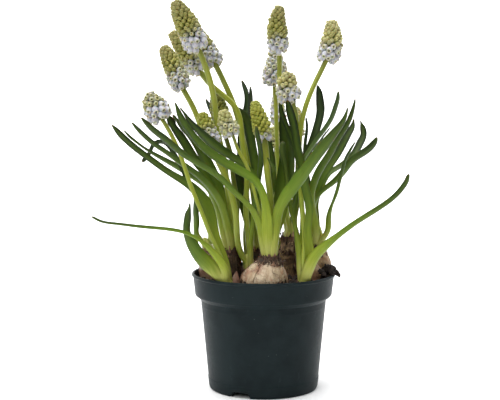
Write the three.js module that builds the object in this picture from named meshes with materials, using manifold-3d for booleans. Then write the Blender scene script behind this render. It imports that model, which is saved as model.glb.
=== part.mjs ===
// Grape hyacinth (Muscari) in a nursery pot.
//
// Frame: millimetres, +Z up. The origin is the middle of the pot's underside,
// on the surface the pot stands on, and the pot's axis is Z. -Y is the front.
//
// Every leaf and every flower spike is one grown piece: it starts in the open
// neck of its bulb and runs along its own centre line. Bulbs stand half out of
// the soil; two of them are buried up to the neck.

import * as THREE from 'three';
import { mergeVertices } from 'three/addons/utils/BufferGeometryUtils.js';
import Module from 'manifold-3d';

// ---------------------------------------------------------------- dimensions
// pot
const POT_HEIGHT = 72.75;
const RIM_RADIUS = 45.0;          // outside of the rolled lip
const BAND_TOP_RADIUS = 44.1;     // rim band, just under the lip
const BAND_BOTTOM_RADIUS = 42.86;
const BAND_BOTTOM_Z = 59.4;
const STEP_RADIUS = 39.3;         // wall where the band's chamfer ends
const STEP_Z = 56.2;
const WALL_FOOT_RADIUS = 34.75;   // wall just above the foot band
const FOOT_BAND_Z = 7.6;
const FOOT_BAND_PROUD = 0.25;
const WALL = 0.9;
const FLOOR_Z = 3.6;              // inside floor over the raised base ring
const BASE_RING_Z = 2.6;          // underside of the raised base ring
const HUB_RADIUS = 12.0;          // flat middle of the underside
const FOOT_RING_INNER = 30.4;
const POT_SIDES = 32;
const NOTCH_COUNT = 3;            // cut-outs in the foot ring
const NOTCH_ANGLE = -114.5;       // degrees, first notch
const NOTCH_HEIGHT = 3.2;
const NOTCH_FOOT_WIDTH = 13.6;
const NOTCH_TOP_WIDTH = 8.4;
const DRAIN_COUNT = 6;            // holes through the raised base ring
const DRAIN_RADIUS = 3.4;
const DRAIN_CIRCLE = 22.0;

// soil
const SOIL_LEVEL = 68.0;
const SOIL_GAP = 0.5;            // to the pot
const BULB_GAP = 0.35;             // soil to bulb
const HEAP_ANGLE = -6;           // degrees; soil heaped against the rim
const HEAP_RADIUS = 40;
const HEAP_HEIGHT = 6.0;

// leaves
const CHANNEL = 0.16;             // how far the edges lift, of the width
const BLADE_FOOT = 1.0;           // thickness at the foot, middle and tip
const BLADE_MIDDLE = 1.1;
const BLADE_TIP = 0.5;

// flower spikes
const SCAPE_FOOT_RADIUS = 1.1;
const SCAPE_SIDES = 7;
const BULB_SIDES = 12;

// Leaves: name, tone, then stations from foot to tip, each
// [x, y, z, inner face normal x, y, z, width].
// Flower spikes: name, tone, stalk radius, head radius, then the points of the
// axis: stalk foot to stalk top, the middle of the head, its tip.
// Bulbs: rings [x, y, z, radius] from base to collar, and the neck's bore
// [x, y, floor z, radius]; null on a bulblet that has not opened.
const LEAVES = [
  ['leaf_buried_left_1', 'g', [
    [-22.12, -28.03, 67.88, 0.05, -0.998, 0.025, 3.1],
    [-22.8, -28.02, 73.39, 0.119, -0.993, 0.009, 3.13],
    [-24.37, -28.14, 81.3, 0.288, -0.956, 0.059, 1.73],
    [-27.34, -28.08, 92.08, 0.544, -0.819, 0.179, 0.9],
    [-30.78, -27.66, 104.07, 0.631, -0.716, 0.298, 7.49],
    [-35.36, -27.05, 117.44, 0.586, -0.704, 0.401, 11],
    [-44.19, -26.66, 128.7, 0.51, -0.698, 0.503, 7.08],
    [-55.99, -26.33, 136.34, 0.439, -0.696, 0.568, 5.24],
    [-67.23, -25.78, 144.23, 0.418, -0.696, 0.584, 4.92],
    [-78.2, -25.15, 152.41, 0.445, -0.695, 0.565, 4.89],
    [-81.35, -24.94, 155.1, 0.457, -0.694, 0.556, 4.89],
    [-86.57, -24.58, 160.11, 0.475, -0.694, 0.542, 4.88],
    [-89.53, -24.34, 163.52, 0.481, -0.693, 0.537, 3.03],
    [-91.29, -24.19, 165.68, 0.482, -0.693, 0.536, 0.9],
  ]],
  ['leaf_buried_left_2', 'l', [
    [-21.43, -32.5, 68.2, -0.253, 0.967, 0.025, 2.46],
    [-22.26, -32.98, 72.54, -0.205, 0.973, 0.109, 2.46],
    [-23.31, -34.11, 78.99, -0.038, 0.981, 0.189, 2.1],
    [-27.95, -35.94, 86.84, 0.18, 0.917, 0.356, 0.96],
    [-34.42, -38.07, 94.51, 0.161, 0.868, 0.47, 0.9],
    [-43.37, -40.36, 101.22, 0.03, 0.872, 0.489, 2.63],
    [-53.93, -42.64, 104.58, -0.051, 0.873, 0.485, 2.63],
    [-64.77, -44.79, 106.02, -0.077, 0.875, 0.479, 2.51],
    [-75.6, -46.62, 107.3, -0.059, 0.878, 0.475, 2.23],
    [-86.49, -48.17, 108.83, -0.012, 0.883, 0.469, 1.99],
    [-96.09, -49.32, 110.73, 0.03, 0.888, 0.46, 1.8],
    [-98.45, -49.56, 111.91, 0.035, 0.888, 0.458, 1.78],
    [-99.86, -49.69, 112.73, 0.037, 0.888, 0.458, 1.62],
    [-100.72, -49.77, 113.21, 0.038, 0.888, 0.458, 0.9],
  ]],
  ['leaf_buried_left_3', 'g', [
    [-24.24, -30.65, 67.18, 0.988, 0.152, 0.026, 3.1],
    [-24.8, -30.34, 70.68, 0.826, 0.372, 0.424, 3.12],
    [-28.04, -30.22, 74.16, 0.55, 0.674, 0.494, 3.09],
    [-31.95, -30.93, 79.39, 0.196, 0.947, 0.256, 3.51],
    [-37.74, -31.95, 86.12, 0.107, 0.968, 0.227, 3.97],
    [-42.71, -33.17, 93.78, 0.135, 0.956, 0.259, 6.27],
    [-46.17, -34.95, 102.42, 0.234, 0.937, 0.26, 4.7],
    [-45.52, -37.16, 111.47, 0.316, 0.922, 0.224, 4.68],
    [-45.23, -37.63, 113.25, 0.324, 0.921, 0.217, 4.17],
    [-44.23, -38.77, 117.42, 0.334, 0.919, 0.207, 1.74],
    [-44.03, -39.48, 120.07, 0.336, 0.919, 0.205, 0.9],
  ]],
  ['leaf_left_1', 'g', [
    [-23.32, -7.76, 84.87, 0.643, 0.764, 0.046, 2.6],
    [-23.66, -8.1, 89.57, 0.638, 0.755, 0.153, 2.62],
    [-25.18, -8.83, 96.25, 0.643, 0.747, 0.167, 2.64],
    [-26.82, -10, 105.67, 0.626, 0.738, 0.251, 3.5],
    [-29.1, -11.84, 115.61, 0.527, 0.742, 0.413, 5.45],
    [-34.22, -13.95, 126.01, 0.401, 0.754, 0.52, 4.37],
    [-43.15, -15.61, 133.64, 0.353, 0.765, 0.538, 5.26],
    [-52.9, -16.42, 139.83, 0.354, 0.769, 0.532, 5.24],
    [-63, -16.47, 145.52, 0.367, 0.769, 0.524, 3.94],
    [-73.01, -15.86, 151.6, 0.408, 0.768, 0.494, 2.1],
    [-78.2, -15.35, 155.43, 0.436, 0.768, 0.468, 2.22],
    [-81.88, -14.92, 158.43, 0.451, 0.769, 0.453, 2.21],
    [-83.93, -14.6, 160.6, 0.456, 0.769, 0.448, 1.54],
    [-85.13, -14.41, 161.96, 0.457, 0.769, 0.447, 0.9],
  ]],
  ['leaf_left_2', 'g', [
    [-20.22, -8.51, 85.02, -0.216, 0.975, 0.049, 2.6],
    [-20.11, -9.28, 89.81, -0.131, 0.959, 0.252, 2.62],
    [-21.12, -11.02, 96.52, 0.08, 0.967, 0.244, 2.6],
    [-23.26, -13.27, 105.63, 0.382, 0.868, 0.319, 2.59],
    [-25.99, -15.82, 115.69, 0.444, 0.787, 0.428, 6],
    [-31.47, -18.68, 125.83, 0.339, 0.794, 0.505, 5.3],
    [-39.34, -21.32, 134.49, 0.266, 0.802, 0.536, 5.28],
    [-48.66, -23.73, 141.56, 0.238, 0.806, 0.543, 4.56],
    [-57.91, -25.87, 148.71, 0.246, 0.809, 0.534, 3.97],
    [-67.53, -27.78, 155.65, 0.295, 0.813, 0.502, 3.96],
    [-72.68, -28.71, 160.43, 0.328, 0.816, 0.477, 3.79],
    [-75.9, -29.27, 163.75, 0.342, 0.817, 0.465, 3.21],
    [-77.77, -29.59, 165.99, 0.346, 0.817, 0.461, 2.01],
    [-78.85, -29.78, 167.34, 0.347, 0.817, 0.461, 0.9],
  ]],
  ['leaf_left_3', 'g', [
    [-24.6, -4.84, 84.39, 0.998, -0.045, 0.035, 2.49],
    [-24.62, -4.96, 88.71, 0.992, -0.126, -0.025, 2.49],
    [-24.26, -5.23, 94.94, 0.939, -0.343, -0.021, 2.5],
    [-23.62, -5.39, 103.63, 0.743, -0.669, 0.027, 2.69],
    [-26.18, -5.6, 112.94, 0.604, -0.789, 0.109, 3.07],
    [-29.39, -5.69, 123.06, 0.568, -0.782, 0.255, 3.56],
    [-34.5, -5.38, 132.09, 0.498, -0.774, 0.391, 4.26],
    [-40.85, -4.61, 140.63, 0.443, -0.769, 0.46, 6.6],
    [-46.56, -3.47, 149.34, 0.447, -0.767, 0.459, 7.04],
    [-52.12, -2.18, 158.14, 0.483, -0.767, 0.422, 7.02],
    [-56.73, -1.15, 164.99, 0.504, -0.767, 0.397, 4.57],
    [-58.46, -0.63, 168.45, 0.509, -0.767, 0.391, 12.5],
    [-59.68, -0.31, 170.5, 0.51, -0.767, 0.39, 12.5],
  ]],
  ['leaf_left_4', 'g', [
    [-23.05, -2.04, 83.89, 0.568, -0.822, 0.045, 2.6],
    [-23.26, -1.66, 88.27, 0.551, -0.801, 0.236, 2.62],
    [-24.03, -0.02, 94.37, 0.538, -0.807, 0.245, 2.89],
    [-23.96, 1.49, 103.08, 0.524, -0.833, 0.181, 4.11],
    [-24.95, 3.27, 112.77, 0.495, -0.827, 0.265, 5.7],
    [-27.37, 5.3, 123.23, 0.471, -0.824, 0.315, 6.79],
    [-31.26, 6.91, 133.39, 0.447, -0.823, 0.349, 6.88],
    [-36.64, 8.33, 142.88, 0.389, -0.812, 0.435, 7.98],
    [-42.36, 11.15, 151.63, 0.306, -0.784, 0.539, 4.98],
    [-48.85, 15.05, 159.48, 0.288, -0.787, 0.545, 3.36],
    [-51.47, 16.38, 162.24, 0.29, -0.792, 0.537, 3.15],
    [-54.39, 17.9, 166.48, 0.293, -0.797, 0.528, 2.29],
    [-56.43, 18.8, 168.92, 0.294, -0.798, 0.525, 2.28],
    [-57.6, 19.35, 170.49, 0.295, -0.799, 0.525, 2.2],
  ]],
  ['leaf_left_5', 'd', [
    [-19.89, -1.58, 83.57, -0.309, -0.949, 0.055, 2.6],
    [-19.52, -1.16, 88.38, -0.225, -0.933, 0.281, 2.62],
    [-18.88, 1.42, 94.82, -0.078, -0.924, 0.375, 2.79],
    [-20.44, 5.01, 103.64, 0.121, -0.911, 0.393, 3.16],
    [-21.52, 9.1, 113.61, 0.232, -0.886, 0.401, 3.31],
    [-22.58, 13.62, 124.56, 0.239, -0.885, 0.399, 3.33],
    [-24, 18.2, 135.45, 0.228, -0.88, 0.416, 3.34],
    [-25.95, 22.99, 146.17, 0.207, -0.869, 0.449, 3.35],
    [-28.44, 28.1, 156.63, 0.178, -0.857, 0.484, 3.35],
    [-31.27, 33.43, 166.91, 0.142, -0.853, 0.503, 3.36],
    [-33.91, 36.98, 173.59, 0.123, -0.856, 0.501, 3.36],
    [-35.57, 38.78, 176.9, 0.118, -0.858, 0.499, 2.87],
    [-36.62, 39.87, 178.98, 0.116, -0.859, 0.499, 1.78],
    [-37.22, 40.55, 180.26, 0.115, -0.859, 0.498, 0.93],
  ]],
  ['leaf_left_offset_1', 'o', [
    [-9.82, -3.11, 74.28, 0.338, -0.94, 0.039, 3.01],
    [-9.87, -2.8, 78.15, 0.338, -0.935, 0.103, 3.01],
    [-10.1, -2.2, 83.29, 0.34, -0.931, 0.133, 3.01],
    [-10.76, -0.85, 90.28, 0.343, -0.903, 0.258, 3.24],
    [-10.78, 4.03, 98.52, 0.357, -0.645, 0.675, 3.46],
    [-9.89, 10.1, 105.93, 0.349, -0.903, 0.249, 3.52],
    [-10.12, 10.36, 115.6, 0.345, -0.936, 0.062, 3.38],
    [-11.02, 11.49, 125.16, 0.331, -0.921, 0.205, 3.22],
    [-11.4, 12, 127.88, 0.326, -0.917, 0.229, 3.11],
    [-11.91, 12.68, 131.22, 0.322, -0.914, 0.248, 2.65],
    [-12.23, 13.13, 133.3, 0.321, -0.913, 0.254, 1.76],
    [-12.44, 13.41, 134.57, 0.32, -0.912, 0.255, 1.24],
  ]],
  ['leaf_front_1', 'g', [
    [0.08, -28.62, 84.15, 0.893, 0.448, 0.054, 2.35],
    [-0.76, -29.34, 89.29, 0.83, 0.444, 0.338, 2.37],
    [-1.97, -31.02, 96.63, 0.763, 0.542, 0.351, 2.32],
    [-3.56, -32.83, 106.97, 0.593, 0.698, 0.4, 3.27],
    [-8.91, -36.37, 117.66, 0.416, 0.777, 0.473, 4.09],
    [-17.99, -39.69, 126.84, 0.309, 0.791, 0.528, 4.48],
    [-26.99, -42.38, 135.95, 0.26, 0.799, 0.542, 4.61],
    [-37.6, -44.75, 143.11, 0.255, 0.804, 0.537, 4.84],
    [-48.48, -46.78, 150.12, 0.272, 0.807, 0.524, 5.13],
    [-58.38, -48.26, 158.66, 0.301, 0.81, 0.503, 5.06],
    [-64.55, -49.06, 163.58, 0.316, 0.812, 0.491, 4.71],
    [-68.08, -49.45, 167.08, 0.322, 0.812, 0.486, 4.06],
    [-70.16, -49.69, 169.34, 0.324, 0.812, 0.485, 2.46],
    [-71.4, -49.83, 170.77, 0.324, 0.812, 0.485, 0.9],
  ]],
  ['leaf_front_2', 'l', [
    [2.38, -30.48, 84.28, 0.256, 0.965, 0.051, 2.35],
    [2.23, -31.16, 89.42, 0.268, 0.94, 0.21, 2.37],
    [1.56, -33.2, 96.82, 0.305, 0.93, 0.203, 3.03],
    [1.26, -36.13, 107.23, 0.352, 0.912, 0.212, 4.4],
    [0.44, -37.28, 118.9, 0.346, 0.912, 0.219, 4.85],
    [-4.51, -37.33, 131.84, 0.302, 0.926, 0.228, 4.89],
    [-15.71, -36.73, 139.6, 0.255, 0.931, 0.262, 5.93],
    [-27.02, -36.19, 145.96, 0.26, 0.931, 0.257, 5.81],
    [-37.07, -35.24, 153.88, 0.321, 0.927, 0.194, 5.08],
    [-45.28, -33.59, 163.68, 0.379, 0.921, 0.091, 4.38],
    [-47.57, -32.99, 166.95, 0.388, 0.919, 0.062, 4.92],
    [-50.59, -31.87, 172.85, 0.396, 0.918, 0.025, 3.83],
    [-52.05, -31.14, 176.73, 0.398, 0.917, 0.014, 1.92],
    [-52.88, -30.7, 179.14, 0.398, 0.917, 0.012, 0.9],
  ]],
  ['leaf_front_3', 'g', [
    [-0.04, -25.66, 83.76, 0.927, -0.373, 0.03, 2.35],
    [0.04, -25.74, 88.81, 0.905, -0.421, -0.065, 2.37],
    [0.91, -27.51, 96.23, 0.834, -0.544, -0.087, 2.86],
    [1.87, -28.72, 106.21, 0.68, -0.729, -0.078, 3.17],
    [0.8, -28.7, 117.58, 0.56, -0.809, 0.18, 3.44],
    [-2.82, -28.1, 129.95, 0.5, -0.794, 0.346, 3.66],
    [-10.47, -27.04, 140.34, 0.464, -0.79, 0.401, 4.18],
    [-20.74, -26.28, 147.53, 0.429, -0.787, 0.443, 5.96],
    [-30.95, -25.73, 154.46, 0.378, -0.784, 0.493, 7.26],
    [-39.99, -24.21, 162.67, 0.329, -0.776, 0.539, 5.43],
    [-42.82, -23.47, 165.57, 0.319, -0.773, 0.548, 4.62],
    [-46.68, -22.19, 170.61, 0.309, -0.771, 0.557, 2.44],
    [-48.96, -21.35, 173.85, 0.307, -0.77, 0.56, 1.26],
    [-50.43, -20.84, 175.73, 0.306, -0.77, 0.56, 1.19],
  ]],
  ['leaf_front_4', 'l', [
    [5.3, -29.99, 84.2, -0.555, 0.83, 0.049, 2.35],
    [5.67, -30.62, 88.84, -0.523, 0.815, 0.247, 2.37],
    [6.19, -31.88, 95.48, -0.475, 0.845, 0.246, 2.42],
    [6.67, -33.42, 104.89, -0.372, 0.891, 0.259, 2.02],
    [8.84, -35.65, 115.43, -0.285, 0.912, 0.296, 5.39],
    [14.4, -38.03, 125.6, -0.245, 0.917, 0.316, 8.37],
    [21.16, -40.27, 134.76, -0.223, 0.921, 0.32, 7.85],
    [27.62, -42.37, 144.08, -0.205, 0.922, 0.328, 7.48],
    [34.23, -44.52, 153.19, -0.186, 0.921, 0.342, 7.03],
    [41.07, -46.7, 162.25, -0.185, 0.92, 0.344, 5.33],
    [46, -48.31, 169.68, -0.201, 0.922, 0.332, 3.19],
    [47.45, -49.05, 173.79, -0.207, 0.922, 0.327, 1.67],
    [47.92, -49.48, 176.41, -0.209, 0.922, 0.326, 0.9],
  ]],
  ['leaf_front_5', 'p', [
    [6.02, -24.65, 83.34, -0.756, -0.654, 0.039, 2.35],
    [6.3, -24.29, 87.27, -0.629, -0.72, 0.293, 2.36],
    [7.76, -23.04, 92.14, -0.406, -0.91, 0.084, 2.31],
    [6.66, -22.16, 98.82, 0.102, -0.979, -0.175, 2.29],
    [4.25, -22.19, 108.2, 0.176, -0.984, 0.034, 2.11],
    [4.88, -21.6, 118.29, 0.162, -0.981, -0.105, 1.86],
    [4.66, -21.54, 127.57, 0.168, -0.928, -0.332, 1.94],
    [5.81, -24.23, 136.95, 0.205, -0.948, -0.242, 2.5],
    [5.03, -30.27, 140.39, 0.21, -0.957, -0.2, 2.95],
    [3.62, -32.91, 143.83, 0.213, -0.963, -0.167, 1.92],
    [2.47, -33.42, 145.64, 0.214, -0.964, -0.156, 0.9],
    [1.81, -33.69, 146.73, 0.215, -0.964, -0.155, 0.9],
  ]],
  ['leaf_front_6', 'g', [
    [3.33, -23.4, 83.08, -0.009, -0.999, 0.04, 2.35],
    [3.33, -23.03, 87.17, 0.015, -0.986, 0.167, 2.36],
    [3.81, -21.72, 92.94, 0.077, -0.986, 0.148, 2.52],
    [6.45, -20.38, 100.6, 0.173, -0.983, 0.055, 4.69],
    [8.88, -19.41, 109.52, 0.229, -0.972, 0.049, 7.99],
    [10.36, -18.47, 119.47, 0.236, -0.968, 0.086, 9.89],
    [11.82, -17.51, 129.25, 0.24, -0.963, 0.125, 10.5],
    [13.4, -15.66, 139.09, 0.24, -0.959, 0.153, 10.5],
    [13.76, -13.23, 149.74, 0.233, -0.957, 0.171, 9.15],
    [12.61, -11.66, 160.33, 0.22, -0.959, 0.177, 7.13],
    [12.23, -11.73, 163.21, 0.217, -0.96, 0.178, 6.39],
    [11.57, -11.06, 168.84, 0.212, -0.961, 0.178, 4.86],
    [11.12, -10.58, 172.27, 0.211, -0.961, 0.177, 2.84],
    [10.89, -10.3, 174.32, 0.21, -0.961, 0.177, 0.95],
  ]],
  ['leaf_front_7', 'gr', [
    [6.87, -27.48, 83.51, -0.99, 0.134, 0.042, 2.35],
    [7.26, -27.55, 88.46, -0.974, 0.196, 0.116, 2.37],
    [7.84, -27.77, 95.63, -0.923, 0.362, 0.126, 2.27],
    [8.69, -28.27, 105.54, -0.768, 0.623, 0.151, 2.27],
    [10.99, -28.63, 116.35, -0.646, 0.741, 0.184, 2.25],
    [14.4, -28.84, 128.14, -0.609, 0.751, 0.255, 2.32],
    [20.11, -28.88, 138.95, -0.577, 0.755, 0.311, 2.67],
    [26.21, -28.89, 149.47, -0.554, 0.757, 0.348, 3.21],
    [33.24, -28.94, 159.48, -0.57, 0.757, 0.32, 3.81],
    [40.19, -28.37, 169.66, -0.623, 0.754, 0.209, 4.2],
    [43.18, -27.49, 177.9, -0.649, 0.751, 0.119, 4.12],
    [44.23, -27, 181.72, -0.654, 0.751, 0.093, 3.59],
    [44.34, -26.68, 184.22, -0.655, 0.751, 0.086, 2.61],
    [44.43, -26.48, 185.76, -0.655, 0.751, 0.084, 1.05],
  ]],
  ['leaf_middle_1', 'g', [
    [-3.82, 9.44, 81.65, 0.145, 0.988, 0.048, 2.6],
    [-3.86, 9.05, 86.01, 0.163, 0.968, 0.188, 2.62],
    [-4.14, 7.44, 92.13, 0.21, 0.942, 0.261, 2.76],
    [-4.61, 5.17, 100.59, 0.294, 0.924, 0.243, 4.03],
    [-4.77, 3.18, 110.11, 0.34, 0.929, 0.146, 4.98],
    [-4.54, 2.29, 120.79, 0.343, 0.938, 0.043, 5.41],
    [-4.36, 2.15, 131.5, 0.343, 0.939, 0.011, 5.43],
    [-5.76, 2.34, 142.16, 0.341, 0.94, 0.004, 5.66],
    [-7.67, 2.81, 152.61, 0.338, 0.941, 0.014, 6.31],
    [-9.9, 3.38, 162.94, 0.332, 0.942, 0.046, 6.72],
    [-10.63, 3.3, 165.12, 0.331, 0.942, 0.055, 6.83],
    [-13.11, 3.45, 170.56, 0.326, 0.942, 0.074, 6.5],
    [-15.44, 3.78, 173.47, 0.325, 0.942, 0.08, 4.39],
    [-16.97, 4.18, 175.23, 0.324, 0.942, 0.082, 2.21],
  ]],
  ['leaf_left_offset_2', 'g', [
    [-8.05, -10.06, 74.85, -0.153, 0.987, 0.043, 2.95],
    [-7.94, -10.43, 79.15, -0.094, 0.987, 0.127, 2.95],
    [-8.05, -11.19, 85.36, 0.056, 0.992, 0.116, 2.91],
    [-8.25, -12.28, 93.95, 0.315, 0.94, 0.127, 2.76],
    [-7.25, -14.03, 103.39, 0.448, 0.88, 0.156, 2.72],
    [-5.96, -16.64, 113.57, 0.465, 0.867, 0.18, 2.88],
    [-4.51, -19.44, 123.63, 0.462, 0.862, 0.209, 3.19],
    [-3.24, -22.59, 133.5, 0.447, 0.842, 0.301, 3.43],
    [-2.14, -27.5, 143.06, 0.421, 0.816, 0.395, 3.47],
    [-2.7, -31.78, 152.44, 0.398, 0.823, 0.406, 3.33],
    [-4.14, -35.09, 160.09, 0.388, 0.84, 0.379, 3.07],
    [-4.52, -36.16, 162.74, 0.387, 0.843, 0.373, 2.49],
    [-4.72, -36.82, 164.41, 0.387, 0.844, 0.371, 1.65],
    [-4.85, -37.22, 165.43, 0.387, 0.845, 0.37, 1.87],
  ]],
  ['leaf_middle_2', 'g', [
    [0.06, 14.3, 81.11, -0.932, -0.361, 0.041, 2.6],
    [0.25, 14.36, 84.76, -0.869, -0.49, 0.073, 2.61],
    [0.73, 14.57, 90.01, -0.616, -0.779, 0.118, 2.67],
    [0.73, 14.87, 97.33, -0.01, -0.999, 0.038, 3.19],
    [2.13, 15.28, 105.33, 0.312, -0.95, 0.028, 3.53],
    [4.17, 16.06, 114.04, 0.326, -0.943, 0.065, 3.63],
    [5.62, 17.24, 122.83, 0.33, -0.936, 0.12, 3.66],
    [6.39, 18.8, 131.69, 0.327, -0.928, 0.179, 3.78],
    [5.86, 20.65, 140.45, 0.318, -0.921, 0.225, 4],
    [4.34, 22.67, 149.09, 0.309, -0.912, 0.269, 4.07],
    [3.41, 23.97, 153.97, 0.304, -0.904, 0.302, 4],
    [2.9, 24.99, 157.3, 0.302, -0.899, 0.317, 3.54],
    [2.62, 25.83, 159.36, 0.301, -0.898, 0.321, 2.74],
    [2.49, 26.3, 160.62, 0.301, -0.897, 0.322, 2.47],
  ]],
  ['leaf_middle_3', 'd', [
    [-5.45, 15.89, 81.08, 0.597, -0.801, 0.038, 2.6],
    [-5.79, 16.02, 86.35, 0.566, -0.821, 0.074, 2.63],
    [-6.56, 16.3, 93.94, 0.485, -0.872, 0.066, 2.21],
    [-8.57, 17.43, 104.33, 0.336, -0.934, 0.119, 1.04],
    [-11.92, 19.43, 115.49, 0.255, -0.946, 0.201, 3.92],
    [-14.99, 22.4, 127.85, 0.243, -0.932, 0.269, 5.35],
    [-13.64, 26.12, 140.24, 0.234, -0.916, 0.326, 7.87],
    [-12.62, 30.54, 152.64, 0.225, -0.898, 0.378, 8.4],
    [-12.05, 35.56, 164.81, 0.217, -0.881, 0.421, 7.07],
    [-10.53, 41, 176.67, 0.213, -0.873, 0.439, 3.88],
    [-11.39, 45.26, 185.85, 0.215, -0.875, 0.434, 3.47],
    [-12.67, 46.84, 189.16, 0.216, -0.876, 0.432, 2.79],
    [-13.42, 47.83, 191.17, 0.216, -0.876, 0.431, 1.82],
    [-13.83, 48.43, 192.4, 0.216, -0.876, 0.431, 0.9],
  ]],
  ['leaf_middle_4', 'd', [
    [-2.31, 16.46, 80.72, -0.276, -0.96, 0.057, 2.6],
    [-2.28, 16.96, 85.96, -0.225, -0.947, 0.229, 2.63],
    [-2.21, 19.43, 93.18, -0.09, -0.942, 0.325, 2.82],
    [-2.71, 22.91, 103.15, 0.129, -0.93, 0.345, 2.8],
    [-3.06, 27.11, 114.11, 0.229, -0.897, 0.378, 2.78],
    [-4.12, 32.08, 126, 0.227, -0.887, 0.402, 2.75],
    [-5.3, 37.29, 137.77, 0.223, -0.879, 0.421, 2.7],
    [-6.48, 42.77, 149.43, 0.225, -0.869, 0.441, 2.64],
    [-7.39, 48.55, 160.98, 0.23, -0.859, 0.457, 2.57],
    [-7.76, 54.5, 172.49, 0.23, -0.858, 0.458, 2.53],
    [-7.8, 58.98, 181.33, 0.227, -0.864, 0.449, 2.53],
    [-8.04, 60.7, 184.81, 0.226, -0.866, 0.447, 2.35],
    [-8.18, 61.76, 186.98, 0.225, -0.866, 0.446, 1.52],
    [-8.25, 62.4, 188.27, 0.225, -0.867, 0.445, 0.9],
  ]],
  ['leaf_back_right_1', 'd', [
    [21.1, 19.36, 89.6, -0.995, -0.094, 0.038, 3.1],
    [21.14, 19.34, 94.27, -0.979, -0.203, -0.016, 3.12],
    [20.63, 19.29, 101.01, -0.877, -0.48, -0.004, 3.15],
    [20.67, 19.4, 110.37, -0.533, -0.845, 0.047, 3.89],
    [22, 19.97, 120.68, -0.303, -0.946, 0.115, 4.39],
    [24.04, 21.17, 131.86, -0.278, -0.941, 0.195, 4.61],
    [27.28, 22.95, 142.64, -0.251, -0.932, 0.262, 4.74],
    [31.52, 25.21, 153, -0.235, -0.923, 0.305, 5.04],
    [35.14, 27.94, 163.52, -0.255, -0.916, 0.311, 5.52],
    [37.16, 30.97, 174.42, -0.304, -0.913, 0.271, 5.68],
    [36.84, 32.27, 179.05, -0.321, -0.914, 0.247, 5.33],
    [36.35, 33.71, 184.2, -0.333, -0.916, 0.225, 4.43],
    [35.68, 34.6, 187.37, -0.337, -0.916, 0.218, 2.64],
    [35.24, 35.12, 189.29, -0.338, -0.916, 0.217, 0.9],
  ]],
  ['leaf_back_right_2', 'd', [
    [18.79, 22.51, 89.29, -0.389, -0.92, 0.05, 3.1],
    [19.07, 22.94, 94.45, -0.314, -0.94, 0.137, 3.13],
    [19.36, 23.87, 101.88, -0.116, -0.983, 0.14, 2.91],
    [19.97, 25.44, 112.12, 0.229, -0.96, 0.159, 2.69],
    [21.3, 27.94, 123.3, 0.391, -0.895, 0.215, 2.58],
    [22.08, 31.66, 135.43, 0.393, -0.873, 0.289, 2.6],
    [22.02, 36.15, 147.28, 0.385, -0.854, 0.349, 2.68],
    [21.22, 41.23, 158.89, 0.377, -0.837, 0.396, 2.72],
    [20.5, 46.77, 170.29, 0.371, -0.824, 0.429, 2.75],
    [20.52, 52.57, 181.55, 0.364, -0.82, 0.442, 2.87],
    [20.33, 57.37, 190.99, 0.357, -0.825, 0.438, 3.04],
    [20.04, 58.87, 193.96, 0.356, -0.826, 0.437, 2.56],
    [19.87, 59.8, 195.83, 0.356, -0.826, 0.437, 1.66],
    [19.75, 60.36, 196.97, 0.356, -0.826, 0.437, 1.03],
  ]],
  ['leaf_right_1', 'g', [
    [31.65, -1.03, 86.9, 0.54, 0.84, 0.045, 2.4],
    [31.7, -1.9, 91.27, 0.472, 0.84, 0.268, 2.42],
    [31.82, -3.85, 97.51, 0.238, 0.948, 0.212, 2.45],
    [30.97, -5.26, 106.48, -0.215, 0.976, 0.02, 2.06],
    [30.08, -6.38, 116.6, -0.446, 0.894, 0.045, 1.59],
    [30.82, -7.84, 127.75, -0.417, 0.89, 0.184, 5.23],
    [34.82, -8.14, 137.92, -0.359, 0.896, 0.261, 5.62],
    [40.5, -8.93, 147.17, -0.335, 0.903, 0.27, 5.07],
    [45.84, -9.45, 156.98, -0.357, 0.906, 0.228, 4.2],
    [51.6, -9.31, 166.45, -0.4, 0.906, 0.14, 3.58],
    [53.47, -9.05, 171.07, -0.415, 0.905, 0.097, 3.39],
    [54.94, -8.71, 175.91, -0.423, 0.904, 0.063, 2.45],
    [55.65, -8.47, 179.1, -0.425, 0.904, 0.052, 1.6],
    [55.86, -8.32, 181.06, -0.425, 0.904, 0.05, 0.9],
  ]],
  ['leaf_right_2', 'g', [
    [36.3, 4.38, 86.43, -0.749, -0.661, 0.038, 2.4],
    [36.44, 4.25, 90.34, -0.742, -0.67, -0.028, 2.41],
    [35.88, 3.78, 95.95, -0.708, -0.705, -0.044, 2.52],
    [33.16, 3.84, 103.63, -0.647, -0.762, -0.03, 2.06],
    [32.4, 4.41, 112.54, -0.622, -0.781, 0.053, 1.28],
    [34.13, 5.05, 122.5, -0.608, -0.77, 0.192, 4.05],
    [37.57, 5.99, 131.94, -0.563, -0.76, 0.325, 5.09],
    [42.74, 7.17, 140.09, -0.51, -0.753, 0.415, 5.46],
    [47.88, 8.71, 148.19, -0.491, -0.747, 0.447, 5.94],
    [52.18, 10.59, 156.35, -0.528, -0.744, 0.411, 6.47],
    [54.05, 11.38, 159.49, -0.549, -0.743, 0.381, 5.9],
    [56.35, 12.36, 163.45, -0.57, -0.744, 0.348, 4.34],
    [56.89, 13, 166.29, -0.578, -0.744, 0.336, 1.84],
    [57.12, 13.4, 168.03, -0.579, -0.744, 0.334, 1.23],
  ]],
  ['leaf_right_3', 'g', [
    [33.54, 5.6, 86.12, 0.015, -0.999, 0.043, 2.4],
    [33.53, 6.21, 90.25, -0.03, -0.972, 0.235, 2.41],
    [33.22, 7.54, 96.17, -0.153, -0.967, 0.203, 2.35],
    [32.99, 8.88, 104.44, -0.355, -0.911, 0.21, 1.28],
    [33.07, 10.6, 113.81, -0.433, -0.851, 0.297, 0.9],
    [36.49, 13.22, 124.51, -0.374, -0.829, 0.416, 4.52],
    [41.93, 16.28, 133.35, -0.266, -0.812, 0.52, 3.8],
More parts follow.
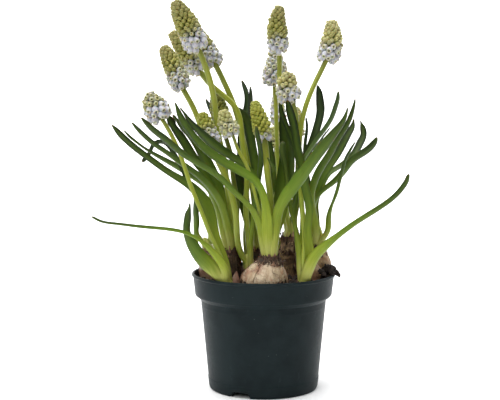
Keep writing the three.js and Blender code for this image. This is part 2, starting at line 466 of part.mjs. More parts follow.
    [50.64, 19.5, 138.76, -0.184, -0.799, 0.572, 4.48],
    [58.16, 23.15, 145.18, -0.223, -0.786, 0.577, 4.86],
    [63.2, 27.27, 153.46, -0.375, -0.781, 0.5, 5.65],
    [64.85, 28.98, 157.39, -0.432, -0.784, 0.445, 4.46],
    [64.35, 30.97, 162.04, -0.474, -0.79, 0.389, 3.86],
    [63.54, 32.16, 164.72, -0.487, -0.792, 0.37, 1.23],
    [63.09, 32.89, 166.45, -0.49, -0.791, 0.366, 0.9],
  ]],
  ['leaf_right_4', 'g', [
    [36.9, 0.55, 86.74, -0.915, 0.402, 0.039, 2.4],
    [36.98, 0.51, 90.46, -0.892, 0.453, 0.01, 2.41],
    [36.01, 0.39, 95.75, -0.814, 0.58, 0.018, 2.41],
    [32.74, -0.22, 102.65, -0.636, 0.769, 0.07, 2.48],
    [30.54, -0.93, 111.84, -0.501, 0.854, 0.143, 2.73],
    [34.96, -1.64, 122.21, -0.443, 0.864, 0.238, 3.35],
    [42.67, -2.65, 128.8, -0.381, 0.871, 0.312, 4.32],
    [49.06, -3.47, 135.35, -0.325, 0.873, 0.363, 5.15],
    [54.53, -4.1, 142.63, -0.276, 0.872, 0.403, 5.47],
    [62.08, -4.89, 147.97, -0.279, 0.873, 0.401, 5.52],
    [64.29, -5.13, 149.61, -0.292, 0.873, 0.39, 5.52],
    [67.69, -5.53, 153.06, -0.319, 0.875, 0.365, 4.91],
    [69.14, -5.74, 155.67, -0.329, 0.875, 0.355, 3.49],
    [69.65, -5.84, 157.55, -0.331, 0.875, 0.353, 1.14],
  ]],
  ['leaf_right_5', 'g', [
    [34.64, -1.45, 86.57, -0.289, 0.956, 0.043, 2.4],
    [35.02, -2.05, 89.79, -0.273, 0.896, 0.35, 2.41],
    [37.17, -3.52, 93.91, -0.339, 0.874, 0.347, 2.38],
    [40.14, -5.36, 99.73, -0.439, 0.822, 0.362, 1.89],
    [40.43, -7.48, 107.09, -0.485, 0.79, 0.376, 1.04],
    [41.65, -9.78, 114.86, -0.488, 0.795, 0.359, 0.9],
    [44.26, -11.8, 122.36, -0.495, 0.803, 0.332, 2.88],
    [46.21, -13.56, 130.15, -0.505, 0.806, 0.309, 2.87],
    [48.04, -15.3, 138, -0.501, 0.805, 0.318, 2.55],
    [50.08, -17.1, 145.68, -0.475, 0.805, 0.356, 2.33],
    [51.81, -18.02, 149.07, -0.461, 0.806, 0.372, 2.32],
    [53.42, -18.81, 152.09, -0.453, 0.806, 0.38, 1.9],
    [54.47, -19.31, 154.01, -0.451, 0.806, 0.383, 1.34],
    [55.08, -19.61, 155.21, -0.45, 0.807, 0.383, 0.9],
  ]],
  ['leaf_right_6', 'd', [
    [30, 1.95, 86.07, 0.999, 0.015, 0.031, 2.4],
    [30.04, 2.2, 89.86, 0.993, 0.1, -0.06, 2.42],
    [30.6, 2.68, 95.29, 0.934, 0.342, -0.098, 2.49],
    [32.79, 2.59, 102.7, 0.712, 0.7, -0.053, 2.82],
    [32.67, 2.41, 111.31, 0.55, 0.835, -0.009, 3.09],
    [30.09, 3.03, 120.37, 0.541, 0.841, -0.012, 3.2],
    [28.01, 4.23, 129.42, 0.546, 0.836, -0.053, 3.12],
    [26.53, 5.85, 138.55, 0.55, 0.827, -0.115, 2.89],
    [25.76, 7.88, 147.61, 0.549, 0.818, -0.17, 2.66],
    [26.53, 10.15, 156.59, 0.547, 0.814, -0.194, 2.64],
    [27.28, 12.05, 163.87, 0.548, 0.815, -0.19, 2],
    [27.05, 12.71, 166.41, 0.548, 0.815, -0.189, 1.78],
    [26.89, 13.1, 167.97, 0.548, 0.815, -0.188, 1.32],
    [26.95, 13.35, 168.95, 0.548, 0.815, -0.188, 1.69],
  ]],
  ['leaf_far_left_1', 'g', [
    [-36.06, 8.54, 81.33, 0.905, 0.424, 0.025, 3.1],
    [-36.27, 8.49, 83.83, 0.846, 0.521, 0.115, 3.13],
    [-37.1, 8.19, 87.02, 0.579, 0.729, 0.366, 3.18],
    [-39.17, 7.36, 91.05, 0.286, 0.905, 0.314, 3.15],
    [-42.34, 5.87, 96.65, 0.282, 0.903, 0.323, 3.51],
    [-42.11, 4.14, 102.86, 0.329, 0.892, 0.311, 4.05],
    [-42.43, 2.28, 108.89, 0.353, 0.884, 0.307, 4.13],
    [-42.3, 0.3, 114.85, 0.342, 0.882, 0.325, 3.83],
    [-42.42, -0.56, 117.49, 0.335, 0.884, 0.327, 3.02],
    [-42.71, -1.25, 119.56, 0.332, 0.885, 0.327, 2.1],
    [-42.84, -1.66, 120.81, 0.331, 0.885, 0.327, 0.94],
  ]],
  ['leaf_buried_right_1', 'o', [
    [21.55, -29.62, 69.38, 0.99, 0.141, 0.025, 3.1],
    [21.27, -29.42, 73.35, 0.966, 0.244, 0.086, 3.13],
    [20.72, -28.79, 79.05, 0.872, 0.488, 0.026, 2.94],
    [20.93, -27.47, 86.93, 0.579, 0.807, -0.113, 2.24],
    [20.28, -25.7, 95.65, 0.388, 0.909, -0.154, 2.06],
    [18.58, -23.88, 105.12, 0.381, 0.916, -0.128, 2.52],
    [16.25, -22.19, 114.48, 0.38, 0.919, -0.102, 2.93],
    [15, -20.55, 123.97, 0.38, 0.92, -0.097, 2.86],
    [13.81, -18.93, 133.33, 0.379, 0.92, -0.101, 2.9],
    [12.44, -17.65, 142.6, 0.378, 0.92, -0.105, 3.58],
    [11.17, -17.27, 149.01, 0.378, 0.92, -0.107, 4.66],
    [11.14, -16.61, 152.27, 0.377, 0.92, -0.108, 4.19],
    [11.19, -16.01, 154.29, 0.377, 0.92, -0.108, 3.65],
    [11.25, -15.23, 155.49, 0.377, 0.92, -0.108, 2.4],
  ]],
  ['leaf_buried_right_2', 'g', [
    [23.47, -27.05, 69.11, 0.143, -0.989, 0.023, 3.1],
    [23.44, -26.82, 74.18, 0.174, -0.983, 0.065, 3.14],
    [23.6, -26.4, 81.5, 0.258, -0.966, 0.036, 3.08],
    [23.5, -25.97, 91.63, 0.396, -0.918, 0.028, 3.07],
    [22.95, -25.52, 102.87, 0.463, -0.884, 0.066, 3.06],
    [22.78, -24.72, 115.26, 0.464, -0.882, 0.087, 3.13],
    [21.69, -23.92, 127.63, 0.463, -0.88, 0.111, 3.32],
    [20.76, -22.9, 139.98, 0.456, -0.875, 0.162, 3.55],
    [18.34, -21.41, 152.05, 0.437, -0.868, 0.236, 3.62],
    [14.1, -19.53, 163.52, 0.415, -0.863, 0.289, 3.57],
    [10.39, -17.74, 173.24, 0.408, -0.862, 0.302, 3.63],
    [9.91, -17.18, 176.34, 0.408, -0.862, 0.302, 2.78],
    [9.67, -16.83, 178.25, 0.408, -0.862, 0.303, 1.6],
    [9.52, -16.61, 179.46, 0.408, -0.862, 0.303, 0.9],
  ]],
  ['leaf_buried_right_3', 'g', [
    [26.05, -28.97, 69.14, -0.989, -0.145, 0.032, 3.1],
    [26.78, -29.05, 74.16, -0.935, -0.303, 0.183, 3.13],
    [27.94, -29.3, 81.43, -0.735, -0.669, 0.107, 3.37],
    [27.12, -29.97, 91.67, -0.088, -0.996, 0.02, 4.27],
    [25.81, -29.91, 103.05, 0.281, -0.959, -0.024, 4.89],
    [26.95, -29.76, 115.24, 0.302, -0.953, -0.02, 5.19],
    [24.75, -30.21, 127.09, 0.312, -0.95, -0.009, 5.31],
    [22.58, -31, 139.25, 0.318, -0.948, 0.017, 5.35],
    [19.92, -31.36, 151.36, 0.304, -0.948, 0.093, 5.04],
    [17.69, -31.09, 163.96, 0.299, -0.947, 0.114, 5.15],
    [15.82, -30.97, 171.31, 0.301, -0.947, 0.108, 5.4],
    [14.58, -30.92, 175.86, 0.302, -0.947, 0.105, 4.67],
    [13.91, -30.91, 178.75, 0.303, -0.947, 0.103, 3.23],
    [13.51, -30.89, 180.5, 0.303, -0.947, 0.103, 0.99],
  ]],
  ['leaf_buried_right_4', 'l', [
    [24.13, -31.55, 69.41, -0.146, 0.989, 0.034, 3.1],
    [24.87, -32.04, 73.5, -0.118, 0.963, 0.241, 3.12],
    [26.76, -33.24, 79.23, -0.163, 0.947, 0.275, 3.48],
    [30.15, -34.92, 86.9, -0.196, 0.918, 0.345, 3.62],
    [36.12, -36.89, 93.91, -0.16, 0.91, 0.383, 3.77],
    [43.78, -38.85, 100.61, -0.125, 0.916, 0.382, 3.89],
    [51.75, -40.47, 107.02, -0.119, 0.921, 0.371, 3.86],
    [60.19, -41.76, 112.83, -0.129, 0.924, 0.36, 3.74],
    [68.95, -42.75, 118.53, -0.162, 0.927, 0.338, 3.71],
    [77.26, -43.45, 125.27, -0.227, 0.93, 0.29, 3.68],
    [81.83, -43.75, 130.83, -0.27, 0.931, 0.245, 3.62],
    [83.6, -43.87, 134.04, -0.283, 0.931, 0.229, 3.24],
    [84.21, -43.93, 136.32, -0.287, 0.931, 0.224, 2.48],
    [84.59, -43.95, 137.71, -0.288, 0.931, 0.223, 1.1],
  ]],
];
const FLOWERS = [
  ['flower_buried_left_1', 'n', 1.28, 7.9, [
    [-22, -30.3, 68.05],
    [-22.4, -30.45, 71.83],
    [-22.99, -31.09, 77.81],
    [-26.09, -32.06, 87.15],
    [-31.56, -33.12, 99.06],
    [-37.48, -33.43, 114.43],
    [-43.6, -32.93, 129.61],
    [-49.16, -31.86, 146.17],
    [-55.35, -30.52, 160.22],
    [-60.87, -29.43, 169.66],
    [-65.41, -28.45, 177.52],
    [-69.07, -27.45, 184.91],
  ]],
  ['flower_left_1', 'n', 1.83, 7.95, [
    [-21.27, -6.3, 84.26],
    [-21.2, -6.29, 88.79],
    [-20.66, -6.15, 95.91],
    [-20.19, -6.07, 107.6],
    [-21.92, -6.49, 123.07],
    [-24.7, -7.84, 142.29],
    [-28.06, -9.99, 161.34],
    [-30.5, -13.42, 181.68],
    [-34.83, -16.54, 199.17],
    [-39.54, -18.7, 211.2],
    [-45.92, -21.1, 225.03],
    [-53.01, -23.37, 238.55],
  ]],
  ['flower_left_2', 'b', 1.51, 6.26, [
    [-20.73, -3.7, 83.79],
    [-20.62, -3.54, 86.66],
    [-20.06, -2.81, 91.1],
    [-18.29, -1.58, 98.23],
    [-16.57, 0.13, 108.06],
    [-16.94, 1.96, 120.41],
    [-19.09, 3.45, 132.58],
    [-20.26, 4.99, 145.66],
    [-23.47, 6.33, 156.74],
    [-25.06, 7.31, 164.79],
    [-27.96, 8.52, 174.75],
    [-29.82, 9.66, 184.94],
  ]],
  ['flower_left_offset_1', 'n', 1.97, 6.12, [
    [-8.86, -7.8, 71.71],
    [-9.15, -7.92, 74.67],
    [-10.67, -8.38, 79.11],
    [-13.98, -9.71, 86.01],
    [-16.2, -12.39, 95.76],
    [-16.85, -15.31, 108.32],
    [-19.16, -16.19, 121.07],
    [-23.4, -15.49, 134.22],
    [-28.39, -15.38, 145.2],
    [-31.27, -15.58, 153.31],
    [-34.58, -15.54, 162.67],
    [-37.62, -15.15, 172.17],
  ]],
  ['flower_left_offset_2', 'n', 2.0, 6.8, [
    [-8.34, -5.2, 74.53],
    [-8.41, -5.15, 79.16],
    [-9, -5.11, 86.4],
    [-9.91, -4.96, 98.31],
    [-11.02, -4.46, 114.2],
    [-10.32, -3.43, 134.06],
    [-13.08, -2.17, 153.8],
    [-17.22, -1.05, 175.2],
    [-31.31, -1.55, 188.37],
    [-39.75, -2.72, 198.62],
    [-47.62, -4.65, 210.14],
    [-56.04, -7.02, 221.21],
  ]],
  ['flower_front_1', 'n', 2.0, 5.85, [
    [4.38, -26.22, 83.73],
    [4.39, -26.14, 86.31],
    [4.26, -25.57, 90.32],
    [3.97, -24.66, 96.88],
    [3.89, -25.13, 105.89],
    [4.16, -24.56, 116.94],
    [3.14, -25.08, 128],
    [1.73, -25.57, 139.75],
    [1.04, -22.69, 149.84],
    [-0.02, -21.98, 157.17],
    [-2.53, -21.15, 168.44],
    [-5.86, -20.21, 179.4],
  ]],
  ['flower_middle_1', 'n', 1.2, 6.84, [
    [-1.97, 13.01, 81.36],
    [-1.46, 12.68, 85.91],
    [-0.19, 11.44, 92.91],
    [3.08, 9.39, 104.15],
    [7.61, 6.65, 119.12],
    [10.85, 3.31, 138.74],
    [11.75, 0.12, 158.25],
    [10.53, -2.97, 178.97],
    [9.64, -5.24, 197.37],
    [9.32, -6.6, 210.44],
    [7.9, -7.74, 223.49],
    [9.48, -8.74, 236.55],
  ]],
  ['flower_front_2', 'n', 1.02, 6.0, [
    [2.22, -27.78, 83.73],
    [2.01, -27.94, 86.49],
    [1.01, -28.87, 90.7],
    [-0.28, -30.76, 97.74],
    [-1.28, -32.42, 107.27],
    [-4.03, -33.47, 118.87],
    [-6.92, -33.2, 130.57],
    [-10.86, -29.74, 142.5],
    [-16.16, -28.44, 152.32],
    [-18.81, -28.53, 159.87],
    [-22.28, -29.01, 166.57],
    [-24.24, -29.69, 173.83],
  ]],
  ['flower_middle_2', 'n', 1.77, 6.55, [
    [-4.63, 12.99, 81.3],
    [-4.76, 12.59, 85.66],
    [-4.76, 10.71, 92.33],
    [-4.69, 8, 103.35],
    [-6.12, 6.64, 118.4],
    [-8.78, 7.21, 137.11],
    [-12.9, 7.73, 155.57],
    [-17.86, 6.9, 175.12],
    [-24.65, 5.26, 191.37],
    [-30.25, 4.24, 202.61],
    [-35.34, 3.65, 211.86],
    [-39.61, 3.15, 221.53],
  ]],
  ['flower_back_right_1', 'n', 1.3, 7.9, [
    [17.73, 17.52, 89.68],
    [17.48, 17.33, 93.2],
    [16.34, 16.64, 98.61],
    [14.58, 15.44, 107.53],
    [11.87, 13.79, 119.32],
    [9.6, 11.89, 134.29],
    [8.66, 10.57, 149.44],
    [8.08, 9.77, 165.64],
    [7.59, 9.39, 179.83],
    [6.87, 9.22, 190.42],
    [7.31, 9.1, 200.47],
    [6.7, 9.03, 210.35],
  ]],
  ['flower_back_right_2', 'w', 1.42, 5.19, [
    [18.37, 20.12, 89.18],
    [18.26, 20.26, 91.91],
    [17.5, 20.97, 96.12],
    [16.31, 22.24, 102.99],
    [14.6, 24.24, 112.06],
    [12.57, 27.05, 123.31],
    [11.08, 30.13, 134.59],
    [10.02, 33.76, 146.6],
    [9.61, 36.8, 157.16],
    [9.74, 38.89, 164.75],
    [9.65, 42, 175.44],
    [9.09, 45.15, 186.09],
  ]],
  ['flower_back_right_3', 'y', 1.42, 4.1, [
    [15.8, 19.36, 89.45],
    [15.67, 19.39, 91.57],
    [15.05, 19.49, 94.86],
    [14.35, 19.81, 100.28],
    [13.2, 20.59, 107.49],
    [11.58, 21.94, 116.33],
    [10.12, 23.47, 125.26],
    [8.89, 25.2, 134.77],
    [8.42, 26.99, 143.08],
    [8.29, 28.4, 149.02],
    [7.38, 29.59, 155.65],
    [6.99, 30.29, 162.4],
  ]],
  ['flower_right_1', 'n', 1.22, 7.4, [
    [33.65, 0.67, 86.31],
    [33.28, 0.45, 89.74],
    [31.66, -0.31, 94.91],
    [29.25, -1.76, 103.24],
    [26.84, -4.58, 114.21],
    [25.08, -8.34, 128.28],
    [22.74, -13.51, 142.71],
    [20.92, -17.82, 158.13],
    [19.36, -20.88, 171.59],
    [16.42, -22.87, 180.81],
    [13.42, -24.26, 188.03],
    [15.22, -25.57, 195.57],
  ]],
  ['flower_right_2', 'y', 1.32, 4.12, [
    [33.55, 3.33, 85.63],
    [33.45, 3.49, 88.19],
    [32.91, 4.32, 92.14],
    [31.85, 5.78, 98.52],
    [30, 7.26, 107.06],
    [27.92, 9.03, 117.8],
    [25.98, 11.19, 128.48],
    [24.18, 13.9, 139.84],
    [23.15, 16.49, 149.81],
    [22.61, 18.43, 156.92],
    [21.94, 20.92, 165.98],
    [21.57, 23.32, 175.11],
  ]],
  ['flower_far_left_1', 'n', 1.74, 7.3, [
    [-34, 9.5, 81.74],
    [-33.89, 9.51, 85.58],
    [-33.66, 9.6, 91.61],
    [-32.95, 9.79, 101.48],
    [-32.64, 10.39, 114.65],
    [-34.12, 11.82, 131.06],
    [-36.11, 13.2, 147.4],
    [-40.04, 12.99, 164.62],
    [-46.02, 13.28, 178.87],
    [-51.35, 14.03, 188.45],
    [-56.57, 15.3, 201.04],
    [-63.05, 16.58, 212.96],
  ]],
  ['flower_buried_right_1', 'n', 1.55, 7.3, [
    [23.8, -29.3, 69.48],
    [23.8, -29.22, 74.32],
    [23.75, -28.86, 81.91],
    [24.55, -27.77, 94.28],
    [23.33, -27.48, 110.88],
    [21.73, -26.11, 131.6],
    [21.15, -23.81, 152.31],
    [24.38, -21.08, 174.4],
    [31.52, -18.76, 192.34],
    [37.54, -17.19, 204.67],
    [40.9, -15.84, 215.74],
    [40.67, -14.52, 227.28],
  ]],
];
const BULBS = {
  A: { rings: [[-16.5, -21, 50, 2.5], [-16.5, -21, 52, 5.5], [-17, -22, 57, 6.5], [-19, -25.2, 61.5, 5.4], [-21.2, -28.8, 64.5, 4.6], [-22, -30.3, 66.3, 4.6], [-22, -30.3, 70.6, 4.35]], cup: [-22, -30.3, 66.7, 3.9] },
  A2: { rings: [[-17.6, -27.3, 62, 1.6], [-17.5, -27.3, 65, 2.8], [-17.3, -27.3, 69, 3], [-17.2, -27.3, 72.5, 2.5], [-16.9, -27.2, 75.5, 1.3], [-16.6, -27.2, 77.4, 0.4]], cup: null },
  B: { rings: [[-21, -6, 56, 2.5], [-21, -6, 58, 6], [-21, -6, 63, 8], [-21.2, -6, 69, 8], [-21.2, -6, 74, 7], [-21.1, -5.8, 79, 6.2], [-21, -5.3, 84, 5.8], [-21, -5, 87, 5.5], [-21, -5, 88, 5.45]], cup: [-21, -5, 82.6, 4.9] },
  K: { rings: [[-10.5, -7, 58, 2], [-10.5, -7, 60, 4.5], [-9.8, -6.8, 65, 5.8], [-9, -6.6, 70, 5.7], [-8.6, -6.5, 74, 5.5], [-8.6, -6.5, 76, 5.4]], cup: [-8.6, -6.5, 71, 4.9] },
  C: { rings: [[0.5, -26.3, 58.3, 3], [0.3, -26.3, 60, 8], [0.2, -26.3, 64, 12.2], [0.2, -26.3, 69, 14.1], [0.3, -26.3, 73.5, 14.2], [0.9, -26.4, 78, 12.2], [1.8, -26.6, 81.3, 9.5], [2.7, -26.85, 83.8, 7.3], [3.25, -27, 86, 5.8], [3.3, -27, 87.2, 5.45]], cup: [3.3, -27, 82.2, 4.9] },
  D: { rings: [[15.8, 20.5, 56, 3], [15.8, 20.5, 58, 7], [15.8, 20.5, 64, 10], [15.8, 20.5, 71, 10.6], [16, 20.3, 78, 10.5], [16.5, 19.9, 84, 9.6], [17, 19.4, 88.6, 7.8], [17.3, 19, 91.4, 6.1], [17.3, 19, 93.2, 5.65]], cup: [17.3, 19, 88.1, 5.05] },
  E: { rings: [[31.5, 2.5, 59, 2.5], [31.8, 2.5, 61, 5], [32.5, 2.5, 66, 7.6], [33.2, 2.5, 71, 8.8], [33.7, 2.5, 76, 9.1], [33.8, 2.4, 80, 8.6], [33.7, 2.2, 84, 6.8], [33.6, 2, 86.5, 5.7], [33.6, 2, 88.7, 5.45]], cup: [33.6, 2, 84.6, 4.9] },
  E2: { rings: [[33.3, -8.6, 66, 1.8], [33.3, -8.8, 68.5, 3.2], [33.3, -9, 72, 3.6], [33.2, -9.2, 75.5, 2.9], [33.1, -9.4, 78, 1.2], [33, -9.5, 79, 0.4]], cup: null },
  F: { rings: [[-31.5, 10, 61, 2.5], [-31.5, 10, 63, 6], [-31.5, 10, 67, 8.6], [-31.5, 10, 72, 9.5], [-31.6, 10, 77, 9.2], [-32.2, 9.9, 81, 7.1], [-33.2, 9.7, 83.5, 5.4], [-34, 9.5, 85.4, 4.45]], cup: [-34, 9.5, 80.8, 3.9] },
  G: { rings: [[18.5, -21.5, 50, 2.5], [18.5, -21.5, 52, 5.5], [19, -22, 57, 6.5], [21.2, -25.5, 62, 5.5], [23.2, -28.4, 66, 4.7], [23.8, -29.3, 68, 4.5], [23.8, -29.3, 71.8, 4.1]], cup: [23.8, -29.3, 68.2, 3.65] },
  H: { rings: [[-2.5, 14, 57, 2.5], [-2.5, 14, 59, 6], [-2.5, 14, 65, 8.4], [-2.5, 14, 72, 8.6], [-2.7, 13.8, 78, 7.3], [-3.1, 13.3, 83, 6], [-3.3, 13, 86, 5.5]], cup: [-3.3, 13, 80.2, 4.9] },
};
// ------------------------------------------------------------------ helpers
const wasm = await Module();
wasm.setup();

function solidOf(geometry) {
  const g = geometry.clone();
  g.deleteAttribute('normal');
  g.deleteAttribute('uv');
  const m = mergeVertices(g, 1e-5);
  return new wasm.Manifold(new wasm.Mesh({
    numProp: 3,
    vertProperties: new Float32Array(m.attributes.position.array),
    triVerts: new Uint32Array(m.index.array),
  }));
}

function geometryOf(solid) {
  const mesh = solid.getMesh();
  const g = new THREE.BufferGeometry();
  g.setAttribute('position', new THREE.BufferAttribute(new Float32Array(mesh.vertProperties), 3));
  g.setIndex(new THREE.BufferAttribute(new Uint32Array(mesh.triVerts), 1));
  return g;
}

// A closed skin over sections of equal point count. `cap` lists the triangles
// that close a section, by the section's own point numbers.
function loft(sections, cap) {
  const n = sections[0].length;
  const position = [];
  for (const section of sections) for (const p of section) position.push(p.x, p.y, p.z);
  const index = [];
  for (let k = 0; k + 1 < sections.length; k++) {
    for (let i = 0; i < n; i++) {
      const a = k * n + i;
      const b = k * n + (i + 1) % n;
      index.push(a, b, b + n, a, b + n, a + n);
    }
  }
  const last = (sections.length - 1) * n;
  for (const [a, b, c] of cap) {
    index.push(a, c, b);
    index.push(last + a, last + b, last + c);
  }
  let volume = 0;
  const at = (i) => new THREE.Vector3(position[3 * i], position[3 * i + 1], position[3 * i + 2]);
  for (let t = 0; t < index.length; t += 3) {
    volume += at(index[t]).dot(at(index[t + 1]).clone().cross(at(index[t + 2])));
  }
  if (volume < 0) for (let t = 0; t < index.length; t += 3) [index[t + 1], index[t + 2]] = [index[t + 2], index[t + 1]];
  const g = new THREE.BufferGeometry();
  g.setAttribute('position', new THREE.Float32BufferAttribute(position, 3));
  g.setIndex(index);
  g.computeVertexNormals();
  return g;
}

const fan = (n) => Array.from({ length: n - 2 }, (_, i) => [0, i + 1, i + 2]);

function ring(x, y, z, r, sides, turn = 0) {
  return Array.from({ length: sides }, (_, i) => {
    const a = turn + i * 2 * Math.PI / sides;
    return new THREE.Vector3(x + r * Math.cos(a), y + r * Math.sin(a), z);
  });
}

const group = new THREE.Group();
function add(name, geometry, color, roughness) {
  const mesh = new THREE.Mesh(geometry, new THREE.MeshStandardMaterial({ color, roughness, metalness: 0 }));
  mesh.name = name;
  group.add(mesh);
}

// ---------------------------------------------------------------------- pot
const wallRadius = (z) => WALL_FOOT_RADIUS + (STEP_RADIUS - WALL_FOOT_RADIUS) * (z - FOOT_BAND_Z) / (STEP_Z - FOOT_BAND_Z);

function potGeometry() {
  const footRadius = wallRadius(0) + FOOT_BAND_PROUD;
  const profile = [
    [0, 0], [HUB_RADIUS, 0], [HUB_RADIUS + 1.2, BASE_RING_Z],
    [FOOT_RING_INNER - 0.8, BASE_RING_Z], [FOOT_RING_INNER, 0],
    [footRadius - 1.1, 0], [footRadius - 0.2, 0.6], [footRadius + 0.05, 1.6],
    [wallRadius(FOOT_BAND_Z) + FOOT_BAND_PROUD, FOOT_BAND_Z - 0.4],
    [wallRadius(FOOT_BAND_Z), FOOT_BAND_Z],
    [STEP_RADIUS, STEP_Z], [BAND_BOTTOM_RADIUS - 0.25, BAND_BOTTOM_Z - 0.3],
    [BAND_BOTTOM_RADIUS, BAND_BOTTOM_Z + 0.4], [BAND_TOP_RADIUS, 70.9],
    [RIM_RADIUS - 0.12, 71.3], [RIM_RADIUS, 72.0], [RIM_RADIUS - 0.5, POT_HEIGHT],
    [RIM_RADIUS - 1.6, POT_HEIGHT], [BAND_TOP_RADIUS - WALL, 71.2],
    [BAND_BOTTOM_RADIUS - WALL, BAND_BOTTOM_Z + 0.6], [STEP_RADIUS - WALL, STEP_Z + 0.6],
    [wallRadius(FLOOR_Z) - WALL, FLOOR_Z], [HUB_RADIUS + 0.4, FLOOR_Z],
    [HUB_RADIUS - 0.8, 1.2], [0, 1.2],
  ].map(([r, z]) => new THREE.Vector2(r, z));
  const lathe = new THREE.LatheGeometry(profile, POT_SIDES);
  lathe.rotateX(Math.PI / 2);
  let pot = solidOf(lathe);
  if (pot.volume() < 0) throw new Error('pot profile runs the wrong way');

  const shape = new THREE.Shape([
    new THREE.Vector2(-NOTCH_FOOT_WIDTH / 2, -1),
    new THREE.Vector2(NOTCH_FOOT_WIDTH / 2, -1),
    new THREE.Vector2(NOTCH_FOOT_WIDTH / 2 - 0.4, NOTCH_HEIGHT * 0.6),
    new THREE.Vector2(NOTCH_TOP_WIDTH / 2 + 0.6, NOTCH_HEIGHT),
    new THREE.Vector2(-NOTCH_TOP_WIDTH / 2, NOTCH_HEIGHT),
    new THREE.Vector2(-NOTCH_FOOT_WIDTH / 2 + 0.6, NOTCH_HEIGHT * 0.35),
  ]);
  for (let k = 0; k < NOTCH_COUNT; k++) {
    const cutter = new THREE.ExtrudeGeometry(shape, { depth: 6, bevelEnabled: false });
    cutter.rotateX(Math.PI / 2);                       // width X, height Z, depth -Y
    cutter.translate(0, -29.8, 0);
    cutter.rotateZ(THREE.MathUtils.degToRad(NOTCH_ANGLE + 90 + k * 360 / NOTCH_COUNT));
    pot = pot.subtract(solidOf(cutter));
  }
  for (let k = 0; k < DRAIN_COUNT; k++) {
    const a = (k + 0.5) * 2 * Math.PI / DRAIN_COUNT;
    const hole = new THREE.CylinderGeometry(DRAIN_RADIUS, DRAIN_RADIUS, 6, 10);
    hole.rotateX(Math.PI / 2);
    hole.translate(DRAIN_CIRCLE * Math.cos(a), DRAIN_CIRCLE * Math.sin(a), 3);
    pot = pot.subtract(solidOf(hole));
  }
  return geometryOf(pot);
}
add('pot', potGeometry(), 0x2d3436, 0.45);

// -------------------------------------------------------------------- bulbs
// A bulb is a stack of level rings from its base to its collar, then down into
// the neck, which is open so that its leaves and scape stand in it.
function bulbSolid({ rings, cup }, grow = 0, bore = true) {
  const sections = rings.map(([x, y, z, r], i) => ring(x, y, z - (i === 0 ? grow : 0), r + grow, BULB_SIDES));
  if (cup && bore) {
    const [x, y, z, r] = cup;
    const top = rings[rings.length - 1];
    sections.push(ring(top[0], top[1], top[2], r + 0.15, BULB_SIDES));
    sections.push(ring(x, y, z, r, BULB_SIDES));
  } else if (grow) {
    const top = rings[rings.length - 1];
    sections.push(ring(top[0], top[1], top[2] + grow, top[3] + grow, BULB_SIDES));
  }
  return solidOf(loft(sections, fan(BULB_SIDES)));
}
const joined = (a, b) => geometryOf(bulbSolid(BULBS[a]).add(bulbSolid(BULBS[b])));

add('bulb_front', geometryOf(bulbSolid(BULBS.C)), 0xb39776, 0.6);
add('bulb_left', joined('B', 'K'), 0x4a3426, 0.7);
add('bulb_far_left', geometryOf(bulbSolid(BULBS.F)), 0xa58067, 0.6);
add('bulb_middle', geometryOf(bulbSolid(BULBS.H)), 0x513a2a, 0.7);
add('bulb_back_right', geometryOf(bulbSolid(BULBS.D)), 0x44312a, 0.7);
add('bulb_right', joined('E', 'E2'), 0xb08d68, 0.6);
add('bulb_buried_left', joined('A', 'A2'), 0x9a7463, 0.6);
add('bulb_buried_right', geometryOf(bulbSolid(BULBS.G)), 0x9c7b5c, 0.6);

// --------------------------------------------------------------------- soil
function soilGeometry() {
  const spokes = 24;
  const radii = [6, 15, 24, 31, 36.5, 40.2];
  const height = (r, a) => {
    const x = r * Math.cos(a), y = r * Math.sin(a);
    const heapA = THREE.MathUtils.degToRad(HEAP_ANGLE);
    const hx = x - HEAP_RADIUS * Math.cos(heapA), hy = y - HEAP_RADIUS * Math.sin(heapA);
    const heap = HEAP_HEIGHT * Math.exp(-(hx * hx + hy * hy * 0.6) / 40);
    const lumps = 0.7 * Math.sin(x * 0.45 + 1.3) * Math.cos(y * 0.38) + 0.5 * Math.sin(x * 0.21 - y * 0.33 + 0.4);
    return SOIL_LEVEL + lumps + heap + 0.03 * y;
  };
  const flat = (r, z) => ring(0, 0, z, r, spokes);
  const sections = [
    flat(wallRadius(4) - WALL - SOIL_GAP - 0.6, FLOOR_Z + 0.35),
    flat(STEP_RADIUS - WALL - SOIL_GAP - 0.2, STEP_Z + 0.2),
    flat(BAND_BOTTOM_RADIUS - WALL - SOIL_GAP - 0.4, BAND_BOTTOM_Z + 2.0),
    flat(BAND_TOP_RADIUS - WALL - SOIL_GAP - 0.75, SOIL_LEVEL - 2.8),
  ];
  for (const r of [...radii].reverse()) {
    sections.push(Array.from({ length: spokes }, (_, i) => {
      const a = i * 2 * Math.PI / spokes;
      return new THREE.Vector3(r * Math.cos(a), r * Math.sin(a), height(r, a));
    }));
  }
  let soil = solidOf(loft(sections, fan(spokes)));
  for (const key of Object.keys(BULBS)) soil = soil.subtract(bulbSolid(BULBS[key], BULB_GAP, false));
  const pieces = soil.decompose().sort((a, b) => b.volume() - a.volume());
  return geometryOf(pieces[0]);
}
add('soil', soilGeometry(), 0x2a211b, 0.95);

// ------------------------------------------------------------------- leaves
// A leaf section is a shallow channel: two thin edges lifted towards the inner
// face, and a fleshy middle.
const LEAF_CAP = [[0, 1, 5], [1, 2, 4], [1, 4, 5], [2, 3, 4]];
const mix = (a, b, t) => a + (b - a) * t;

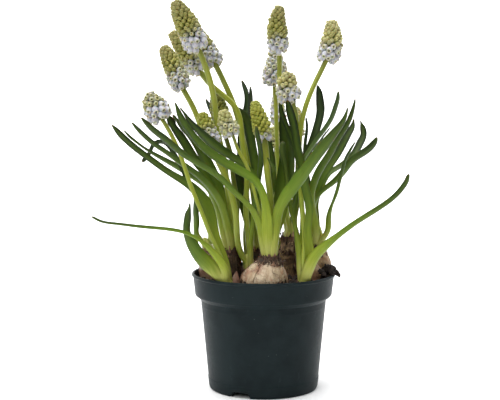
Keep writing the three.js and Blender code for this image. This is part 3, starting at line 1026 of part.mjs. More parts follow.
function leafGeometry(rows) {
  const centre = rows.map((r) => new THREE.Vector3(r[0], r[1], r[2]));
  const curve = new THREE.CatmullRomCurve3(centre);
  const sections = rows.map((row, k) => {
    const s = k / (rows.length - 1);
    const tangent = curve.getTangent(s);
    const inner = new THREE.Vector3(row[3], row[4], row[5]);
    inner.addScaledVector(tangent, -inner.dot(tangent)).normalize();
    const across = new THREE.Vector3().crossVectors(tangent, inner);
    const width = row[6];
    const thick = s < 0.4 ? mix(BLADE_FOOT, BLADE_MIDDLE, s / 0.4) : mix(BLADE_MIDDLE, BLADE_TIP, (s - 0.4) / 0.6);
    const point = (a, lift) => centre[k].clone()
      .addScaledVector(across, a * width / 2)
      .addScaledVector(inner, width * CHANNEL * (a * a - 0.35) + lift);
    const half = Math.min(thick, width * 0.8) / 2;
    return [point(-1, 0), point(-0.48, -half), point(0.48, -half), point(1, 0), point(0.48, half), point(-0.48, half)];
  });
  return loft(sections, LEAF_CAP);
}
const LEAF_COLOURS = { g: 0x4b6f24, l: 0x6f9430, d: 0x2c4a20, o: 0x5f7330, p: 0x93ab45, gr: 0x5d7a4d };
for (const [name, tone, rows] of LEAVES) add(name, leafGeometry(rows), LEAF_COLOURS[tone], 0.5);

// ----------------------------------------------------------- flower spikes
// Scape and raceme are one grown piece: a round stalk that swells into the
// conical head of packed bells.
const HEAD = [[0.0, 0.5], [0.06, 0.86], [0.2, 1.0], [0.42, 0.97], [0.62, 0.85], [0.8, 0.66], [0.93, 0.44], [1.0, 0.18]];

function spikeGeometry(stalkRadius, headRadius, points) {
  const centre = points.map((p) => new THREE.Vector3(...p));
  const stalk = centre.slice(0, centre.length - 2);
  const [base, middle, tip] = centre.slice(-3);
  const stations = [];
  let run = 0;
  stalk.forEach((p, i) => {
    if (i) run += p.distanceTo(stalk[i - 1]);
    const t = Math.min(run / 16, 1);
    const r = mix(SCAPE_FOOT_RADIUS, stalkRadius, t * t * (3 - 2 * t));
    if (i < stalk.length - 1) stations.push([p, r]);
  });
  for (const [u, f] of HEAD) {
    const a = 2 * (u - 0.5) * (u - 1), b = -4 * u * (u - 1), c = 2 * u * (u - 0.5);
    const p = new THREE.Vector3().addScaledVector(base, a).addScaledVector(middle, b).addScaledVector(tip, c);
    stations.push([p, Math.max(headRadius * f, u === 0 ? stalkRadius : 0)]);
  }
  let side = new THREE.Vector3(1, 0, 0);
  const sections = stations.map(([p, r], k) => {
    const before = stations[Math.max(k - 1, 0)][0], after = stations[Math.min(k + 1, stations.length - 1)][0];
    const tangent = after.clone().sub(before).normalize();
    side = side.clone().addScaledVector(tangent, -side.dot(tangent)).normalize();
    const other = new THREE.Vector3().crossVectors(tangent, side);
    return Array.from({ length: SCAPE_SIDES }, (_, i) => {
      const a = i * 2 * Math.PI / SCAPE_SIDES;
      return p.clone().addScaledVector(side, r * Math.cos(a)).addScaledVector(other, r * Math.sin(a));
    });
  });
  return loft(sections, fan(SCAPE_SIDES));
}
const SPIKE_COLOURS = { n: 0xb9bd8a, b: 0x8e8246, w: 0xd8d8d8, y: 0xc6c983 };
for (const [name, tone, stalkRadius, headRadius, points] of FLOWERS) {
  add(name, spikeGeometry(stalkRadius, headRadius, points), SPIKE_COLOURS[tone], 0.6);
}

export default group;
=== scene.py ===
import math

import bpy
import numpy as np
from mathutils import Matrix, Vector, noise as mnoise


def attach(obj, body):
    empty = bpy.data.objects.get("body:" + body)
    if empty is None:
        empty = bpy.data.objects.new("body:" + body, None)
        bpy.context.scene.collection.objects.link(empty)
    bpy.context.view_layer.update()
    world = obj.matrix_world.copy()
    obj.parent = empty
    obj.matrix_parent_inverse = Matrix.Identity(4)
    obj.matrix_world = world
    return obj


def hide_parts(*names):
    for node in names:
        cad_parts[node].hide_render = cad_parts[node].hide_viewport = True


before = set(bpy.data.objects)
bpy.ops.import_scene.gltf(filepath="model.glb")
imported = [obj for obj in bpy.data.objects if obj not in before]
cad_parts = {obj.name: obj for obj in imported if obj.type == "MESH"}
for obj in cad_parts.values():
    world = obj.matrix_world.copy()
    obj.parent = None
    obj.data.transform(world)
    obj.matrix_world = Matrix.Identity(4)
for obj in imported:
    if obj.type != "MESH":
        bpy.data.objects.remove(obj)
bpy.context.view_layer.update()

MM = 0.001
TAU = 2 * math.pi

# ---------------------------------------------------------------------------
# The plant's own lines, in millimetres, the same numbers as the CAD model.
# Leaves: name, tone, stations from foot to tip (x, y, z, inner side, width).
# Flowers: name, tone, stalk radius, head radius, stalk line, head middle, tip.
# Bulbs: level rings (x, y, z, r) from the base to the collar, and the neck.
# ---------------------------------------------------------------------------
LEAVES = [
    ("leaf_buried_left_1", "g", [
        (-22.12, -28.03, 67.88, 0.05, -0.998, 0.025, 3.1),
        (-22.8, -28.02, 73.39, 0.119, -0.993, 0.009, 3.13),
        (-24.37, -28.14, 81.3, 0.288, -0.956, 0.059, 1.73),
        (-27.34, -28.08, 92.08, 0.544, -0.819, 0.179, 0.9),
        (-30.78, -27.66, 104.07, 0.631, -0.716, 0.298, 7.49),
        (-35.36, -27.05, 117.44, 0.586, -0.704, 0.401, 11),
        (-44.19, -26.66, 128.7, 0.51, -0.698, 0.503, 7.08),
        (-55.99, -26.33, 136.34, 0.439, -0.696, 0.568, 5.24),
        (-67.23, -25.78, 144.23, 0.418, -0.696, 0.584, 4.92),
        (-78.2, -25.15, 152.41, 0.445, -0.695, 0.565, 4.89),
        (-81.35, -24.94, 155.1, 0.457, -0.694, 0.556, 4.89),
        (-86.57, -24.58, 160.11, 0.475, -0.694, 0.542, 4.88),
        (-89.53, -24.34, 163.52, 0.481, -0.693, 0.537, 3.03),
        (-91.29, -24.19, 165.68, 0.482, -0.693, 0.536, 0.9),
    ]),
    ("leaf_buried_left_2", "l", [
        (-21.43, -32.5, 68.2, -0.253, 0.967, 0.025, 2.46),
        (-22.26, -32.98, 72.54, -0.205, 0.973, 0.109, 2.46),
        (-23.31, -34.11, 78.99, -0.038, 0.981, 0.189, 2.1),
        (-27.95, -35.94, 86.84, 0.18, 0.917, 0.356, 0.96),
        (-34.42, -38.07, 94.51, 0.161, 0.868, 0.47, 0.9),
        (-43.37, -40.36, 101.22, 0.03, 0.872, 0.489, 2.63),
        (-53.93, -42.64, 104.58, -0.051, 0.873, 0.485, 2.63),
        (-64.77, -44.79, 106.02, -0.077, 0.875, 0.479, 2.51),
        (-75.6, -46.62, 107.3, -0.059, 0.878, 0.475, 2.23),
        (-86.49, -48.17, 108.83, -0.012, 0.883, 0.469, 1.99),
        (-96.09, -49.32, 110.73, 0.03, 0.888, 0.46, 1.8),
        (-98.45, -49.56, 111.91, 0.035, 0.888, 0.458, 1.78),
        (-99.86, -49.69, 112.73, 0.037, 0.888, 0.458, 1.62),
        (-100.72, -49.77, 113.21, 0.038, 0.888, 0.458, 0.9),
    ]),
    ("leaf_buried_left_3", "g", [
        (-24.24, -30.65, 67.18, 0.988, 0.152, 0.026, 3.1),
        (-24.8, -30.34, 70.68, 0.826, 0.372, 0.424, 3.12),
        (-28.04, -30.22, 74.16, 0.55, 0.674, 0.494, 3.09),
        (-31.95, -30.93, 79.39, 0.196, 0.947, 0.256, 3.51),
        (-37.74, -31.95, 86.12, 0.107, 0.968, 0.227, 3.97),
        (-42.71, -33.17, 93.78, 0.135, 0.956, 0.259, 6.27),
        (-46.17, -34.95, 102.42, 0.234, 0.937, 0.26, 4.7),
        (-45.52, -37.16, 111.47, 0.316, 0.922, 0.224, 4.68),
        (-45.23, -37.63, 113.25, 0.324, 0.921, 0.217, 4.17),
        (-44.23, -38.77, 117.42, 0.334, 0.919, 0.207, 1.74),
        (-44.03, -39.48, 120.07, 0.336, 0.919, 0.205, 0.9),
    ]),
    ("leaf_left_1", "g", [
        (-23.32, -7.76, 84.87, 0.643, 0.764, 0.046, 2.6),
        (-23.66, -8.1, 89.57, 0.638, 0.755, 0.153, 2.62),
        (-25.18, -8.83, 96.25, 0.643, 0.747, 0.167, 2.64),
        (-26.82, -10, 105.67, 0.626, 0.738, 0.251, 3.5),
        (-29.1, -11.84, 115.61, 0.527, 0.742, 0.413, 5.45),
        (-34.22, -13.95, 126.01, 0.401, 0.754, 0.52, 4.37),
        (-43.15, -15.61, 133.64, 0.353, 0.765, 0.538, 5.26),
        (-52.9, -16.42, 139.83, 0.354, 0.769, 0.532, 5.24),
        (-63, -16.47, 145.52, 0.367, 0.769, 0.524, 3.94),
        (-73.01, -15.86, 151.6, 0.408, 0.768, 0.494, 2.1),
        (-78.2, -15.35, 155.43, 0.436, 0.768, 0.468, 2.22),
        (-81.88, -14.92, 158.43, 0.451, 0.769, 0.453, 2.21),
        (-83.93, -14.6, 160.6, 0.456, 0.769, 0.448, 1.54),
        (-85.13, -14.41, 161.96, 0.457, 0.769, 0.447, 0.9),
    ]),
    ("leaf_left_2", "g", [
        (-20.22, -8.51, 85.02, -0.216, 0.975, 0.049, 2.6),
        (-20.11, -9.28, 89.81, -0.131, 0.959, 0.252, 2.62),
        (-21.12, -11.02, 96.52, 0.08, 0.967, 0.244, 2.6),
        (-23.26, -13.27, 105.63, 0.382, 0.868, 0.319, 2.59),
        (-25.99, -15.82, 115.69, 0.444, 0.787, 0.428, 6),
        (-31.47, -18.68, 125.83, 0.339, 0.794, 0.505, 5.3),
        (-39.34, -21.32, 134.49, 0.266, 0.802, 0.536, 5.28),
        (-48.66, -23.73, 141.56, 0.238, 0.806, 0.543, 4.56),
        (-57.91, -25.87, 148.71, 0.246, 0.809, 0.534, 3.97),
        (-67.53, -27.78, 155.65, 0.295, 0.813, 0.502, 3.96),
        (-72.68, -28.71, 160.43, 0.328, 0.816, 0.477, 3.79),
        (-75.9, -29.27, 163.75, 0.342, 0.817, 0.465, 3.21),
        (-77.77, -29.59, 165.99, 0.346, 0.817, 0.461, 2.01),
        (-78.85, -29.78, 167.34, 0.347, 0.817, 0.461, 0.9),
    ]),
    ("leaf_left_3", "g", [
        (-24.6, -4.84, 84.39, 0.998, -0.045, 0.035, 2.49),
        (-24.62, -4.96, 88.71, 0.992, -0.126, -0.025, 2.49),
        (-24.26, -5.23, 94.94, 0.939, -0.343, -0.021, 2.5),
        (-23.62, -5.39, 103.63, 0.743, -0.669, 0.027, 2.69),
        (-26.18, -5.6, 112.94, 0.604, -0.789, 0.109, 3.07),
        (-29.39, -5.69, 123.06, 0.568, -0.782, 0.255, 3.56),
        (-34.5, -5.38, 132.09, 0.498, -0.774, 0.391, 4.26),
        (-40.85, -4.61, 140.63, 0.443, -0.769, 0.46, 6.6),
        (-46.56, -3.47, 149.34, 0.447, -0.767, 0.459, 7.04),
        (-52.12, -2.18, 158.14, 0.483, -0.767, 0.422, 7.02),
        (-56.73, -1.15, 164.99, 0.504, -0.767, 0.397, 4.57),
        (-58.46, -0.63, 168.45, 0.509, -0.767, 0.391, 12.5),
        (-59.68, -0.31, 170.5, 0.51, -0.767, 0.39, 12.5),
    ]),
    ("leaf_left_4", "g", [
        (-23.05, -2.04, 83.89, 0.568, -0.822, 0.045, 2.6),
        (-23.26, -1.66, 88.27, 0.551, -0.801, 0.236, 2.62),
        (-24.03, -0.02, 94.37, 0.538, -0.807, 0.245, 2.89),
        (-23.96, 1.49, 103.08, 0.524, -0.833, 0.181, 4.11),
        (-24.95, 3.27, 112.77, 0.495, -0.827, 0.265, 5.7),
        (-27.37, 5.3, 123.23, 0.471, -0.824, 0.315, 6.79),
        (-31.26, 6.91, 133.39, 0.447, -0.823, 0.349, 6.88),
        (-36.64, 8.33, 142.88, 0.389, -0.812, 0.435, 7.98),
        (-42.36, 11.15, 151.63, 0.306, -0.784, 0.539, 4.98),
        (-48.85, 15.05, 159.48, 0.288, -0.787, 0.545, 3.36),
        (-51.47, 16.38, 162.24, 0.29, -0.792, 0.537, 3.15),
        (-54.39, 17.9, 166.48, 0.293, -0.797, 0.528, 2.29),
        (-56.43, 18.8, 168.92, 0.294, -0.798, 0.525, 2.28),
        (-57.6, 19.35, 170.49, 0.295, -0.799, 0.525, 2.2),
    ]),
    ("leaf_left_5", "d", [
        (-19.89, -1.58, 83.57, -0.309, -0.949, 0.055, 2.6),
        (-19.52, -1.16, 88.38, -0.225, -0.933, 0.281, 2.62),
        (-18.88, 1.42, 94.82, -0.078, -0.924, 0.375, 2.79),
        (-20.44, 5.01, 103.64, 0.121, -0.911, 0.393, 3.16),
        (-21.52, 9.1, 113.61, 0.232, -0.886, 0.401, 3.31),
        (-22.58, 13.62, 124.56, 0.239, -0.885, 0.399, 3.33),
        (-24, 18.2, 135.45, 0.228, -0.88, 0.416, 3.34),
        (-25.95, 22.99, 146.17, 0.207, -0.869, 0.449, 3.35),
        (-28.44, 28.1, 156.63, 0.178, -0.857, 0.484, 3.35),
        (-31.27, 33.43, 166.91, 0.142, -0.853, 0.503, 3.36),
        (-33.91, 36.98, 173.59, 0.123, -0.856, 0.501, 3.36),
        (-35.57, 38.78, 176.9, 0.118, -0.858, 0.499, 2.87),
        (-36.62, 39.87, 178.98, 0.116, -0.859, 0.499, 1.78),
        (-37.22, 40.55, 180.26, 0.115, -0.859, 0.498, 0.93),
    ]),
    ("leaf_left_offset_1", "o", [
        (-9.82, -3.11, 74.28, 0.338, -0.94, 0.039, 3.01),
        (-9.87, -2.8, 78.15, 0.338, -0.935, 0.103, 3.01),
        (-10.1, -2.2, 83.29, 0.34, -0.931, 0.133, 3.01),
        (-10.76, -0.85, 90.28, 0.343, -0.903, 0.258, 3.24),
        (-10.78, 4.03, 98.52, 0.357, -0.645, 0.675, 3.46),
        (-9.89, 10.1, 105.93, 0.349, -0.903, 0.249, 3.52),
        (-10.12, 10.36, 115.6, 0.345, -0.936, 0.062, 3.38),
        (-11.02, 11.49, 125.16, 0.331, -0.921, 0.205, 3.22),
        (-11.4, 12, 127.88, 0.326, -0.917, 0.229, 3.11),
        (-11.91, 12.68, 131.22, 0.322, -0.914, 0.248, 2.65),
        (-12.23, 13.13, 133.3, 0.321, -0.913, 0.254, 1.76),
        (-12.44, 13.41, 134.57, 0.32, -0.912, 0.255, 1.24),
    ]),
    ("leaf_front_1", "g", [
        (0.08, -28.62, 84.15, 0.893, 0.448, 0.054, 2.35),
        (-0.76, -29.34, 89.29, 0.83, 0.444, 0.338, 2.37),
        (-1.97, -31.02, 96.63, 0.763, 0.542, 0.351, 2.32),
        (-3.56, -32.83, 106.97, 0.593, 0.698, 0.4, 3.27),
        (-8.91, -36.37, 117.66, 0.416, 0.777, 0.473, 4.09),
        (-17.99, -39.69, 126.84, 0.309, 0.791, 0.528, 4.48),
        (-26.99, -42.38, 135.95, 0.26, 0.799, 0.542, 4.61),
        (-37.6, -44.75, 143.11, 0.255, 0.804, 0.537, 4.84),
        (-48.48, -46.78, 150.12, 0.272, 0.807, 0.524, 5.13),
        (-58.38, -48.26, 158.66, 0.301, 0.81, 0.503, 5.06),
        (-64.55, -49.06, 163.58, 0.316, 0.812, 0.491, 4.71),
        (-68.08, -49.45, 167.08, 0.322, 0.812, 0.486, 4.06),
        (-70.16, -49.69, 169.34, 0.324, 0.812, 0.485, 2.46),
        (-71.4, -49.83, 170.77, 0.324, 0.812, 0.485, 0.9),
    ]),
    ("leaf_front_2", "l", [
        (2.38, -30.48, 84.28, 0.256, 0.965, 0.051, 2.35),
        (2.23, -31.16, 89.42, 0.268, 0.94, 0.21, 2.37),
        (1.56, -33.2, 96.82, 0.305, 0.93, 0.203, 3.03),
        (1.26, -36.13, 107.23, 0.352, 0.912, 0.212, 4.4),
        (0.44, -37.28, 118.9, 0.346, 0.912, 0.219, 4.85),
        (-4.51, -37.33, 131.84, 0.302, 0.926, 0.228, 4.89),
        (-15.71, -36.73, 139.6, 0.255, 0.931, 0.262, 5.93),
        (-27.02, -36.19, 145.96, 0.26, 0.931, 0.257, 5.81),
        (-37.07, -35.24, 153.88, 0.321, 0.927, 0.194, 5.08),
        (-45.28, -33.59, 163.68, 0.379, 0.921, 0.091, 4.38),
        (-47.57, -32.99, 166.95, 0.388, 0.919, 0.062, 4.92),
        (-50.59, -31.87, 172.85, 0.396, 0.918, 0.025, 3.83),
        (-52.05, -31.14, 176.73, 0.398, 0.917, 0.014, 1.92),
        (-52.88, -30.7, 179.14, 0.398, 0.917, 0.012, 0.9),
    ]),
    ("leaf_front_3", "g", [
        (-0.04, -25.66, 83.76, 0.927, -0.373, 0.03, 2.35),
        (0.04, -25.74, 88.81, 0.905, -0.421, -0.065, 2.37),
        (0.91, -27.51, 96.23, 0.834, -0.544, -0.087, 2.86),
        (1.87, -28.72, 106.21, 0.68, -0.729, -0.078, 3.17),
        (0.8, -28.7, 117.58, 0.56, -0.809, 0.18, 3.44),
        (-2.82, -28.1, 129.95, 0.5, -0.794, 0.346, 3.66),
        (-10.47, -27.04, 140.34, 0.464, -0.79, 0.401, 4.18),
        (-20.74, -26.28, 147.53, 0.429, -0.787, 0.443, 5.96),
        (-30.95, -25.73, 154.46, 0.378, -0.784, 0.493, 7.26),
        (-39.99, -24.21, 162.67, 0.329, -0.776, 0.539, 5.43),
        (-42.82, -23.47, 165.57, 0.319, -0.773, 0.548, 4.62),
        (-46.68, -22.19, 170.61, 0.309, -0.771, 0.557, 2.44),
        (-48.96, -21.35, 173.85, 0.307, -0.77, 0.56, 1.26),
        (-50.43, -20.84, 175.73, 0.306, -0.77, 0.56, 1.19),
    ]),
    ("leaf_front_4", "l", [
        (5.3, -29.99, 84.2, -0.555, 0.83, 0.049, 2.35),
        (5.67, -30.62, 88.84, -0.523, 0.815, 0.247, 2.37),
        (6.19, -31.88, 95.48, -0.475, 0.845, 0.246, 2.42),
        (6.67, -33.42, 104.89, -0.372, 0.891, 0.259, 2.02),
        (8.84, -35.65, 115.43, -0.285, 0.912, 0.296, 5.39),
        (14.4, -38.03, 125.6, -0.245, 0.917, 0.316, 8.37),
        (21.16, -40.27, 134.76, -0.223, 0.921, 0.32, 7.85),
        (27.62, -42.37, 144.08, -0.205, 0.922, 0.328, 7.48),
        (34.23, -44.52, 153.19, -0.186, 0.921, 0.342, 7.03),
        (41.07, -46.7, 162.25, -0.185, 0.92, 0.344, 5.33),
        (46, -48.31, 169.68, -0.201, 0.922, 0.332, 3.19),
        (47.45, -49.05, 173.79, -0.207, 0.922, 0.327, 1.67),
        (47.92, -49.48, 176.41, -0.209, 0.922, 0.326, 0.9),
    ]),
    ("leaf_front_5", "p", [
        (6.02, -24.65, 83.34, -0.756, -0.654, 0.039, 2.35),
        (6.3, -24.29, 87.27, -0.629, -0.72, 0.293, 2.36),
        (7.76, -23.04, 92.14, -0.406, -0.91, 0.084, 2.31),
        (6.66, -22.16, 98.82, 0.102, -0.979, -0.175, 2.29),
        (4.25, -22.19, 108.2, 0.176, -0.984, 0.034, 2.11),
        (4.88, -21.6, 118.29, 0.162, -0.981, -0.105, 1.86),
        (4.66, -21.54, 127.57, 0.168, -0.928, -0.332, 1.94),
        (5.81, -24.23, 136.95, 0.205, -0.948, -0.242, 2.5),
        (5.03, -30.27, 140.39, 0.21, -0.957, -0.2, 2.95),
        (3.62, -32.91, 143.83, 0.213, -0.963, -0.167, 1.92),
        (2.47, -33.42, 145.64, 0.214, -0.964, -0.156, 0.9),
        (1.81, -33.69, 146.73, 0.215, -0.964, -0.155, 0.9),
    ]),
    ("leaf_front_6", "g", [
        (3.33, -23.4, 83.08, -0.009, -0.999, 0.04, 2.35),
        (3.33, -23.03, 87.17, 0.015, -0.986, 0.167, 2.36),
        (3.81, -21.72, 92.94, 0.077, -0.986, 0.148, 2.52),
        (6.45, -20.38, 100.6, 0.173, -0.983, 0.055, 4.69),
        (8.88, -19.41, 109.52, 0.229, -0.972, 0.049, 7.99),
        (10.36, -18.47, 119.47, 0.236, -0.968, 0.086, 9.89),
        (11.82, -17.51, 129.25, 0.24, -0.963, 0.125, 10.5),
        (13.4, -15.66, 139.09, 0.24, -0.959, 0.153, 10.5),
        (13.76, -13.23, 149.74, 0.233, -0.957, 0.171, 9.15),
        (12.61, -11.66, 160.33, 0.22, -0.959, 0.177, 7.13),
        (12.23, -11.73, 163.21, 0.217, -0.96, 0.178, 6.39),
        (11.57, -11.06, 168.84, 0.212, -0.961, 0.178, 4.86),
        (11.12, -10.58, 172.27, 0.211, -0.961, 0.177, 2.84),
        (10.89, -10.3, 174.32, 0.21, -0.961, 0.177, 0.95),
    ]),
    ("leaf_front_7", "gr", [
        (6.87, -27.48, 83.51, -0.99, 0.134, 0.042, 2.35),
        (7.26, -27.55, 88.46, -0.974, 0.196, 0.116, 2.37),
        (7.84, -27.77, 95.63, -0.923, 0.362, 0.126, 2.27),
        (8.69, -28.27, 105.54, -0.768, 0.623, 0.151, 2.27),
        (10.99, -28.63, 116.35, -0.646, 0.741, 0.184, 2.25),
        (14.4, -28.84, 128.14, -0.609, 0.751, 0.255, 2.32),
        (20.11, -28.88, 138.95, -0.577, 0.755, 0.311, 2.67),
        (26.21, -28.89, 149.47, -0.554, 0.757, 0.348, 3.21),
        (33.24, -28.94, 159.48, -0.57, 0.757, 0.32, 3.81),
        (40.19, -28.37, 169.66, -0.623, 0.754, 0.209, 4.2),
        (43.18, -27.49, 177.9, -0.649, 0.751, 0.119, 4.12),
        (44.23, -27, 181.72, -0.654, 0.751, 0.093, 3.59),
        (44.34, -26.68, 184.22, -0.655, 0.751, 0.086, 2.61),
        (44.43, -26.48, 185.76, -0.655, 0.751, 0.084, 1.05),
    ]),
    ("leaf_middle_1", "g", [
        (-3.82, 9.44, 81.65, 0.145, 0.988, 0.048, 2.6),
        (-3.86, 9.05, 86.01, 0.163, 0.968, 0.188, 2.62),
        (-4.14, 7.44, 92.13, 0.21, 0.942, 0.261, 2.76),
        (-4.61, 5.17, 100.59, 0.294, 0.924, 0.243, 4.03),
        (-4.77, 3.18, 110.11, 0.34, 0.929, 0.146, 4.98),
        (-4.54, 2.29, 120.79, 0.343, 0.938, 0.043, 5.41),
        (-4.36, 2.15, 131.5, 0.343, 0.939, 0.011, 5.43),
        (-5.76, 2.34, 142.16, 0.341, 0.94, 0.004, 5.66),
        (-7.67, 2.81, 152.61, 0.338, 0.941, 0.014, 6.31),
        (-9.9, 3.38, 162.94, 0.332, 0.942, 0.046, 6.72),
        (-10.63, 3.3, 165.12, 0.331, 0.942, 0.055, 6.83),
        (-13.11, 3.45, 170.56, 0.326, 0.942, 0.074, 6.5),
        (-15.44, 3.78, 173.47, 0.325, 0.942, 0.08, 4.39),
        (-16.97, 4.18, 175.23, 0.324, 0.942, 0.082, 2.21),
    ]),
    ("leaf_left_offset_2", "g", [
        (-8.05, -10.06, 74.85, -0.153, 0.987, 0.043, 2.95),
        (-7.94, -10.43, 79.15, -0.094, 0.987, 0.127, 2.95),
        (-8.05, -11.19, 85.36, 0.056, 0.992, 0.116, 2.91),
        (-8.25, -12.28, 93.95, 0.315, 0.94, 0.127, 2.76),
        (-7.25, -14.03, 103.39, 0.448, 0.88, 0.156, 2.72),
        (-5.96, -16.64, 113.57, 0.465, 0.867, 0.18, 2.88),
        (-4.51, -19.44, 123.63, 0.462, 0.862, 0.209, 3.19),
        (-3.24, -22.59, 133.5, 0.447, 0.842, 0.301, 3.43),
        (-2.14, -27.5, 143.06, 0.421, 0.816, 0.395, 3.47),
        (-2.7, -31.78, 152.44, 0.398, 0.823, 0.406, 3.33),
        (-4.14, -35.09, 160.09, 0.388, 0.84, 0.379, 3.07),
        (-4.52, -36.16, 162.74, 0.387, 0.843, 0.373, 2.49),
        (-4.72, -36.82, 164.41, 0.387, 0.844, 0.371, 1.65),
        (-4.85, -37.22, 165.43, 0.387, 0.845, 0.37, 1.87),
    ]),
    ("leaf_middle_2", "g", [
        (0.06, 14.3, 81.11, -0.932, -0.361, 0.041, 2.6),
        (0.25, 14.36, 84.76, -0.869, -0.49, 0.073, 2.61),
        (0.73, 14.57, 90.01, -0.616, -0.779, 0.118, 2.67),
        (0.73, 14.87, 97.33, -0.01, -0.999, 0.038, 3.19),
        (2.13, 15.28, 105.33, 0.312, -0.95, 0.028, 3.53),
        (4.17, 16.06, 114.04, 0.326, -0.943, 0.065, 3.63),
        (5.62, 17.24, 122.83, 0.33, -0.936, 0.12, 3.66),
        (6.39, 18.8, 131.69, 0.327, -0.928, 0.179, 3.78),
        (5.86, 20.65, 140.45, 0.318, -0.921, 0.225, 4),
        (4.34, 22.67, 149.09, 0.309, -0.912, 0.269, 4.07),
        (3.41, 23.97, 153.97, 0.304, -0.904, 0.302, 4),
        (2.9, 24.99, 157.3, 0.302, -0.899, 0.317, 3.54),
        (2.62, 25.83, 159.36, 0.301, -0.898, 0.321, 2.74),
        (2.49, 26.3, 160.62, 0.301, -0.897, 0.322, 2.47),
    ]),
    ("leaf_middle_3", "d", [
        (-5.45, 15.89, 81.08, 0.597, -0.801, 0.038, 2.6),
        (-5.79, 16.02, 86.35, 0.566, -0.821, 0.074, 2.63),
        (-6.56, 16.3, 93.94, 0.485, -0.872, 0.066, 2.21),
        (-8.57, 17.43, 104.33, 0.336, -0.934, 0.119, 1.04),
        (-11.92, 19.43, 115.49, 0.255, -0.946, 0.201, 3.92),
        (-14.99, 22.4, 127.85, 0.243, -0.932, 0.269, 5.35),
        (-13.64, 26.12, 140.24, 0.234, -0.916, 0.326, 7.87),
        (-12.62, 30.54, 152.64, 0.225, -0.898, 0.378, 8.4),
        (-12.05, 35.56, 164.81, 0.217, -0.881, 0.421, 7.07),
        (-10.53, 41, 176.67, 0.213, -0.873, 0.439, 3.88),
        (-11.39, 45.26, 185.85, 0.215, -0.875, 0.434, 3.47),
        (-12.67, 46.84, 189.16, 0.216, -0.876, 0.432, 2.79),
        (-13.42, 47.83, 191.17, 0.216, -0.876, 0.431, 1.82),
        (-13.83, 48.43, 192.4, 0.216, -0.876, 0.431, 0.9),
    ]),
    ("leaf_middle_4", "d", [
        (-2.31, 16.46, 80.72, -0.276, -0.96, 0.057, 2.6),
        (-2.28, 16.96, 85.96, -0.225, -0.947, 0.229, 2.63),
        (-2.21, 19.43, 93.18, -0.09, -0.942, 0.325, 2.82),
        (-2.71, 22.91, 103.15, 0.129, -0.93, 0.345, 2.8),
        (-3.06, 27.11, 114.11, 0.229, -0.897, 0.378, 2.78),
        (-4.12, 32.08, 126, 0.227, -0.887, 0.402, 2.75),
        (-5.3, 37.29, 137.77, 0.223, -0.879, 0.421, 2.7),
        (-6.48, 42.77, 149.43, 0.225, -0.869, 0.441, 2.64),
        (-7.39, 48.55, 160.98, 0.23, -0.859, 0.457, 2.57),
        (-7.76, 54.5, 172.49, 0.23, -0.858, 0.458, 2.53),
        (-7.8, 58.98, 181.33, 0.227, -0.864, 0.449, 2.53),
        (-8.04, 60.7, 184.81, 0.226, -0.866, 0.447, 2.35),
        (-8.18, 61.76, 186.98, 0.225, -0.866, 0.446, 1.52),
        (-8.25, 62.4, 188.27, 0.225, -0.867, 0.445, 0.9),
    ]),
    ("leaf_back_right_1", "d", [
        (21.1, 19.36, 89.6, -0.995, -0.094, 0.038, 3.1),
        (21.14, 19.34, 94.27, -0.979, -0.203, -0.016, 3.12),
        (20.63, 19.29, 101.01, -0.877, -0.48, -0.004, 3.15),
        (20.67, 19.4, 110.37, -0.533, -0.845, 0.047, 3.89),
        (22, 19.97, 120.68, -0.303, -0.946, 0.115, 4.39),
        (24.04, 21.17, 131.86, -0.278, -0.941, 0.195, 4.61),
        (27.28, 22.95, 142.64, -0.251, -0.932, 0.262, 4.74),
        (31.52, 25.21, 153, -0.235, -0.923, 0.305, 5.04),
        (35.14, 27.94, 163.52, -0.255, -0.916, 0.311, 5.52),
        (37.16, 30.97, 174.42, -0.304, -0.913, 0.271, 5.68),
        (36.84, 32.27, 179.05, -0.321, -0.914, 0.247, 5.33),
        (36.35, 33.71, 184.2, -0.333, -0.916, 0.225, 4.43),
        (35.68, 34.6, 187.37, -0.337, -0.916, 0.218, 2.64),
        (35.24, 35.12, 189.29, -0.338, -0.916, 0.217, 0.9),
    ]),
    ("leaf_back_right_2", "d", [
        (18.79, 22.51, 89.29, -0.389, -0.92, 0.05, 3.1),
        (19.07, 22.94, 94.45, -0.314, -0.94, 0.137, 3.13),
        (19.36, 23.87, 101.88, -0.116, -0.983, 0.14, 2.91),
        (19.97, 25.44, 112.12, 0.229, -0.96, 0.159, 2.69),
        (21.3, 27.94, 123.3, 0.391, -0.895, 0.215, 2.58),
        (22.08, 31.66, 135.43, 0.393, -0.873, 0.289, 2.6),
        (22.02, 36.15, 147.28, 0.385, -0.854, 0.349, 2.68),
        (21.22, 41.23, 158.89, 0.377, -0.837, 0.396, 2.72),
        (20.5, 46.77, 170.29, 0.371, -0.824, 0.429, 2.75),
        (20.52, 52.57, 181.55, 0.364, -0.82, 0.442, 2.87),
        (20.33, 57.37, 190.99, 0.357, -0.825, 0.438, 3.04),
        (20.04, 58.87, 193.96, 0.356, -0.826, 0.437, 2.56),
        (19.87, 59.8, 195.83, 0.356, -0.826, 0.437, 1.66),
        (19.75, 60.36, 196.97, 0.356, -0.826, 0.437, 1.03),
    ]),
    ("leaf_right_1", "g", [
        (31.65, -1.03, 86.9, 0.54, 0.84, 0.045, 2.4),
        (31.7, -1.9, 91.27, 0.472, 0.84, 0.268, 2.42),
        (31.82, -3.85, 97.51, 0.238, 0.948, 0.212, 2.45),
        (30.97, -5.26, 106.48, -0.215, 0.976, 0.02, 2.06),
        (30.08, -6.38, 116.6, -0.446, 0.894, 0.045, 1.59),
        (30.82, -7.84, 127.75, -0.417, 0.89, 0.184, 5.23),
        (34.82, -8.14, 137.92, -0.359, 0.896, 0.261, 5.62),
        (40.5, -8.93, 147.17, -0.335, 0.903, 0.27, 5.07),
        (45.84, -9.45, 156.98, -0.357, 0.906, 0.228, 4.2),
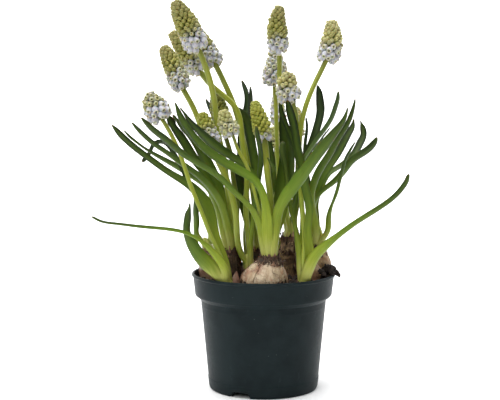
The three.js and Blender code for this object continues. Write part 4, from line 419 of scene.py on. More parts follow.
        (51.6, -9.31, 166.45, -0.4, 0.906, 0.14, 3.58),
        (53.47, -9.05, 171.07, -0.415, 0.905, 0.097, 3.39),
        (54.94, -8.71, 175.91, -0.423, 0.904, 0.063, 2.45),
        (55.65, -8.47, 179.1, -0.425, 0.904, 0.052, 1.6),
        (55.86, -8.32, 181.06, -0.425, 0.904, 0.05, 0.9),
    ]),
    ("leaf_right_2", "g", [
        (36.3, 4.38, 86.43, -0.749, -0.661, 0.038, 2.4),
        (36.44, 4.25, 90.34, -0.742, -0.67, -0.028, 2.41),
        (35.88, 3.78, 95.95, -0.708, -0.705, -0.044, 2.52),
        (33.16, 3.84, 103.63, -0.647, -0.762, -0.03, 2.06),
        (32.4, 4.41, 112.54, -0.622, -0.781, 0.053, 1.28),
        (34.13, 5.05, 122.5, -0.608, -0.77, 0.192, 4.05),
        (37.57, 5.99, 131.94, -0.563, -0.76, 0.325, 5.09),
        (42.74, 7.17, 140.09, -0.51, -0.753, 0.415, 5.46),
        (47.88, 8.71, 148.19, -0.491, -0.747, 0.447, 5.94),
        (52.18, 10.59, 156.35, -0.528, -0.744, 0.411, 6.47),
        (54.05, 11.38, 159.49, -0.549, -0.743, 0.381, 5.9),
        (56.35, 12.36, 163.45, -0.57, -0.744, 0.348, 4.34),
        (56.89, 13, 166.29, -0.578, -0.744, 0.336, 1.84),
        (57.12, 13.4, 168.03, -0.579, -0.744, 0.334, 1.23),
    ]),
    ("leaf_right_3", "g", [
        (33.54, 5.6, 86.12, 0.015, -0.999, 0.043, 2.4),
        (33.53, 6.21, 90.25, -0.03, -0.972, 0.235, 2.41),
        (33.22, 7.54, 96.17, -0.153, -0.967, 0.203, 2.35),
        (32.99, 8.88, 104.44, -0.355, -0.911, 0.21, 1.28),
        (33.07, 10.6, 113.81, -0.433, -0.851, 0.297, 0.9),
        (36.49, 13.22, 124.51, -0.374, -0.829, 0.416, 4.52),
        (41.93, 16.28, 133.35, -0.266, -0.812, 0.52, 3.8),
        (50.64, 19.5, 138.76, -0.184, -0.799, 0.572, 4.48),
        (58.16, 23.15, 145.18, -0.223, -0.786, 0.577, 4.86),
        (63.2, 27.27, 153.46, -0.375, -0.781, 0.5, 5.65),
        (64.85, 28.98, 157.39, -0.432, -0.784, 0.445, 4.46),
        (64.35, 30.97, 162.04, -0.474, -0.79, 0.389, 3.86),
        (63.54, 32.16, 164.72, -0.487, -0.792, 0.37, 1.23),
        (63.09, 32.89, 166.45, -0.49, -0.791, 0.366, 0.9),
    ]),
    ("leaf_right_4", "g", [
        (36.9, 0.55, 86.74, -0.915, 0.402, 0.039, 2.4),
        (36.98, 0.51, 90.46, -0.892, 0.453, 0.01, 2.41),
        (36.01, 0.39, 95.75, -0.814, 0.58, 0.018, 2.41),
        (32.74, -0.22, 102.65, -0.636, 0.769, 0.07, 2.48),
        (30.54, -0.93, 111.84, -0.501, 0.854, 0.143, 2.73),
        (34.96, -1.64, 122.21, -0.443, 0.864, 0.238, 3.35),
        (42.67, -2.65, 128.8, -0.381, 0.871, 0.312, 4.32),
        (49.06, -3.47, 135.35, -0.325, 0.873, 0.363, 5.15),
        (54.53, -4.1, 142.63, -0.276, 0.872, 0.403, 5.47),
        (62.08, -4.89, 147.97, -0.279, 0.873, 0.401, 5.52),
        (64.29, -5.13, 149.61, -0.292, 0.873, 0.39, 5.52),
        (67.69, -5.53, 153.06, -0.319, 0.875, 0.365, 4.91),
        (69.14, -5.74, 155.67, -0.329, 0.875, 0.355, 3.49),
        (69.65, -5.84, 157.55, -0.331, 0.875, 0.353, 1.14),
    ]),
    ("leaf_right_5", "g", [
        (34.64, -1.45, 86.57, -0.289, 0.956, 0.043, 2.4),
        (35.02, -2.05, 89.79, -0.273, 0.896, 0.35, 2.41),
        (37.17, -3.52, 93.91, -0.339, 0.874, 0.347, 2.38),
        (40.14, -5.36, 99.73, -0.439, 0.822, 0.362, 1.89),
        (40.43, -7.48, 107.09, -0.485, 0.79, 0.376, 1.04),
        (41.65, -9.78, 114.86, -0.488, 0.795, 0.359, 0.9),
        (44.26, -11.8, 122.36, -0.495, 0.803, 0.332, 2.88),
        (46.21, -13.56, 130.15, -0.505, 0.806, 0.309, 2.87),
        (48.04, -15.3, 138, -0.501, 0.805, 0.318, 2.55),
        (50.08, -17.1, 145.68, -0.475, 0.805, 0.356, 2.33),
        (51.81, -18.02, 149.07, -0.461, 0.806, 0.372, 2.32),
        (53.42, -18.81, 152.09, -0.453, 0.806, 0.38, 1.9),
        (54.47, -19.31, 154.01, -0.451, 0.806, 0.383, 1.34),
        (55.08, -19.61, 155.21, -0.45, 0.807, 0.383, 0.9),
    ]),
    ("leaf_right_6", "d", [
        (30, 1.95, 86.07, 0.999, 0.015, 0.031, 2.4),
        (30.04, 2.2, 89.86, 0.993, 0.1, -0.06, 2.42),
        (30.6, 2.68, 95.29, 0.934, 0.342, -0.098, 2.49),
        (32.79, 2.59, 102.7, 0.712, 0.7, -0.053, 2.82),
        (32.67, 2.41, 111.31, 0.55, 0.835, -0.009, 3.09),
        (30.09, 3.03, 120.37, 0.541, 0.841, -0.012, 3.2),
        (28.01, 4.23, 129.42, 0.546, 0.836, -0.053, 3.12),
        (26.53, 5.85, 138.55, 0.55, 0.827, -0.115, 2.89),
        (25.76, 7.88, 147.61, 0.549, 0.818, -0.17, 2.66),
        (26.53, 10.15, 156.59, 0.547, 0.814, -0.194, 2.64),
        (27.28, 12.05, 163.87, 0.548, 0.815, -0.19, 2),
        (27.05, 12.71, 166.41, 0.548, 0.815, -0.189, 1.78),
        (26.89, 13.1, 167.97, 0.548, 0.815, -0.188, 1.32),
        (26.95, 13.35, 168.95, 0.548, 0.815, -0.188, 1.69),
    ]),
    ("leaf_far_left_1", "g", [
        (-36.06, 8.54, 81.33, 0.905, 0.424, 0.025, 3.1),
        (-36.27, 8.49, 83.83, 0.846, 0.521, 0.115, 3.13),
        (-37.1, 8.19, 87.02, 0.579, 0.729, 0.366, 3.18),
        (-39.17, 7.36, 91.05, 0.286, 0.905, 0.314, 3.15),
        (-42.34, 5.87, 96.65, 0.282, 0.903, 0.323, 3.51),
        (-42.11, 4.14, 102.86, 0.329, 0.892, 0.311, 4.05),
        (-42.43, 2.28, 108.89, 0.353, 0.884, 0.307, 4.13),
        (-42.3, 0.3, 114.85, 0.342, 0.882, 0.325, 3.83),
        (-42.42, -0.56, 117.49, 0.335, 0.884, 0.327, 3.02),
        (-42.71, -1.25, 119.56, 0.332, 0.885, 0.327, 2.1),
        (-42.84, -1.66, 120.81, 0.331, 0.885, 0.327, 0.94),
    ]),
    ("leaf_buried_right_1", "o", [
        (21.55, -29.62, 69.38, 0.99, 0.141, 0.025, 3.1),
        (21.27, -29.42, 73.35, 0.966, 0.244, 0.086, 3.13),
        (20.72, -28.79, 79.05, 0.872, 0.488, 0.026, 2.94),
        (20.93, -27.47, 86.93, 0.579, 0.807, -0.113, 2.24),
        (20.28, -25.7, 95.65, 0.388, 0.909, -0.154, 2.06),
        (18.58, -23.88, 105.12, 0.381, 0.916, -0.128, 2.52),
        (16.25, -22.19, 114.48, 0.38, 0.919, -0.102, 2.93),
        (15, -20.55, 123.97, 0.38, 0.92, -0.097, 2.86),
        (13.81, -18.93, 133.33, 0.379, 0.92, -0.101, 2.9),
        (12.44, -17.65, 142.6, 0.378, 0.92, -0.105, 3.58),
        (11.17, -17.27, 149.01, 0.378, 0.92, -0.107, 4.66),
        (11.14, -16.61, 152.27, 0.377, 0.92, -0.108, 4.19),
        (11.19, -16.01, 154.29, 0.377, 0.92, -0.108, 3.65),
        (11.25, -15.23, 155.49, 0.377, 0.92, -0.108, 2.4),
    ]),
    ("leaf_buried_right_2", "g", [
        (23.47, -27.05, 69.11, 0.143, -0.989, 0.023, 3.1),
        (23.44, -26.82, 74.18, 0.174, -0.983, 0.065, 3.14),
        (23.6, -26.4, 81.5, 0.258, -0.966, 0.036, 3.08),
        (23.5, -25.97, 91.63, 0.396, -0.918, 0.028, 3.07),
        (22.95, -25.52, 102.87, 0.463, -0.884, 0.066, 3.06),
        (22.78, -24.72, 115.26, 0.464, -0.882, 0.087, 3.13),
        (21.69, -23.92, 127.63, 0.463, -0.88, 0.111, 3.32),
        (20.76, -22.9, 139.98, 0.456, -0.875, 0.162, 3.55),
        (18.34, -21.41, 152.05, 0.437, -0.868, 0.236, 3.62),
        (14.1, -19.53, 163.52, 0.415, -0.863, 0.289, 3.57),
        (10.39, -17.74, 173.24, 0.408, -0.862, 0.302, 3.63),
        (9.91, -17.18, 176.34, 0.408, -0.862, 0.302, 2.78),
        (9.67, -16.83, 178.25, 0.408, -0.862, 0.303, 1.6),
        (9.52, -16.61, 179.46, 0.408, -0.862, 0.303, 0.9),
    ]),
    ("leaf_buried_right_3", "g", [
        (26.05, -28.97, 69.14, -0.989, -0.145, 0.032, 3.1),
        (26.78, -29.05, 74.16, -0.935, -0.303, 0.183, 3.13),
        (27.94, -29.3, 81.43, -0.735, -0.669, 0.107, 3.37),
        (27.12, -29.97, 91.67, -0.088, -0.996, 0.02, 4.27),
        (25.81, -29.91, 103.05, 0.281, -0.959, -0.024, 4.89),
        (26.95, -29.76, 115.24, 0.302, -0.953, -0.02, 5.19),
        (24.75, -30.21, 127.09, 0.312, -0.95, -0.009, 5.31),
        (22.58, -31, 139.25, 0.318, -0.948, 0.017, 5.35),
        (19.92, -31.36, 151.36, 0.304, -0.948, 0.093, 5.04),
        (17.69, -31.09, 163.96, 0.299, -0.947, 0.114, 5.15),
        (15.82, -30.97, 171.31, 0.301, -0.947, 0.108, 5.4),
        (14.58, -30.92, 175.86, 0.302, -0.947, 0.105, 4.67),
        (13.91, -30.91, 178.75, 0.303, -0.947, 0.103, 3.23),
        (13.51, -30.89, 180.5, 0.303, -0.947, 0.103, 0.99),
    ]),
    ("leaf_buried_right_4", "l", [
        (24.13, -31.55, 69.41, -0.146, 0.989, 0.034, 3.1),
        (24.87, -32.04, 73.5, -0.118, 0.963, 0.241, 3.12),
        (26.76, -33.24, 79.23, -0.163, 0.947, 0.275, 3.48),
        (30.15, -34.92, 86.9, -0.196, 0.918, 0.345, 3.62),
        (36.12, -36.89, 93.91, -0.16, 0.91, 0.383, 3.77),
        (43.78, -38.85, 100.61, -0.125, 0.916, 0.382, 3.89),
        (51.75, -40.47, 107.02, -0.119, 0.921, 0.371, 3.86),
        (60.19, -41.76, 112.83, -0.129, 0.924, 0.36, 3.74),
        (68.95, -42.75, 118.53, -0.162, 0.927, 0.338, 3.71),
        (77.26, -43.45, 125.27, -0.227, 0.93, 0.29, 3.68),
        (81.83, -43.75, 130.83, -0.27, 0.931, 0.245, 3.62),
        (83.6, -43.87, 134.04, -0.283, 0.931, 0.229, 3.24),
        (84.21, -43.93, 136.32, -0.287, 0.931, 0.224, 2.48),
        (84.59, -43.95, 137.71, -0.288, 0.931, 0.223, 1.1),
    ]),
]
FLOWERS = [
    ("flower_buried_left_1", "n", 1.28, 7.9, [
        (-22, -30.3, 68.05),
        (-22.4, -30.45, 71.83),
        (-22.99, -31.09, 77.81),
        (-26.09, -32.06, 87.15),
        (-31.56, -33.12, 99.06),
        (-37.48, -33.43, 114.43),
        (-43.6, -32.93, 129.61),
        (-49.16, -31.86, 146.17),
        (-55.35, -30.52, 160.22),
        (-60.87, -29.43, 169.66),
        (-65.41, -28.45, 177.52),
        (-69.07, -27.45, 184.91),
    ]),
    ("flower_left_1", "n", 1.83, 7.95, [
        (-21.27, -6.3, 84.26),
        (-21.2, -6.29, 88.79),
        (-20.66, -6.15, 95.91),
        (-20.19, -6.07, 107.6),
        (-21.92, -6.49, 123.07),
        (-24.7, -7.84, 142.29),
        (-28.06, -9.99, 161.34),
        (-30.5, -13.42, 181.68),
        (-34.83, -16.54, 199.17),
        (-39.54, -18.7, 211.2),
        (-45.92, -21.1, 225.03),
        (-53.01, -23.37, 238.55),
    ]),
    ("flower_left_2", "b", 1.51, 6.26, [
        (-20.73, -3.7, 83.79),
        (-20.62, -3.54, 86.66),
        (-20.06, -2.81, 91.1),
        (-18.29, -1.58, 98.23),
        (-16.57, 0.13, 108.06),
        (-16.94, 1.96, 120.41),
        (-19.09, 3.45, 132.58),
        (-20.26, 4.99, 145.66),
        (-23.47, 6.33, 156.74),
        (-25.06, 7.31, 164.79),
        (-27.96, 8.52, 174.75),
        (-29.82, 9.66, 184.94),
    ]),
    ("flower_left_offset_1", "n", 1.97, 6.12, [
        (-8.86, -7.8, 71.71),
        (-9.15, -7.92, 74.67),
        (-10.67, -8.38, 79.11),
        (-13.98, -9.71, 86.01),
        (-16.2, -12.39, 95.76),
        (-16.85, -15.31, 108.32),
        (-19.16, -16.19, 121.07),
        (-23.4, -15.49, 134.22),
        (-28.39, -15.38, 145.2),
        (-31.27, -15.58, 153.31),
        (-34.58, -15.54, 162.67),
        (-37.62, -15.15, 172.17),
    ]),
    ("flower_left_offset_2", "n", 2.0, 6.8, [
        (-8.34, -5.2, 74.53),
        (-8.41, -5.15, 79.16),
        (-9, -5.11, 86.4),
        (-9.91, -4.96, 98.31),
        (-11.02, -4.46, 114.2),
        (-10.32, -3.43, 134.06),
        (-13.08, -2.17, 153.8),
        (-17.22, -1.05, 175.2),
        (-31.31, -1.55, 188.37),
        (-39.75, -2.72, 198.62),
        (-47.62, -4.65, 210.14),
        (-56.04, -7.02, 221.21),
    ]),
    ("flower_front_1", "n", 2.0, 5.85, [
        (4.38, -26.22, 83.73),
        (4.39, -26.14, 86.31),
        (4.26, -25.57, 90.32),
        (3.97, -24.66, 96.88),
        (3.89, -25.13, 105.89),
        (4.16, -24.56, 116.94),
        (3.14, -25.08, 128),
        (1.73, -25.57, 139.75),
        (1.04, -22.69, 149.84),
        (-0.02, -21.98, 157.17),
        (-2.53, -21.15, 168.44),
        (-5.86, -20.21, 179.4),
    ]),
    ("flower_middle_1", "n", 1.2, 6.84, [
        (-1.97, 13.01, 81.36),
        (-1.46, 12.68, 85.91),
        (-0.19, 11.44, 92.91),
        (3.08, 9.39, 104.15),
        (7.61, 6.65, 119.12),
        (10.85, 3.31, 138.74),
        (11.75, 0.12, 158.25),
        (10.53, -2.97, 178.97),
        (9.64, -5.24, 197.37),
        (9.32, -6.6, 210.44),
        (7.9, -7.74, 223.49),
        (9.48, -8.74, 236.55),
    ]),
    ("flower_front_2", "n", 1.02, 6.0, [
        (2.22, -27.78, 83.73),
        (2.01, -27.94, 86.49),
        (1.01, -28.87, 90.7),
        (-0.28, -30.76, 97.74),
        (-1.28, -32.42, 107.27),
        (-4.03, -33.47, 118.87),
        (-6.92, -33.2, 130.57),
        (-10.86, -29.74, 142.5),
        (-16.16, -28.44, 152.32),
        (-18.81, -28.53, 159.87),
        (-22.28, -29.01, 166.57),
        (-24.24, -29.69, 173.83),
    ]),
    ("flower_middle_2", "n", 1.77, 6.55, [
        (-4.63, 12.99, 81.3),
        (-4.76, 12.59, 85.66),
        (-4.76, 10.71, 92.33),
        (-4.69, 8, 103.35),
        (-6.12, 6.64, 118.4),
        (-8.78, 7.21, 137.11),
        (-12.9, 7.73, 155.57),
        (-17.86, 6.9, 175.12),
        (-24.65, 5.26, 191.37),
        (-30.25, 4.24, 202.61),
        (-35.34, 3.65, 211.86),
        (-39.61, 3.15, 221.53),
    ]),
    ("flower_back_right_1", "n", 1.3, 7.9, [
        (17.73, 17.52, 89.68),
        (17.48, 17.33, 93.2),
        (16.34, 16.64, 98.61),
        (14.58, 15.44, 107.53),
        (11.87, 13.79, 119.32),
        (9.6, 11.89, 134.29),
        (8.66, 10.57, 149.44),
        (8.08, 9.77, 165.64),
        (7.59, 9.39, 179.83),
        (6.87, 9.22, 190.42),
        (7.31, 9.1, 200.47),
        (6.7, 9.03, 210.35),
    ]),
    ("flower_back_right_2", "w", 1.42, 5.19, [
        (18.37, 20.12, 89.18),
        (18.26, 20.26, 91.91),
        (17.5, 20.97, 96.12),
        (16.31, 22.24, 102.99),
        (14.6, 24.24, 112.06),
        (12.57, 27.05, 123.31),
        (11.08, 30.13, 134.59),
        (10.02, 33.76, 146.6),
        (9.61, 36.8, 157.16),
        (9.74, 38.89, 164.75),
        (9.65, 42, 175.44),
        (9.09, 45.15, 186.09),
    ]),
    ("flower_back_right_3", "y", 1.42, 4.1, [
        (15.8, 19.36, 89.45),
        (15.67, 19.39, 91.57),
        (15.05, 19.49, 94.86),
        (14.35, 19.81, 100.28),
        (13.2, 20.59, 107.49),
        (11.58, 21.94, 116.33),
        (10.12, 23.47, 125.26),
        (8.89, 25.2, 134.77),
        (8.42, 26.99, 143.08),
        (8.29, 28.4, 149.02),
        (7.38, 29.59, 155.65),
        (6.99, 30.29, 162.4),
    ]),
    ("flower_right_1", "n", 1.22, 7.4, [
        (33.65, 0.67, 86.31),
        (33.28, 0.45, 89.74),
        (31.66, -0.31, 94.91),
        (29.25, -1.76, 103.24),
        (26.84, -4.58, 114.21),
        (25.08, -8.34, 128.28),
        (22.74, -13.51, 142.71),
        (20.92, -17.82, 158.13),
        (19.36, -20.88, 171.59),
        (16.42, -22.87, 180.81),
        (13.42, -24.26, 188.03),
        (15.22, -25.57, 195.57),
    ]),
    ("flower_right_2", "y", 1.32, 4.12, [
        (33.55, 3.33, 85.63),
        (33.45, 3.49, 88.19),
        (32.91, 4.32, 92.14),
        (31.85, 5.78, 98.52),
        (30, 7.26, 107.06),
        (27.92, 9.03, 117.8),
        (25.98, 11.19, 128.48),
        (24.18, 13.9, 139.84),
        (23.15, 16.49, 149.81),
        (22.61, 18.43, 156.92),
        (21.94, 20.92, 165.98),
        (21.57, 23.32, 175.11),
    ]),
    ("flower_far_left_1", "n", 1.74, 7.3, [
        (-34, 9.5, 81.74),
        (-33.89, 9.51, 85.58),
        (-33.66, 9.6, 91.61),
        (-32.95, 9.79, 101.48),
        (-32.64, 10.39, 114.65),
        (-34.12, 11.82, 131.06),
        (-36.11, 13.2, 147.4),
        (-40.04, 12.99, 164.62),
        (-46.02, 13.28, 178.87),
        (-51.35, 14.03, 188.45),
        (-56.57, 15.3, 201.04),
        (-63.05, 16.58, 212.96),
    ]),
    ("flower_buried_right_1", "n", 1.55, 7.3, [
        (23.8, -29.3, 69.48),
        (23.8, -29.22, 74.32),
        (23.75, -28.86, 81.91),
        (24.55, -27.77, 94.28),
        (23.33, -27.48, 110.88),
        (21.73, -26.11, 131.6),
        (21.15, -23.81, 152.31),
        (24.38, -21.08, 174.4),
        (31.52, -18.76, 192.34),
        (37.54, -17.19, 204.67),
        (40.9, -15.84, 215.74),
        (40.67, -14.52, 227.28),
    ]),
]
BULBS = {
    "A": {"rings": [(-16.5, -21, 50, 2.5), (-16.5, -21, 52, 5.5), (-17, -22, 57, 6.5), (-19, -25.2, 61.5, 5.4), (-21.2, -28.8, 64.5, 4.6), (-22, -30.3, 66.3, 4.6), (-22, -30.3, 70.6, 4.35)], "cup": (-22, -30.3, 66.7, 3.9)},
    "A2": {"rings": [(-17.6, -27.3, 62, 1.6), (-17.5, -27.3, 65, 2.8), (-17.3, -27.3, 69, 3), (-17.2, -27.3, 72.5, 2.5), (-16.9, -27.2, 75.5, 1.3), (-16.6, -27.2, 77.4, 0.4)], "cup": None},
    "B": {"rings": [(-21, -6, 56, 2.5), (-21, -6, 58, 6), (-21, -6, 63, 8), (-21.2, -6, 69, 8), (-21.2, -6, 74, 7), (-21.1, -5.8, 79, 6.2), (-21, -5.3, 84, 5.8), (-21, -5, 87, 5.5), (-21, -5, 88, 5.45)], "cup": (-21, -5, 82.6, 4.9)},
    "K": {"rings": [(-10.5, -7, 58, 2), (-10.5, -7, 60, 4.5), (-9.8, -6.8, 65, 5.8), (-9, -6.6, 70, 5.7), (-8.6, -6.5, 74, 5.5), (-8.6, -6.5, 76, 5.4)], "cup": (-8.6, -6.5, 71, 4.9)},
    "C": {"rings": [(0.5, -26.3, 58.3, 3), (0.3, -26.3, 60, 8), (0.2, -26.3, 64, 12.2), (0.2, -26.3, 69, 14.1), (0.3, -26.3, 73.5, 14.2), (0.9, -26.4, 78, 12.2), (1.8, -26.6, 81.3, 9.5), (2.7, -26.85, 83.8, 7.3), (3.25, -27, 86, 5.8), (3.3, -27, 87.2, 5.45)], "cup": (3.3, -27, 82.2, 4.9)},
    "D": {"rings": [(15.8, 20.5, 56, 3), (15.8, 20.5, 58, 7), (15.8, 20.5, 64, 10), (15.8, 20.5, 71, 10.6), (16, 20.3, 78, 10.5), (16.5, 19.9, 84, 9.6), (17, 19.4, 88.6, 7.8), (17.3, 19, 91.4, 6.1), (17.3, 19, 93.2, 5.65)], "cup": (17.3, 19, 88.1, 5.05)},
    "E": {"rings": [(31.5, 2.5, 59, 2.5), (31.8, 2.5, 61, 5), (32.5, 2.5, 66, 7.6), (33.2, 2.5, 71, 8.8), (33.7, 2.5, 76, 9.1), (33.8, 2.4, 80, 8.6), (33.7, 2.2, 84, 6.8), (33.6, 2, 86.5, 5.7), (33.6, 2, 88.7, 5.45)], "cup": (33.6, 2, 84.6, 4.9)},
    "E2": {"rings": [(33.3, -8.6, 66, 1.8), (33.3, -8.8, 68.5, 3.2), (33.3, -9, 72, 3.6), (33.2, -9.2, 75.5, 2.9), (33.1, -9.4, 78, 1.2), (33, -9.5, 79, 0.4)], "cup": None},
    "F": {"rings": [(-31.5, 10, 61, 2.5), (-31.5, 10, 63, 6), (-31.5, 10, 67, 8.6), (-31.5, 10, 72, 9.5), (-31.6, 10, 77, 9.2), (-32.2, 9.9, 81, 7.1), (-33.2, 9.7, 83.5, 5.4), (-34, 9.5, 85.4, 4.45)], "cup": (-34, 9.5, 80.8, 3.9)},
    "G": {"rings": [(18.5, -21.5, 50, 2.5), (18.5, -21.5, 52, 5.5), (19, -22, 57, 6.5), (21.2, -25.5, 62, 5.5), (23.2, -28.4, 66, 4.7), (23.8, -29.3, 68, 4.5), (23.8, -29.3, 71.8, 4.1)], "cup": (23.8, -29.3, 68.2, 3.65)},
    "H": {"rings": [(-2.5, 14, 57, 2.5), (-2.5, 14, 59, 6), (-2.5, 14, 65, 8.4), (-2.5, 14, 72, 8.6), (-2.7, 13.8, 78, 7.3), (-3.1, 13.3, 83, 6), (-3.3, 13, 86, 5.5)], "cup": (-3.3, 13, 80.2, 4.9)},
}
FOOT = {
    "leaf_buried_left_1": 7.4,
    "leaf_buried_left_2": 5.6,
    "leaf_buried_left_3": 9.5,
    "leaf_left_1": 5.6,
    "leaf_left_2": 5.6,
    "leaf_left_3": 7.2,
    "leaf_left_4": 6.4,
    "leaf_left_5": 5.0,
    "leaf_left_offset_1": 4.8,
    "leaf_front_1": 6.2,
    "leaf_front_2": 7.6,
    "leaf_front_3": 7.0,
    "leaf_front_4": 7.8,
    "leaf_front_5": 5.2,
    "leaf_front_6": 6.6,
    "leaf_front_7": 4.8,
    "leaf_middle_1": 6.6,
    "leaf_left_offset_2": 3.4,
    "leaf_middle_2": 4.8,
    "leaf_middle_3": 4.47,
    "leaf_middle_4": 4.21,
    "leaf_back_right_1": 6.2,
    "leaf_back_right_2": 3.71,
    "leaf_right_1": 6.4,
    "leaf_right_2": 6.0,
    "leaf_right_3": 6.2,
    "leaf_right_4": 6.4,
    "leaf_right_5": 4.4,
    "leaf_right_6": 3.08,
    "leaf_far_left_1": 3.76,
    "leaf_buried_right_1": 4.8,
    "leaf_buried_right_2": 4.4,
    "leaf_buried_right_3": 6.2,
    "leaf_buried_right_4": 7.6,
}
EXTRAS = [
    ("bent_leaf_tip", "d", [
        (-22.12, -28.03, 67.88, 0.43, -0.868, 0.251, 2.23),
        (-23.15, -26.61, 74.57, 0.431, -0.871, 0.238, 2.28),
        (-24.64, -25.62, 81.25, 0.435, -0.874, 0.219, 2.33),
        (-26.41, -24.88, 87.91, 0.446, -0.877, 0.18, 2.3),
        (-28.29, -24.74, 94.61, 0.454, -0.877, 0.155, 2.2),
        (-30.28, -24.53, 101.27, 0.451, -0.876, 0.168, 2.11),
        (-32.32, -24.27, 107.89, 0.445, -0.874, 0.197, 2.11),
        (-34.98, -23.99, 114.28, 0.433, -0.87, 0.236, 2.11),
        (-38.07, -23.74, 120.41, 0.406, -0.865, 0.293, 2.18),
        (-42.36, -23.55, 125.83, 0.356, -0.859, 0.368, 2.28),
        (-46.06, -22.28, 131.55, 0.323, -0.837, 0.443, 2.41),
        (-49.19, -19.95, 137.61, 0.33, -0.82, 0.468, 2.62),
        (-51.96, -17.63, 143.86, 0.303, -0.82, 0.486, 2.82),
        (-55.82, -15.3, 149.58, 0.216, -0.819, 0.532, 2.94),
        (-60.65, -12.98, 154.54, -0.114, -0.806, 0.581, 3.04),
        (-66.49, -10.65, 153.94, -0.516, -0.845, 0.142, 3.01),
        (-70.15, -8.33, 147.69, -0.481, -0.877, 0.001, 2.81),
        (-75, -6, 142.23, -0.483, -0.874, 0.057, 2.6),
    ]),
    ("short_leaf_right", "g", [
        (6.87, -27.48, 83.51, 0.405, -0.904, 0.139, 2.36),
        (7.37, -26.35, 89.36, 0.402, -0.91, 0.104, 2.41),
        (7.88, -25.68, 95.28, 0.397, -0.917, 0.045, 2.46),
        (8.42, -25.31, 101.24, 0.391, -0.92, -0.001, 2.48),
        (9.2, -25.14, 107.18, 0.376, -0.924, -0.066, 2.48),
        (10.45, -25.33, 113.07, 0.361, -0.926, -0.111, 2.48),
        (11.92, -25.48, 118.89, 0.355, -0.928, -0.116, 2.38),
        (13.58, -25.58, 124.65, 0.344, -0.93, -0.132, 2.28),
        (15.8, -25.64, 130.17, 0.326, -0.932, -0.157, 2.21),
        (18.55, -25.67, 135.46, 0.315, -0.934, -0.171, 2.16),
        (21.38, -25.68, 140.69, 0.311, -0.934, -0.176, 2.11),
        (24.36, -25.69, 145.83, 0.417, -0.909, -0.02, 2.06),
        (28.09, -22.82, 150.26, 0.697, -0.684, 0.215, 2.01),
        (32.81, -14.55, 153.9, 0.771, -0.558, 0.306, 1.76),
        (36.83, -6.27, 158.4, 0.744, -0.566, 0.354, 1.31),
        (41.14, 2, 162.86, 0.749, -0.571, 0.336, 0.87),
    ]),
    ("short_leaf_middle", "d", [
        (-5.5, 13, 83, 0.431, -0.896, 0.11, 2.73),
        (-6.49, 13.13, 87.98, 0.437, -0.893, 0.105, 3.1),
        (-7.89, 13, 92.88, 0.45, -0.89, 0.078, 3.5),
        (-9.26, 12.6, 97.82, 0.456, -0.889, 0.053, 3.94),
        (-10.6, 12.2, 102.75, 0.457, -0.889, 0.037, 4.44),
        (-11.78, 11.71, 107.73, 0.459, -0.889, 0.012, 4.96),
        (-12.9, 11.14, 112.71, 0.459, -0.889, -0.004, 5.52),
        (-13.92, 10.57, 117.7, 0.456, -0.89, -0.017, 5.89),
        (-14.77, 10, 122.71, 0.452, -0.891, -0.035, 5.89),
        (-15.39, 9.43, 127.73, 0.444, -0.894, -0.065, 5.77),
        (-15.59, 8.86, 132.78, 0.432, -0.896, -0.1, 5.58),
        (-15.43, 8.29, 137.81, 0.421, -0.898, -0.126, 5.39),
        (-15.02, 7.71, 142.82, 0.42, -0.898, -0.129, 5.02),
        (-14.81, 7.14, 147.83, 0.432, -0.896, -0.098, 4.28),
        (-15.14, 6.57, 152.79, 0.445, -0.894, -0.052, 2.96),
        (-15.94, 6, 157.71, 0.449, -0.893, -0.03, 1.36),
    ]),
    ("narrow_leaf_far_left", "p", [
        (-38.2, 9.9, 75, 0.392, -0.837, 0.382, 2.11),
        (-41.12, 9.73, 77.63, 0.47, -0.851, 0.236, 2.38),
        (-41.97, 9.55, 81.27, 0.481, -0.876, 0.028, 2.63),
        (-42.19, 9.38, 85.23, 0.473, -0.881, -0.008, 2.76),
        (-42.48, 9.21, 89.17, 0.474, -0.881, -0.004, 2.83),
        (-42.77, 9.04, 93.11, 0.474, -0.881, -0.004, 2.76),
        (-43.06, 8.86, 97.05, 0.472, -0.882, -0.012, 2.69),
        (-43.22, 8.69, 100.98, 0.469, -0.883, -0.023, 2.63),
        (-43.33, 8.52, 104.92, 0.467, -0.884, -0.029, 2.47),
        (-43.38, 8.35, 108.84, 0.466, -0.884, -0.033, 2.27),
        (-43.43, 8.17, 112.77, 0.466, -0.884, -0.034, 1.56),
        (-43.47, 8, 116.68, 0.466, -0.884, -0.034, 0.74),
    ]),
    ("short_leaf_back_right", "g", [
        (17.3, 19, 89.6, 0.396, -0.912, -0.107, 2.6),
        (17.2, 18.36, 94.62, 0.381, -0.915, -0.132, 2.94),
        (17.71, 17.73, 99.58, 0.358, -0.919, -0.164, 3.27),
        (18.45, 17.09, 104.5, 0.35, -0.92, -0.175, 3.54),
        (19.27, 16.45, 109.4, 0.345, -0.921, -0.181, 3.72),
        (20.17, 15.82, 114.26, 0.341, -0.921, -0.186, 3.72),
        (21.11, 15.18, 119.11, 0.355, -0.92, -0.168, 3.65),
        (21.48, 14.55, 124.02, 0.375, -0.917, -0.137, 3.52),
        (21.59, 13.91, 128.93, 0.388, -0.915, -0.113, 3.29),
        (21.35, 13.27, 133.82, 0.397, -0.913, -0.094, 3.02),
        (20.98, 12.64, 138.7, 0.399, -0.913, -0.088, 2.07),
        (20.59, 12, 143.56, 0.4, -0.912, -0.088, 0.99),
    ]),
]

